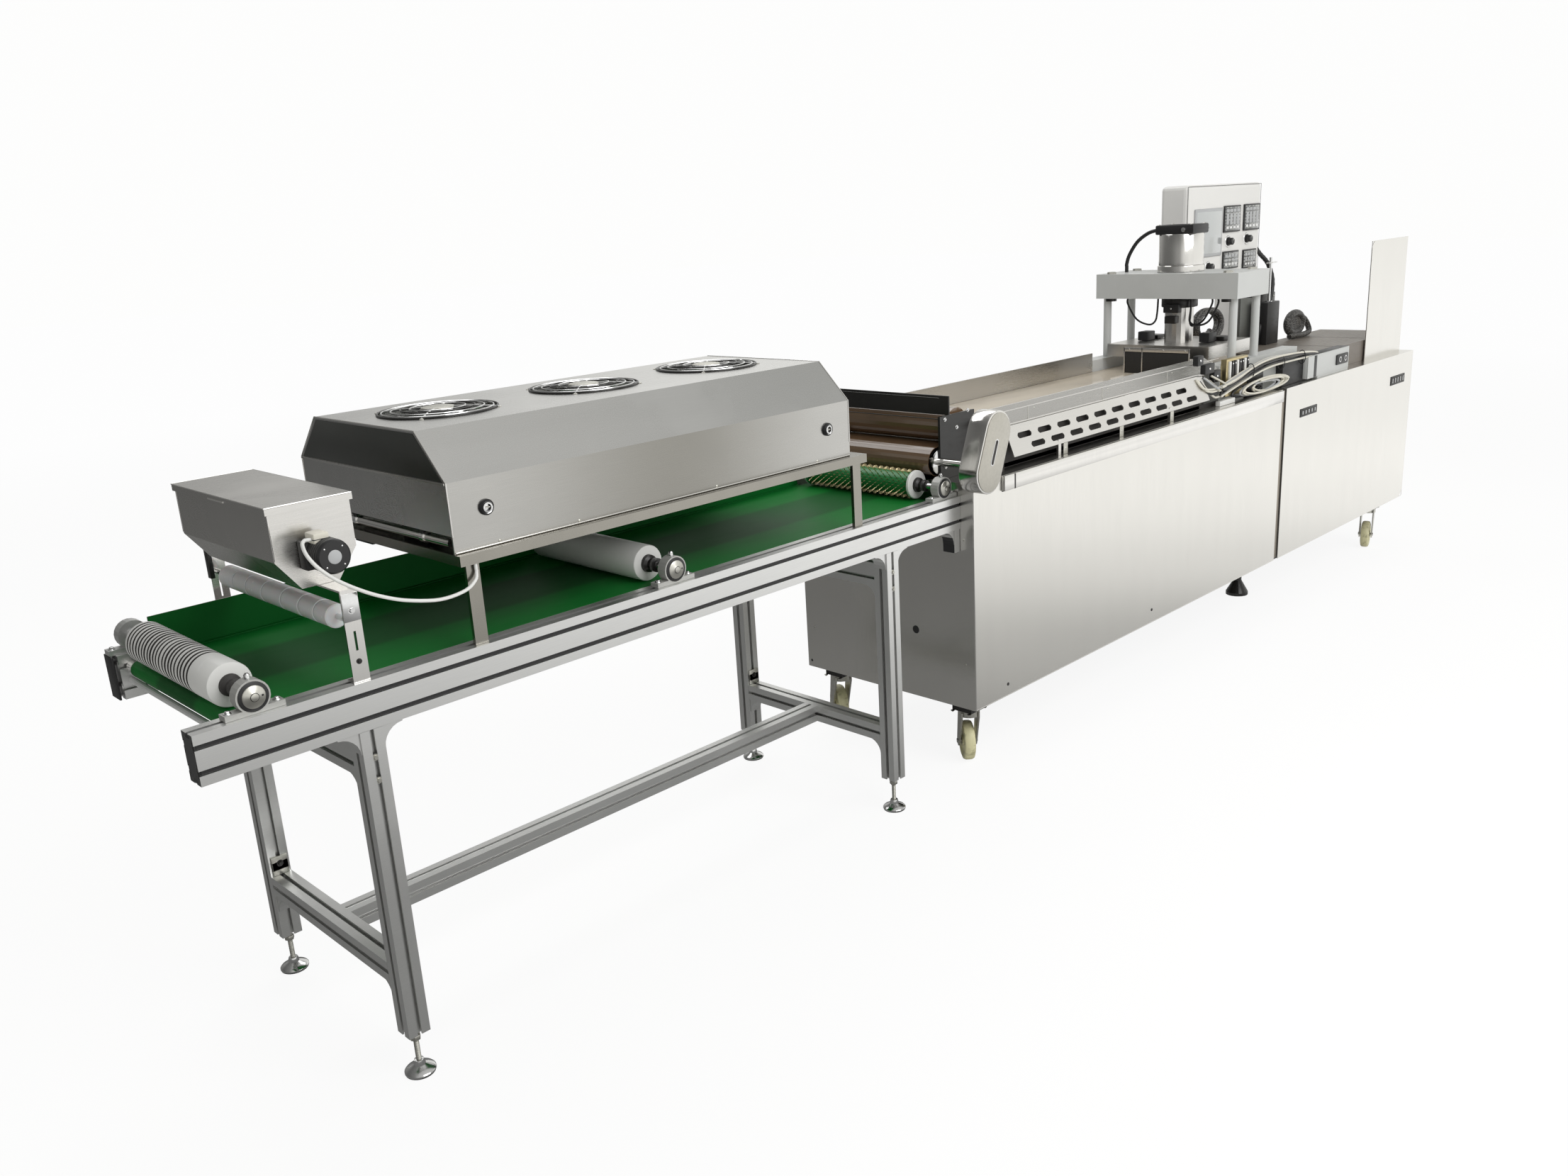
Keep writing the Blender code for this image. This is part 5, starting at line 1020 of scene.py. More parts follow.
def make_fan_guards():
    """Wire rings on spokes over each opening, with the motor's plate in the middle."""
    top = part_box("hood_shell")[1].z
    for number in (1, 2, 3):
        middle = pivot(f"fan_{number}_spin")
        guard = Piece("chrome_plate", "black_steel", "zinc_plate")
        for radius, wire, height, paint in (
            (0.1085, 0.0022, 0.0018, 1), (0.1010, 0.0016, 0.0030, 0), (0.0840, 0.0016, 0.0046, 0),
            (0.0670, 0.0016, 0.0058, 1), (0.0500, 0.0016, 0.0066, 0)
        ):
            ring = [
                (middle.x + radius * math.cos(a), middle.y + radius * math.sin(a), top + height)
                for a in (math.tau * i / 64 for i in range(64))
            ]
            guard.tube(ring, wire, 8, True, paint)
        for turn in range(4):
            angle = math.radians(45 + 90 * turn)
            out = Vector((math.cos(angle), math.sin(angle), 0))
            spoke = [
                Vector((middle.x, middle.y, top)) + out * reach + Vector((0, 0, rise)) for reach,
                rise in ((0.030, 0.0062), (0.070, 0.0050), (0.100, 0.0024), (0.113, 0.0010))
            ]
            guard.tube(spoke, 0.0020, 8, False, 0)
            guard.screw(spoke[-1] - Vector((0, 0, 0.0008)), (0, 0, 1), 0.0045, 2)
        guard.turned(
            [(0.006, 0.0092), (0.022, 0.0088), (0.0300, 0.0072), (0.0325, 0.0040), (0.0325, 0.0002)],
            (middle.x, middle.y, top), (0, 0, 1), 40, 2
        )
        guard.finish(f"fan_guard_{number}")
        # A dark disc below each opening is painted shade, the inside of the hood.
        shade_disc = Piece("dark_joint_and_shade")
        shade_disc.turned([(0.1150, -0.0290), (0.1150, -0.0300)], (middle.x, middle.y, top), (0, 0, 1), 48)
        shade_disc.finish(f"fan_shade_disc_{number}")


def make_hood_trim():
    """Cable glands, screws, the rolled edges, the seams and the end panels of the hood."""
    low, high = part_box("hood_shell")
    trim = Piece("chrome_plate", "black_plastic", "zinc_plate")
    for place in (0.069, 0.9105):
        spot = (low.x + place, low.y, low.z + 0.068)
        ring = [
            (0.0052, 0.0030, 1), (0.0060, 0.0074, 0), (0.0086, 0.0070, 1), (0.0092, 0.0046, 0),
            (0.0108, 0.0052, 1)
        ]
        trim.turned(
            ring + [(0.0120, 0.0060, 1), (0.0138, 0.0036, 1), (0.0138, 0, 1)], spot, (0, -1, 0), 36
        )
        trim.box(
            (spot[0] - 0.0055, spot[1] - 0.0062, spot[2] - 0.0012),
            (spot[0] + 0.0055, spot[1] - 0.0045, spot[2] + 0.0012), 0.0004, 2
        )
    for share in (0.09, 0.26, 0.60, 0.895):
        x = low.x + share * (high.x - low.x)
        trim.screw((x, low.y, low.z + 0.0055), (0, -1, 0), 0.0032, 2)
        trim.screw((x, high.y, low.z + 0.0055), (0, 1, 0), 0.0032, 2)
    trim.finish("hood_glands")
    edge = Piece("polished_stainless")
    for y in (low.y, high.y):
        rolled = [(x, y, low.z + 0.0018) for x in (low.x + 0.002, (low.x + high.x) / 2, high.x - 0.002)]
        edge.tube(rolled, 0.0018, 10)
    for x in (low.x, high.x):
        for side, turn in ((-1, 1), (1, -1)):
            bend = Vector((x, ORIGIN.y + 0.010 + side * 0.2600, 1.008))
            crown = bend + Vector((0, turn * 0.080, 0.080))
            edge.tube([(x, bend.y, low.z + 0.03), bend, crown], 0.0014, 8)
        edge.tube(
            [
                (x, ORIGIN.y + 0.010 - 0.180, high.z - 0.0004),
                (x, ORIGIN.y + 0.010 + 0.180, high.z - 0.0004)
            ],
            0.0014, 8
        )
    edge.finish("hood_edges")
    # The end trapezoids are painted dark grey as shade on the recessed end faces.
    ends = Piece("end_shade_and_dark_steel", "stainless_sheet")
    mid = ORIGIN.y + 0.010
    for x, out in ((low.x, -1), (high.x, 1)):
        outline = [
            (mid - 0.252, 1.0085), (mid + 0.252, 1.0085), (mid + 0.1745, 1.0835), (mid - 0.1745, 1.0835)
        ]
        ends.prism(outline, "x", (x + out * 0.0004, 0, 0), 0.0008, 0.0003)
        ends.box(
            (min(x, x + out * 0.003), mid - 0.2585, 1.0040),
            (max(x, x + out * 0.003), mid + 0.2585, 1.0080), 0.0008, 1
        )
    ends.finish("hood_end_panels")


def make_hood_inside():
    """Behind the open lower end: a clamped air tube, a motor box and a junction box."""
    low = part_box("hood_shell")[0]
    mid = ORIGIN.y + 0.010
    parts = Piece("polished_stainless", "black_plastic", "white_plastic", "chrome_plate")
    z = low.z + 0.014
    parts.tube(
        [
            (low.x + 0.012, mid - 0.235, z), (low.x + 0.012, mid - 0.020, z),
            (low.x + 0.012, mid + 0.225, z)
        ],
        0.0085, 20
    )
    for y in (mid - 0.150, mid + 0.090):
        parts.turned([(0.0105, 0.006), (0.0105, -0.006)], (low.x + 0.012, y, z), (0, 1, 0), 24, 3)
        parts.box(
            (low.x + 0.004, y - 0.004, z + 0.006), (low.x + 0.020, y + 0.004, z + 0.018), 0.001, 1
        )
    parts.box(
        (low.x + 0.028, mid - 0.120, low.z + 0.002), (low.x + 0.088, mid - 0.040, low.z + 0.028), 0.002,
        1
    )
    parts.box(
        (low.x + 0.024, mid + 0.010, low.z + 0.004), (low.x + 0.090, mid + 0.105, low.z + 0.026), 0.003,
        2
    )
    parts.box(
        (low.x + 0.060, mid - 0.225, low.z + 0.004), (low.x + 0.100, mid - 0.150, low.z + 0.024), 0.002,
        2
    )
    loop = [
        (low.x + 0.050, mid - 0.040, low.z + 0.014), (low.x + 0.046, mid - 0.020, low.z + 0.006),
        (low.x + 0.044, mid - 0.002, low.z + 0.006), (low.x + 0.050, mid + 0.012, low.z + 0.014)
    ]
    parts.tube(smooth_route(loop, 4), 0.0022, 8, False, 1)
    hang = line(0, 0, 0.8865).z
    # The wide black plate over the opening's top is painted shade, the dark inside of the hood.
    parts.box((low.x + 0.010, mid - 0.225, hang - 0.010), (low.x + 0.120, mid + 0.232, hang), 0.001, 1)
    for start, end, deep, number in (
        (-0.205, -0.150, 0.022, 1), (-0.140, -0.085, 0.026, 2), (-0.075, -0.035, 0.020, 1),
        (-0.025, 0.050, 0.024, 2), (0.060, 0.125, 0.030, 1), (0.135, 0.215, 0.020, 1)
    ):
        parts.box(
            (low.x + 0.016, mid + start, hang - deep), (low.x + 0.070, mid + end, hang - 0.008), 0.002,
            number
        )
    parts.finish("hood_inside_parts")


# ---------------------------------------------------------------- hopper and bridge


def make_hopper_trim():
    """Hinge leaves and corner folds on the hopper; the lid's folded edge and its grip."""
    low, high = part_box("hopper_body")
    lid_low, lid_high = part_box("hopper_lid")
    rim = Piece("polished_stainless", "zinc_plate")
    hinge = pivot("lid_hinge")
    for y in (lid_low.y + 0.050, (lid_low.y + lid_high.y) / 2, lid_high.y - 0.050):
        rim.box(
            (high.x - 0.0002, y - 0.015, hinge.z - 0.034),
            (high.x + 0.0012, y + 0.015, hinge.z - 0.016), 0.0004, 1
        )
        for step in (-0.009, 0.009):
            rim.screw((high.x + 0.0012, y + step, hinge.z - 0.026), (1, 0, 0), 0.0018, 1)
    for y in (low.y, high.y):
        rim.tube([(low.x, y, 0.932), (low.x, y, lid_low.z - 0.001)], 0.0011, 8)
    rim.finish("hopper_rims")
    fold = Piece("polished_stainless")
    corners = [
        (lid_low.x, lid_low.y, lid_high.z - 0.0008), (lid_low.x, lid_high.y, lid_high.z - 0.0008),
        (lid_high.x - 0.001, lid_high.y, lid_high.z - 0.0008),
        (lid_high.x - 0.001, lid_low.y, lid_high.z - 0.0008)
    ]
    for start, end in zip(corners, corners[1:] + corners[:1]):
        fold.tube([start, end], 0.0010, 8)
    grip = [
        (lid_low.x + 0.0005, (lid_low.y + lid_high.y) / 2 - 0.030, lid_low.z + 0.004),
        (lid_low.x + 0.0005, (lid_low.y + lid_high.y) / 2 + 0.030, lid_low.z + 0.004)
    ]
    fold.tube(grip, 0.0018, 8)
    fold.finish("lid_folds", "lid_body")


def make_motor():
    """Ribbed round motor on its square gearbox, with a pale shaft cap and a cream terminal box."""
    low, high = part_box("dosing_motor")
    feed = pivot("feed_shaft_spin")
    motor = Piece("black_plastic", "light_grey", "cream_plastic", "chrome_plate")
    back, front = high.y, low.y
    box_low, box_high = feed.z - 0.023, feed.z + 0.023
    motor.box((feed.x - 0.029, back - 0.024, box_low), (feed.x + 0.017, back, box_high), 0.0035)
    profile = [(0.0245, front + 0.0005), (0.0272, front + 0.0030)]
    for rib in range(7):
        at = front + 0.0060 + rib * 0.0060
        profile += [(0.0278, at), (0.0278, at + 0.0030), (0.0262, at + 0.0035), (0.0262, at + 0.0055)]
    profile += [(0.0262, back - 0.0200)]
    motor.turned([(r, -y) for r, y in profile], (feed.x, 0, feed.z), (0, -1, 0), 48)
    motor.turned(
        [(0.0095, 0.0016), (0.0110, 0.0008), (0.0110, -0.0004)], (feed.x, front + 0.0006, feed.z),
        (0, -1, 0), 32, 1
    )
    for turn in range(4):
        angle = math.radians(45 + 90 * turn)
        spot = (feed.x + 0.0205 * math.cos(angle), front + 0.0010, feed.z + 0.0205 * math.sin(angle))
        motor.screw(spot, (0, -1, 0), 0.0018, 3)
    motor.box(
        (feed.x - 0.0198, back - 0.0438, box_high - 0.003),
        (feed.x + 0.0058, back - 0.0122, high.z - 0.0002), 0.003, 2
    )
    motor.box(
        (feed.x - 0.0202, back - 0.044, box_high + 0.0035),
        (feed.x + 0.0060, back - 0.012, box_high + 0.0050), 0.0004, 0
    )
    made = motor.finish("dosing_motor_detail")
    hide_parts("dosing_motor")


def make_bridge_trim():
    """Bolts on the bridge's uprights and feet, and the far bracket's black clamp."""
    low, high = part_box("hopper_bridge")
    x = (low.x + high.x) / 2
    trim = Piece("chrome_plate", "black_steel")
    for y, side in ((low.y, -1), (high.y, 1)):
        trim.bolt((x, y, low.z + 0.118), (0, side, 0), 0.0058)
        trim.bolt((x, y + side * 0.0004, low.z + 0.034), (0, side, 0), 0.0040, 1)
        trim.bolt((x, y - side * 0.0110, low.z + 0.003), (0, 0, 1), 0.0045)
    trim.box(
        (low.x - 0.004, high.y - 0.012, low.z + 0.090), (low.x + 0.004, high.y + 0.002, high.z - 0.004),
        0.001, 1
    )
    trim.box(
        (x - 0.0135, low.y - 0.0010, low.z + 0.100), (x + 0.0135, low.y + 0.0002, high.z - 0.006),
        0.0004, 0
    )
    trim.finish("bridge_bolts")


# ---------------------------------------------------------------- outlet and drive


def make_outlet_trim():
    """Bolts on the outlet's side plates, and two dark lines along its edges."""
    trim = Piece("chrome_plate", "black_steel")
    for x, z in ((1.834, 0.790), (1.834, 0.905), (1.925, 0.790), (1.925, 0.915), (1.880, 0.880)):
        for side in (-1, 1):
            trim.bolt(line(x, side * 0.2081, z), (0, side, 0), 0.0045)
    trim.tube([line(1.8155, -0.205, 0.9585), line(1.8155, 0.205, 0.9585)], 0.0012, 8, False, 1)
    trim.tube([line(1.8155, -0.205, 0.9085), line(1.8155, 0.205, 0.9085)], 0.0010, 8, False, 1)
    trim.finish("outlet_bolts")


def make_drum_end():
    """A hub and a washer where the head drum's shaft comes through the near plate."""
    middle = pivot("head_drum_spin")
    end = Piece("chrome_plate", "black_steel")
    for y, out in ((line(0, -0.2012, 0).y, -1), (line(0, 0.2012, 0).y, 1)):
        end.turned(
            [(0.010, 0.0022), (0.026, 0.0018), (0.030, 0.0006), (0.030, 0)], (middle.x, y, middle.z),
            (0, out, 0), 40, 0
        )
    end.finish("head_drum_hubs", "head_drum_body")


def make_drive_cover():
    """A round-cornered cover: polished rim, satin front with a slotted grip, and its screws."""
    low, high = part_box("drive_cover")
    tilt = math.radians(22)
    half, radius, front, back = 0.0500, 0.0495, low.y, high.y
    middle = Vector(((low.x + high.x) / 2, 0, (low.z + high.z) / 2))
    up = Vector((math.sin(tilt), 0, math.cos(tilt)))
    side = Vector((math.cos(tilt), 0, -math.sin(tilt)))

    def loop(reach, length, steps=15):
        points = []
        for end, start in ((1, 0), (-1, 180)):
            for step in range(steps):
                turn = math.radians(start + 180 * step / (steps - 1))
                spot = middle + up * end * length
                spot = spot + side * reach * math.cos(turn) + up * reach * math.sin(turn)
                points.append((spot.x, spot.z))
        return points

    cover = Piece("cover_front", "polished_stainless", "dark_joint_and_shade", "chrome_plate")
    cover.prism(
        loop(radius - 0.0002, half), "y", (0, (front + back) / 2 + 0.0012, 0), back - front - 0.0030,
        0.0022, 1
    )
    cover.prism(loop(radius - 0.0045, half), "y", (0, front + 0.0018, 0), 0.0022, 0.0006, 0)
    cover.prism(loop(0.0065, 0.0260), "y", (0, front + 0.0006, 0), 0.0008, 0.0002, 3)
    # The slot's dark plate is painted shade inside the grip.
    cover.prism(loop(0.0045, 0.0250), "y", (0, front + 0.0004, 0), 0.0006, 0, 2)
    cover.tube(
        [
            middle + up * end * 0.024 + side * 0.0005 + Vector((0, front + 0.0014 - middle.y, 0))
            for end in (-1, 1)
        ],
        0.0012, 8, False, 3
    )
    for place in (-0.080, 0.080):
        spot = middle + up * place
        cover.screw((spot.x, front + 0.0030, spot.z), (0, -1, 0), 0.0032, 3)
    made = cover.finish("drive_cover_detail", angle=30)
    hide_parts("drive_cover")


def make_vent_trim():
    """Screws, hangers and a folded edge on the slotted heat cover, and dark plates behind it, painted shade."""
    low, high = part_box("vent_cover")
    trim = Piece("zinc_plate", "polished_stainless")
    count = 6
    for number in range(count):
        x = low.x + 0.04 + (high.x - low.x - 0.08) * number / (count - 1)
        trim.screw((x, line(0, -0.2552, 0).y, high.z - 0.006), (0, -1, 0), 0.0030)
    for x in (2.24, 2.52, 2.80):
        trim.box(line(x - 0.010, -0.2866, 0.7605), line(x + 0.010, -0.2852, 0.790), 0.0004)
        trim.screw(line(x, -0.2866, 0.776), (0, -1, 0), 0.0032)
    trim.tube(
        [(low.x, high.y, high.z - 0.0006), (high.x, high.y, high.z - 0.0006)], 0.0010, 8, False, 1
    )
    trim.finish("vent_screws")
    # Dark plates behind the cover's slots and along its foot are painted shade.
    dark = Piece("dark_joint_and_shade")
    dark.box(line(2.0115, -0.2538, 0.7608), line(3.0285, -0.2518, 0.8595), 0.0004)
    dark.box(line(1.9650, -0.2538, 0.7604), line(3.1500, -0.2518, 0.7720), 0.0004)
    dark.finish("vent_shade_backing")


def make_trough_trim():
    """Rolled lips along the trough, and the catches on its near flank."""
    low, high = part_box("oven_trough")
    trim = Piece("polished_stainless", "zinc_plate")
    for y in (low.y + 0.0014, high.y - 0.0014):
        trim.tube(
            [(low.x + 0.004, y, high.z - 0.0010), (high.x - 0.004, y, high.z - 0.0010)], 0.0014, 10
        )
    for x in (2.12, 2.476, 2.83, 3.08):
        trim.box(line(x - 0.0012, -0.2512, 0.866), line(x + 0.0012, -0.2502, 0.899), 0.0004, 1)
        trim.screw(line(x + 0.03, -0.2504, 0.892), (0, -1, 0), 0.0026, 1)
    trim.finish("trough_lips")


# ---------------------------------------------------------------- cabinets


def make_cabinet_trim():
    """The folded lip under the deck, the joint's cover strip, plugs and barred plates."""
    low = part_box("main_cabinet")[0]
    trim = Piece("polished_stainless", "dark_joint_and_shade", "zinc_plate")
    near = low.y
    left, right, top = line(1.930, 0, 0).x, line(3.494, 0, 0).x, 0.7595
    tab = (line(1.9705, 0, 0).x, line(1.9760, 0, 0).x)
    trim.box((left, near - 0.0085, 0.7215), (right, near + 0.0002, top), 0.0022)
    trim.box((tab[0], near - 0.0088, 0.722), (tab[1], near - 0.0080, 0.759), 0, 1)
    trim.box((low.x + 0.0005, near - 0.0010, low.z), (low.x + 0.0030, near + 0.0002, top), 0.0005)
    # A dark strip under the lip is painted shadow.
    trim.box((left, near - 0.0012, 0.7200), (right, near + 0.0002, 0.7216), 0, 1)
    trim.finish("deck_lip")
    seam = Piece("seam_strip", "dark_joint_and_shade", "zinc_plate")
    left, right = line(3.4995, 0, 0).x, line(3.5305, 0, 0).x
    seam.box(
        (left - 0.0035, near + 0.0002, low.z + 0.004), (left - 0.0005, near + 0.004, 0.758), 0.0004, 1
    )
    seam.box(
        (right + 0.0005, near + 0.0002, low.z + 0.004), (right + 0.0035, near + 0.004, 0.758), 0.0004, 1
    )
    seam.box(
        (left + 0.0006, near + 0.0030, low.z + 0.006), (right - 0.0060, near + 0.0060, 0.755), 0.0004, 0
    )
    seam.finish("cabinet_seam")
    dots = Piece("black_plastic", "zinc_plate", "dark_joint_and_shade")
    for x, z in ((2.678, 0.222), (1.950, 0.213)):
        dots.turned(
            [(0.0030, 0.0012), (0.0042, 0.0008), (0.0045, 0)], (line(x, 0, 0).x, near, z), (0, -1, 0),
            20
        )
    left_face = (-1, 0, 0)
    plug = line(1.812, -0.119, 0.363)
    dots.turned(
        [(0.0040, 0.0016), (0.0095, 0.0014), (0.0115, 0)], plug + Vector((0.0006, 0, 0)), left_face, 32
    )
    dots.turned([(0.0030, 0.0014), (0.0045, 0)], line(1.8126, 0.258, 0.200), left_face, 20)
    dots.finish("cabinet_plugs")
    plates = Piece("black_plastic", "dark_joint_and_shade", "light_grey")
    for x0, x1, z0, z1 in ((3.645, 3.778, 0.647, 0.675), (4.450, 4.588, 0.648, 0.682)):
        start, end = line(x0, 0, z0), line(x1, 0, z1)
        plates.box((start.x, near - 0.0020, start.z), (end.x, near + 0.0002, end.z), 0.0012)
        # The dark plate between the bars is painted shade in the openings.
        plates.box(
            (start.x + 0.006, near - 0.0024, start.z + 0.005),
            (end.x - 0.006, near - 0.0018, end.z - 0.005), 0.0002, 1
        )
        for number in range(5):
            x = start.x + 0.018 + (end.x - start.x - 0.036) * number / 4
            plates.box(
                (x - 0.004, near - 0.0030, start.z + 0.008), (x + 0.004, near - 0.0022, end.z - 0.008),
                0.0004, 2
            )
    plates.finish("cabinet_handles")


def make_cabinet_hems():
    """Folded bottom and corner edges of both cabinets, and the screws of the service panels."""
    hems = Piece("polished_stainless", "zinc_plate")
    for name in ("main_cabinet", "infeed_cabinet"):
        low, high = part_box(name)
        top = line(0, 0, 0.7590).z
        for y in (low.y + 0.0009, high.y - 0.0009):
            hems.tube(
                [(low.x + 0.002, y, low.z + 0.0014), (high.x - 0.002, y, low.z + 0.0014)], 0.0012, 8
            )
        for x in (low.x + 0.0009, high.x - 0.0013):
            for y in (low.y + 0.0009, high.y - 0.0009):
                hems.tube([(x, y, low.z + 0.002), (x, y, top)], 0.0012, 8)
        for share in (0.12, 0.5, 0.88):
            x = low.x + share * (high.x - low.x)
            hems.screw((x, high.y, 0.70), (0, 1, 0), 0.0034, 1)
            hems.screw((x, high.y, 0.22), (0, 1, 0), 0.0034, 1)
    low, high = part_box("main_cabinet")
    for z in (0.30, 0.62):
        for y in (low.y + 0.03, high.y - 0.03):
            hems.screw((low.x, y, z), (-1, 0, 0), 0.0030, 1)
    hems.finish("cabinet_hems")
    service = Piece("dark_joint_and_shade", "stainless_sheet", "zinc_plate")
    for name, start, end in (
        ("main_cabinet", 0.10, 0.46), ("main_cabinet", 0.54, 0.90), ("infeed_cabinet", 0.10, 0.90)
    ):
        low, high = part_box(name)
        x0 = low.x + start * (high.x - low.x)
        x1 = low.x + end * (high.x - low.x)
        service.box((x0, high.y - 0.0002, 0.26), (x1, high.y + 0.0012, 0.66), 0.0008, 1)
        for x in (x0 + 0.02, (x0 + x1) / 2, x1 - 0.02):
            for z in (0.28, 0.64):
                service.screw((x, high.y + 0.0012, z), (0, 1, 0), 0.0036, 2)
        # The louvre slots are dark boxes, painted shade in the openings.
        for number in range(12):
            x = (x0 + x1) / 2 + (number - 5.5) * 0.012
            service.box(
                (x - 0.0025, high.y + 0.0008, 0.42), (x + 0.0025, high.y + 0.0016, 0.50), 0.0006, 0
            )
    service.finish("service_panels")


# ---------------------------------------------------------------- press


def make_cylinder():
    """Bright barrel between end plates, with an air port and a black head."""
    low, high, middle = box_and_middle("press_cylinder")
    barrel = Piece("polished_stainless", "black_plastic", "chrome_plate", "zinc_plate")
    height = high.z - low.z
    radius = (high.x - low.x) / 2
    barrel.turned(
        [
            (radius * 0.80, height - 0.028, 0), (radius - 0.006, height - 0.029, 0),
            (radius - 0.0045, height - 0.031, 0), (radius - 0.0045, 0.022, 0),
            (radius - 0.0010, 0.020, 0), (radius - 0.0004, 0.018, 0), (radius - 0.0004, 0.0012, 0),
            (radius - 0.0016, 0.0002, 0)
        ],
        (middle.x, middle.y, low.z), (0, 0, 1), 64
    )
    barrel.box(
        (middle.x - 0.053, middle.y - 0.067, high.z - 0.0300),
        (middle.x + 0.053, middle.y + 0.067, high.z - 0.0002), 0.0045, 1
    )
    barrel.box(
        (middle.x - 0.0535, middle.y - 0.0675, high.z - 0.0170),
        (middle.x + 0.0535, middle.y + 0.0675, high.z - 0.0150), 0.0004, 1
    )
    for x in (-1, 1):
        for y in (-1, 1):
            barrel.screw(
                (middle.x + x * 0.044, middle.y + y * 0.056, high.z - 0.0002), (0, 0, 1), 0.0048, 3
            )
    barrel.turned(
        [(0.0050, 0.0068), (0.0072, 0.0062), (0.0072, 0)],
        (middle.x - 0.053, middle.y - 0.035, high.z - 0.016), (-1, 0, 0), 20, 2
    )
    made = barrel.finish("press_cylinder_detail")
    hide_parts("press_cylinder")


def make_press_trim():
    """Nuts over the columns, sleeves below the plate and rings on the deck."""
    trim = Piece("zinc_plate", "black_steel", "chrome_plate")
    for x in (3.259 + 0.026, 3.477 - 0.026):
        for y in (-0.205, 0.205):
            trim.turned(
                [(0.0100, 0.0070), (0.0140, 0.0062), (0.0150, 0)], line(x, y, 1.1488), (0, 0, 1), 6
            )
            trim.turned(
                [(0.0165, 0.004), (0.0178, 0.003), (0.0178, -0.006)], line(x, y, 1.066), (0, 0, 1), 32,
                1
            )
            trim.turned(
                [(0.0190, 0.006), (0.0200, 0.004), (0.0200, 0)], line(x, y, 0.7604), (0, 0, 1), 32
            )
    trim.finish("column_sleeves")


def make_press_mouth():
    """A steel strip over two dark panels, painted shade in the openings where the baking belt leaves the press."""
    made = Piece("rubber", "stainless_sheet", "zinc_plate")
    for start, end in ((-0.146, 0.0125), (0.0165, 0.0760)):
        made.box(line(3.1575, start, 0.8420), line(3.1595, end, 0.9110), 0.0006)
    for y in (0.0125, -0.1500, 0.0760):
        made.box(line(3.1560, y, 0.8410), line(3.1598, y + 0.0040, 0.9240), 0.0006, 1)
    made.box(line(3.1560, -0.1500, 0.9110), line(3.1598, 0.0800, 0.9240), 0.0008, 1)
    for y in (-0.135, -0.060, 0.060):
        made.screw(line(3.1560, y, 0.9175), (-1, 0, 0), 0.0030, 2)
    made.finish("press_mouth_shade")


def make_ram_trim():
    """Black collar round the ram with its screws, and its heater's terminal boxes."""
    _, high, middle = box_and_middle("press_ram")
    trim = Piece("black_steel", "chrome_plate", "black_plastic", "cream_plastic")
    plate_top = line(0, 0, 0.926).z
    trim.turned(
        [
            (0.0475, 0.008), (0.0560, 0.006), (0.0575, 0.004), (0.0575, -0.022), (0.0560, -0.024),
            (0.0475, -0.026)
        ],
        (middle.x, middle.y, high.z - 0.088), (0, 0, 1), 48
    )
    for turn in range(6):
        angle = math.radians(60 * turn + 20)
        spot = (
            middle.x + 0.0520 * math.cos(angle), middle.y + 0.0520 * math.sin(angle), high.z - 0.080
        )
        trim.screw(spot, (0, 0, 1), 0.0034, 1)
    for side in (-1, 1):
        y = middle.y + side * 0.092
        trim.box(
            (middle.x - 0.040, min(y, y + side * 0.036), plate_top),
            (middle.x + 0.012, max(y, y + side * 0.036), plate_top + 0.030), 0.003, 2
        )
        trim.box(
            (middle.x + 0.030, min(y, y + side * 0.052), plate_top),
            (middle.x + 0.082, max(y, y + side * 0.052), plate_top + 0.012), 0.002, 0
        )
        trim.screw((middle.x - 0.030, y + side * 0.018, plate_top + 0.030), (0, 0, 1), 0.0030, 1)
    trim.box(
        (middle.x - 0.066, middle.y - 0.030, high.z - 0.128),
        (middle.x - 0.040, middle.y + 0.024, high.z - 0.100), 0.003, 2
    )
    trim.box(
        (middle.x - 0.070, middle.y - 0.022, high.z - 0.162),
        (middle.x - 0.042, middle.y + 0.016, high.z - 0.138), 0.002, 0
    )
    trim.screw((middle.x - 0.066, middle.y - 0.004, high.z - 0.114), (-1, 0, 0), 0.0030, 1)
    trim.finish("ram_collar", "press_ram_body")


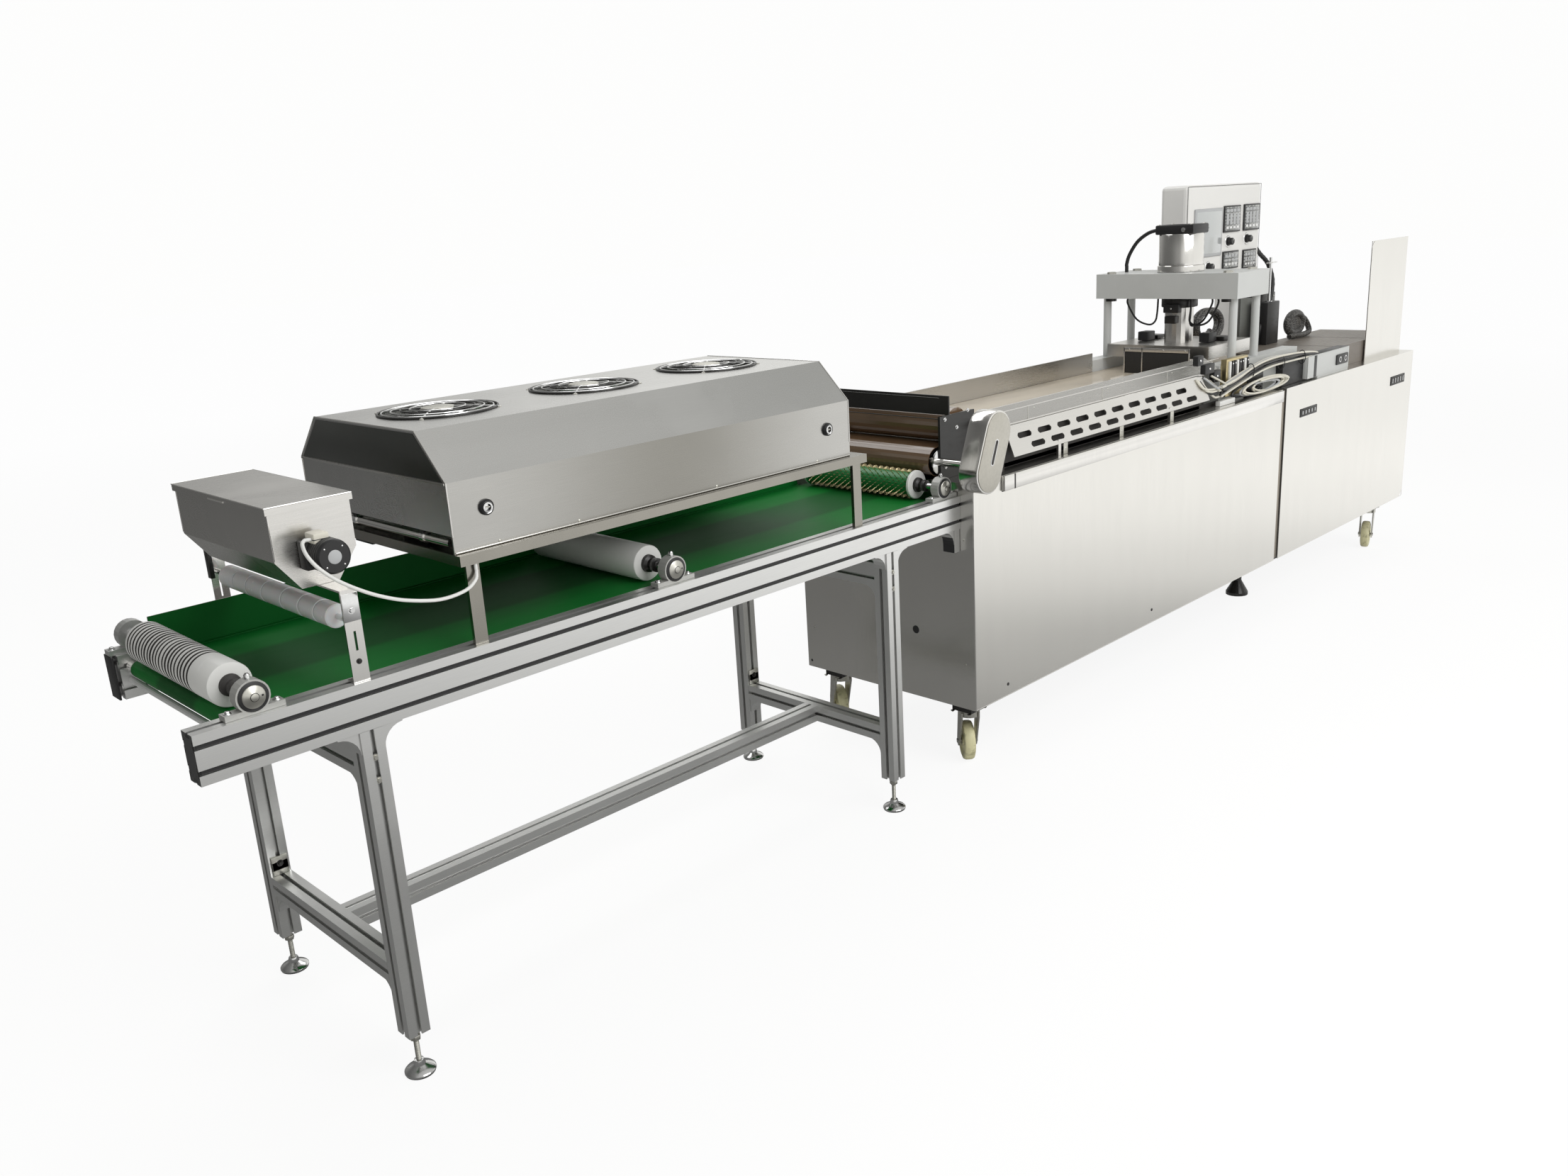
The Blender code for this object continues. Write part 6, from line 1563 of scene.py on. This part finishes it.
def make_deck_parts():
    """Terminal boxes and the wiring that lies on the deck from the press to the junction box."""
    boxes = Piece("black_plastic", "chrome_plate", "white_plastic", "spike_brass")
    for x, z, wide, tall in (
        (2.999, 0.911, 0.036, 0.030), (3.111, 0.852, 0.044, 0.036), (3.060, 0.880, 0.060, 0.030)
    ):
        spot = line(x, -0.2512, z)
        boxes.box(
            (spot.x - wide / 2, spot.y - 0.018, spot.z - tall / 2),
            (spot.x + wide / 2, spot.y, spot.z + tall / 2), 0.003
        )
        boxes.screw((spot.x, spot.y - 0.018, spot.z), (0, -1, 0), 0.0040, 1)
    boxes.box(line(3.165, -0.2700, 0.7800), line(3.310, -0.2505, 0.8950), 0.002, 3)
    for number in range(8):
        x = 3.176 + number * 0.017
        boxes.box(
            line(x, -0.2760, 0.8300), line(x + 0.011, -0.2690, 0.8880), 0.001, 0 if number % 3 else 2
        )
        boxes.screw(line(x + 0.0055, -0.2760, 0.8800), (0, -1, 0), 0.0030, 1)
    boxes.box(line(3.330, -0.2640, 0.7604), line(3.440, -0.2505, 0.8400), 0.003, 0)
    boxes.box(line(3.100, -0.2860, 0.7604), line(3.200, -0.2700, 0.7760), 0.002, 2)
    boxes.finish("deck_boxes")
    bundle = Piece("cream_plastic", "black_plastic", "light_grey")
    draw = random.Random(11)
    colours = (0, 0, 1, 0, 2, 0, 1, 0, 0, 1)
    for number, colour in enumerate(colours):
        lane = -0.2780 - 0.0016 * number
        drop = 0.0085 * (number % 4)
        sway = draw.uniform(-0.006, 0.006)
        route = [
            line(2.985 + 0.012 * number, -0.262, 0.856 - drop * 0.5),
            line(3.010 + 0.014 * number, lane, 0.826 - drop),
            line(3.090, lane - 0.004, 0.820 - drop + sway),
            line(3.200, lane - 0.002, 0.838 - drop - sway), line(3.330, lane, 0.858 - drop + sway),
            line(3.450, lane + 0.002, 0.868 - drop), line(3.600, lane, 0.864 - drop * 0.8 + sway),
            line(3.740, lane + 0.002, 0.856 - drop * 0.6), line(3.810, lane + 0.008, 0.846 - drop * 0.4)
        ]
        bundle.tube(smooth_route(route, 6), 0.0034, 8, False, colour)
    for x in (3.300, 3.520, 3.680):
        loop = []
        for step in range(24):
            turn = math.tau * step / 24
            loop.append(line(x, -0.285 + 0.0125 * math.cos(turn), 0.846 + 0.022 * math.sin(turn)))
        bundle.tube(loop, 0.0014, 6, True, 1)
    bundle.finish("deck_wiring")
    coils = Piece("cream_plastic", "black_plastic", "light_grey")
    for x, wide, tall, lane, colour in (
        (3.400, 0.175, 0.0235, -0.290, 0), (3.370, 0.150, 0.0200, -0.283, 2),
        (3.450, 0.130, 0.0210, -0.278, 0), (3.300, 0.110, 0.0180, -0.272, 1)
    ):
        loop = []
        for step in range(90):
            turn = math.tau * 2.3 * step / 89
            shrink = 1 - 0.22 * step / 89
            loop.append(
                line(
                    x + wide * shrink * math.cos(turn), lane + 0.005 * math.sin(turn * 1.7),
                    0.7655 + tall + tall * shrink * math.sin(turn)
                )
            )
        coils.tube(loop, 0.0033, 8, False, colour)
    coils.finish("wire_coils")
    droop = Piece("black_plastic")
    for start_x, start_y, end_z in (
        (3.285, -0.175, 1.030), (3.295, -0.150, 1.015), (3.300, 0.150, 1.020)
    ):
        sign = -1 if start_y < 0 else 1
        route = [
            line(start_x, start_y, 1.0700), line(start_x - 0.002, start_y, 1.050),
            line(start_x + 0.004, start_y - sign * 0.030, 1.000),
            line(start_x + 0.012, start_y - sign * 0.070, 0.978 + 0.2 * (end_z - 1.0)),
            line(3.322, sign * 0.062, 0.992), line(3.330, sign * 0.0595, end_z),
            line(3.334, sign * 0.0590, 1.0700)
        ]
        droop.tube(smooth_route(route, 6), 0.0032, 8)
    droop.finish("press_wires")


def make_controls():
    """Screen, four meters, switch scales and the seams of the control cabinet's front."""
    low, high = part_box("control_cabinet")
    face = low.y
    front = Piece("screen", "display", "black_plastic", "light_grey", "chrome_plate", "dark_joint_and_shade")

    def panel(x0, x1, z0, z1, proud, number, bevel=0.002):
        start, end = line(x0, 0, z0), line(x1, 0, z1)
        front.box((start.x, face - proud, start.z), (end.x, face + 0.0002, end.z), bevel, number)

    panel(3.550, 3.750, 1.179, 1.339, 0.0050, 3, 0.003)
    panel(3.560, 3.740, 1.189, 1.329, 0.0056, 0, 0.0005)
    for x0, x1, z0, z1, columns in (
        (3.760, 3.883, 1.254, 1.344, 4), (3.911, 4.033, 1.254, 1.345, 4),
        (3.762, 3.879, 1.129, 1.190, 4), (3.916, 4.019, 1.122, 1.188, 4)
    ):
        panel(x0, x1, z0, z1, 0.0060, 2, 0.002)
        panel(x0 + 0.005, x1 - 0.005, z0 + 0.005, z1 - 0.005, 0.0064, 1, 0.0003)
        wide = (x1 - x0 - 0.020) / columns
        for number in range(columns):
            left = x0 + 0.010 + number * wide
            panel(left + 0.003, left + wide - 0.003, z1 - 0.022, z1 - 0.012, 0.0068, 3, 0.0003)
            panel(left + 0.004, left + wide - 0.004, z0 + 0.012, z0 + 0.020, 0.0070, 4, 0.0006)
            panel(left + 0.005, left + wide - 0.005, z0 + 0.026, z1 - 0.027, 0.0067, 3, 0.0002)
    front.finish("control_front")
    body = Piece("dark_joint_and_shade", "zinc_plate", "grey_paint")
    body.box(
        (low.x + 0.004, face - 0.0003, high.z - 0.0060),
        (high.x - 0.004, face + 0.0004, high.z - 0.0045), 0
    )
    body.box(
        (low.x + 0.004, face - 0.0003, low.z + 0.270), (low.x + 0.0055, face + 0.0004, high.z - 0.0045),
        0
    )
    body.box(
        (high.x - 0.0055, face - 0.0003, low.z + 0.270),
        (high.x - 0.004, face + 0.0004, high.z - 0.0045), 0
    )
    body.finish("control_seams")
    for number in (1, 2, 3):
        middle = pivot(f"knob_{number}_turn")
        front_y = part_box(f"knob_{number}")[0].y
        scale = Piece("black_plastic", "chrome_plate", "light_grey")
        scale.turned(
            [(0.0175, 0.0016), (0.0195, 0.0012), (0.0205, 0)], (middle.x, face, middle.z), (0, -1, 0),
            40, 1
        )
        for step in range(9):
            angle = math.radians(-30 + 30 * step)
            out = Vector((math.cos(angle), 0, math.sin(angle)))
            base = Vector((middle.x, face - 0.0014, middle.z))
            scale.tube([base + out * 0.0178, base + out * 0.0192], 0.00035, 6, False, 0)
        scale.finish(f"knob_scale_{number}")
        pointer = Piece("white_plastic", "black_plastic")
        pointer.box(
            (middle.x - 0.0008, front_y - 0.0006, middle.z + 0.003),
            (middle.x + 0.0008, front_y + 0.0004, middle.z + 0.0135), 0.0002
        )
        pointer.finish(f"knob_pointer_{number}", f"knob_{number}_body")


def make_control_wiring():
    """The conduit, a guide rod and a bracket on the control cabinet's far end."""
    low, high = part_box("control_cabinet")
    made = Piece("black_plastic", "chrome_plate", "light_grey")
    side = high.x
    made.turned(
        [(0.0085, 0.010), (0.0115, 0.009), (0.0115, 0.002), (0.0135, 0.0015), (0.0135, 0)],
        (side, low.y + 0.040, line(0, 0, 1.205).z), (1, 0, 0), 24
    )
    route = [
        Vector((side + 0.006, low.y + 0.040, 1.205)), Vector((side + 0.030, low.y + 0.038, 1.200)),
        Vector((side + 0.052, low.y + 0.020, 1.165)), Vector((side + 0.075, low.y - 0.004, 1.125)),
        Vector((side + 0.085, low.y - 0.020, 1.060)), Vector((side + 0.060, low.y - 0.022, 0.980)),
        Vector((side + 0.020, low.y - 0.015, 0.915)), Vector((side + 0.004, low.y - 0.010, 0.870)),
        Vector((side + 0.004, low.y - 0.010, 0.837))
    ]
    smooth = smooth_route(route, 8)
    radii = [0.0075 + (0.0009 if i % 2 else 0) for i in range(len(smooth))]
    made.tube(smooth, radii, 12)
    rod = [line(4.105, 0.030, 0.835), line(4.105, 0.030, 1.150)]
    made.tube(rod, 0.0050, 14, False, 1)
    made.box(line(4.080, 0.0245, 1.128), line(4.150, 0.0355, 1.133), 0.0008, 1)
    made.box(line(4.060, 0.012, 0.835), line(4.160, 0.050, 0.990), 0.003, 0)
    made.turned(
        [(0.010, 0.004), (0.0125, 0.003), (0.0125, 0)], line(4.105, 0.030, 0.990), (0, 0, 1), 6, 1
    )
    made.finish("control_conduit")


def make_air_hoses():
    """A coiled, woven air sleeve, the blower with its hose, and the control post's panels."""
    coil = Piece("braid", "chrome_plate")
    middle = line(3.753, 0.100, 0.940)
    route = []
    count = 130
    for step in range(count):
        share = step / (count - 1)
        turn = math.tau * 2.3 * share + math.radians(215)
        reach = 0.084 - 0.006 * share
        route.append(
            middle
            + Vector((reach * math.cos(turn), -0.026 + 0.040 * share, 0.60 * reach * math.sin(turn)))
        )
    rise = [line(3.690, 0.040, 0.7700), line(3.688, 0.046, 0.830), line(3.686, 0.062, 0.880), route[0]]
    coil.tube(smooth_route(rise, 8), 0.0100, 14)
    coil.tube(route, 0.0100, 14)
    coil.turned(
        [(0.0125, 0.010), (0.0145, 0.008), (0.0145, 0)], line(3.690, 0.040, 0.7605), (0, 0, 1), 6, 1
    )
    coil.finish("air_sleeve_coil")
    ring = Piece("braid", "black_plastic", "chrome_plate", "dark_joint_and_shade")
    middle = line(4.318, 0.020, 0.8915)
    around = []
    for step in range(72):
        turn = math.tau * step / 72
        around.append(middle + Vector((0.064 * math.cos(turn), 0, 0.037 * math.sin(turn))))
    ring.tube(around, 0.0145, 16, True)
    # The dark disc in the ring's mouth is painted shade inside the hose.
    ring.prism([(p.x, p.z) for p in around], "y", (0, middle.y, 0), 0.006, 0.001, 3)
    for number in range(13):
        share = (number - 6) / 7
        reach = math.sqrt(1 - share * share)
        x = middle.x + 0.060 * share
        ring.tube(
            [
                (x, middle.y - 0.0042, middle.z - 0.034 * reach),
                (x, middle.y - 0.0042, middle.z + 0.034 * reach)
            ],
            0.0008, 6, False, 2
        )
    for number in range(7):
        share = (number - 3) / 4
        reach = math.sqrt(1 - share * share)
        z = middle.z + 0.034 * share
        ring.tube(
            [
                (middle.x - 0.060 * reach, middle.y - 0.0046, z),
                (middle.x + 0.060 * reach, middle.y - 0.0046, z)
            ],
            0.0008, 6, False, 2
        )
    tail = [
        middle + Vector((0.058, 0.004, 0.018)), middle + Vector((0.086, 0.000, 0.010)),
        middle + Vector((0.106, -0.006, -0.014)), middle + Vector((0.104, -0.014, -0.038)),
        middle + Vector((0.060, -0.020, -0.0445)), middle + Vector((-0.010, -0.024, -0.0445)),
        middle + Vector((-0.070, -0.012, -0.0440))
    ]
    ring.tube(smooth_route(tail, 8), 0.0105, 14)
    ring.finish("blower_hose")
    post = Piece("end_shade_and_dark_steel", "black_steel", "zinc_plate")
    post.box(line(3.9300, 0.0560, 0.7604), line(4.0560, 0.0710, 1.0830), 0.002)
    post.box(line(4.0570, 0.0530, 0.7604), line(4.2100, 0.1300, 1.0200), 0.004, 1)
    post.box(line(4.0600, 0.0515, 0.9300), line(4.2070, 0.0532, 0.9420), 0.001, 2)
    for x in (4.070, 4.197):
        for z in (0.85, 1.005):
            post.screw(line(x, 0.0530, z), (0, -1, 0), 0.0032, 2)
    post.finish("control_post_panels")


def make_junction_box():
    """White front with a black slot and socket, on a dark box that reaches toward the press."""
    low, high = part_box("junction_box")
    made = Piece("grey_paint", "black_plastic", "chrome_plate", "dark_joint_and_shade")
    face = low.y
    made.box(
        line(3.5600, -0.2750, 0.7604), Vector((low.x - 0.0004, line(0, -0.2530, 0).y, high.z)), 0.002, 1
    )
    made.box(
        line(3.7160, -0.2925, 0.7660), Vector((low.x - 0.0004, line(0, -0.2750, 0).y, high.z)), 0.002, 0
    )
    made.box(
        (line(3.7150, 0, 0).x, face - 0.0014, low.z + 0.006),
        (high.x - 0.001, face + 0.0002, high.z - 0.001), 0.001
    )
    made.box(
        (line(3.7640, 0, 0).x, face - 0.0018, low.z + 0.007),
        (line(3.7860, 0, 0).x, face - 0.0012, high.z - 0.002), 0.0002, 1
    )
    socket = (line(3.9450, 0, 0).x, line(4.0430, 0, 0).x)
    made.box(
        (socket[0], face - 0.0065, low.z + 0.026), (socket[1], face - 0.0010, high.z - 0.020), 0.003, 1
    )
    for share in (0.28, 0.74):
        x = socket[0] + share * (socket[1] - socket[0])
        spot = (x, face - 0.0065, (low.z + high.z) / 2 + 0.003)
        # Each socket's dark centre is painted shade in its hole.
        made.turned(
            [(0.0040, 0.0006, 3), (0.0070, 0.0012, 2), (0.0100, 0.0008), (0.0104, 0)], spot, (0, -1, 0),
            28, 1
        )
    for x in (line(3.722, 0, 0).x, high.x - 0.006):
        for z in (low.z + 0.012, high.z - 0.008):
            made.screw((x, face - 0.0014, z), (0, -1, 0), 0.0022, 2)
    made.box(
        (low.x, low.y + 0.0005, high.z), (high.x - 0.002, high.y - 0.0005, high.z + 0.0006), 0.0002, 1
    )
    made.finish("junction_front")


def make_infeed_trim():
    """Hems of the end guard, with screws and two dark seams on the infeed table."""
    low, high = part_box("infeed_table")
    guard_x0, guard_x1 = line(4.298, 0, 0).x, line(4.645, 0, 0).x
    guard_y = line(0, -0.258, 0).y
    made = Piece("polished_stainless", "zinc_plate", "dark_joint_and_shade")
    top = 1.1885
    made.tube(
        [(guard_x0 + 0.001, guard_y, high.z + 0.002), (guard_x0 + 0.001, guard_y, top)], 0.0013, 8
    )
    made.tube(
        [(guard_x1 - 0.001, guard_y, high.z + 0.002), (guard_x1 - 0.001, guard_y, top)], 0.0013, 8
    )
    made.tube([(guard_x0 + 0.001, guard_y, top), (guard_x1 - 0.001, guard_y, top)], 0.0013, 8)
    made.finish("guard_hem")
    table = Piece("zinc_plate", "dark_joint_and_shade")
    for share in (0.03, 0.35, 0.68, 0.97):
        for y in (low.y + 0.012, high.y - 0.012):
            table.screw((low.x + share * (high.x - low.x), y, high.z), (0, 0, 1), 0.0036)
    for share in (0.34, 0.67):
        x = low.x + share * (high.x - low.x)
        table.box(
            (x - 0.0008, low.y + 0.001, high.z - 0.0002), (x + 0.0008, high.y - 0.001, high.z + 0.0003),
            0, 1
        )
    table.finish("infeed_table_screws")


# ---------------------------------------------------------------- casters and feet


def make_wheels():
    """Yellowed nylon wheels with a crowned tread, dished webs, a steel bush and an axle nut."""
    for place in CORNERS:
        joint = JOINTS[f"wheel_{place}_spin"]
        axis = Vector(joint["axis"])
        middle = Vector(joint["pos_m"])
        wheel = Piece("cream_wheel", "zinc_plate", "black_plastic")
        half = 0.0158
        profile = [
            (0.0075, half, 1), (0.0115, half, 1), (0.0130, half - 0.0010, 0),
            (0.0150, half - 0.0040, 0), (0.0340, half - 0.0060, 0), (0.0370, half - 0.0030, 0),
            (0.0430, half - 0.0010, 0), (0.0490, half - 0.0030, 0), (0.0516, half - 0.0080, 0),
            (0.0519, 0.0, 0)
        ]
        mirror = [(r, -h, m) for r, h, m in reversed(profile[:-1])]
        wheel.turned(mirrored_about(profile, mirror), middle, axis, 56)
        made = wheel.finish(f"wheel_{place}_detail", f"wheel_{place}_body", 35)
        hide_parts(f"caster_wheel_{place}")
        nuts = Piece("chrome_plate", "zinc_plate")
        for side in (-1, 1):
            nuts.turned(
                [(0.0045, 0.0050), (0.0070, 0.0040), (0.0075, 0)], middle + axis * side * 0.0212,
                axis * side, 6
            )
        nuts.finish(f"caster_{place}_nuts", f"caster_{place}_body")


def mirrored_about(profile, mirror):
    """Shifts the mirrored half's materials by one, because each run takes its first point's."""
    runs = [entry[2] for entry in profile]
    count = len(profile)
    shifted = []
    for i, (radius, height, _) in enumerate(mirror):
        place = count - 2 - i
        shifted.append((radius, height, runs[max(place - 1, 0)]))
    return profile + shifted


def make_caster_plates():
    """Bolts on the plates between the chassis and each fork."""
    made = Piece("zinc_plate", "black_steel")
    for place in CORNERS:
        joint = JOINTS[f"caster_{place}_swivel"]
        middle = Vector(joint["pos_m"])
        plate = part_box(f"caster_fork_{place}")[1].z + 0.0004
        for x in (-1, 1):
            for y in (-1, 1):
                made.bolt((middle.x + x * 0.034, middle.y + y * 0.026, plate), (0, 0, -1), 0.0045)
    made.finish("caster_plate_bolts")


def make_feet():
    """Threads, lock nuts and rubber soles of the levelling feet."""
    for place in CORNERS:
        low, high, middle = box_and_middle(f"foot_{place}")
        foot = Piece("zinc_plate", "rubber", "chrome_plate")
        top = high.z - low.z
        profile = [(0.0040, top)]
        count = 24
        start, end = top - 0.0010, 0.024
        for number in range(count):
            z = start - (start - end) * number / count
            profile += [(0.0049, z), (0.0042, z - (start - end) / count * 0.5)]
        profile += [(0.0049, 0.0225)]
        foot.turned(profile, (middle.x, middle.y, low.z), (0, 0, 1), 16)
        foot.turned(
            [(0.0085, 0.0735), (0.0095, 0.0720), (0.0095, 0.0660), (0.0085, 0.0645)],
            (middle.x, middle.y, low.z), (0, 0, 1), 6
        )
        foot.turned(
            [
                (0.0050, 0.0250), (0.0085, 0.0245), (0.0100, 0.0200), (0.0105, 0.0150),
                (0.0180, 0.0105), (0.0250, 0.0075), (0.0272, 0.0050), (0.0272, 0.0024), (0.0262, 0.0024)
            ],
            (middle.x, middle.y, low.z), (0, 0, 1), 40, 2
        )
        foot.turned(
            [(0.0264, 0.0026), (0.0268, 0.0020), (0.0262, 0.0001)], (middle.x, middle.y, low.z),
            (0, 0, 1), 40, 1
        )
        made = foot.finish(f"foot_{place}_detail", f"foot_{place}_body", 30)
        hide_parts(f"foot_{place}")


def main():
    bpy.context.scene.view_settings.view_transform = "Standard"
    make_finishes()
    dress_nodes()
    for make in (
        make_camera, make_world, make_floor, make_lights, make_cords, make_rail_ends, make_slot_strips,
        make_belt_edges
    ):
        make()
    for roller in ("grooved", "hold_down", "spiked"):
        bearing_trim(f"bearing_{roller}", f"{roller}_roller_spin", f"{roller}_roller_body")
    for make in (
        far_bearing_trim, make_plain_roller, make_grooved_roller, make_spiked_roller,
        make_dusting_roller, make_frame_fittings, make_fan_guards, make_hood_trim, make_hood_inside,
        make_hopper_trim, make_motor, make_bridge_trim, make_outlet_trim, make_drum_end,
        make_drive_cover, make_vent_trim, make_trough_trim, make_cabinet_trim, make_cabinet_hems,
        make_cylinder, make_press_trim, make_press_mouth, make_ram_trim, make_deck_parts, make_controls,
        make_control_wiring, make_air_hoses, make_junction_box, make_infeed_trim, make_wheels,
        make_caster_plates, make_feet
    ):
        make()


main()
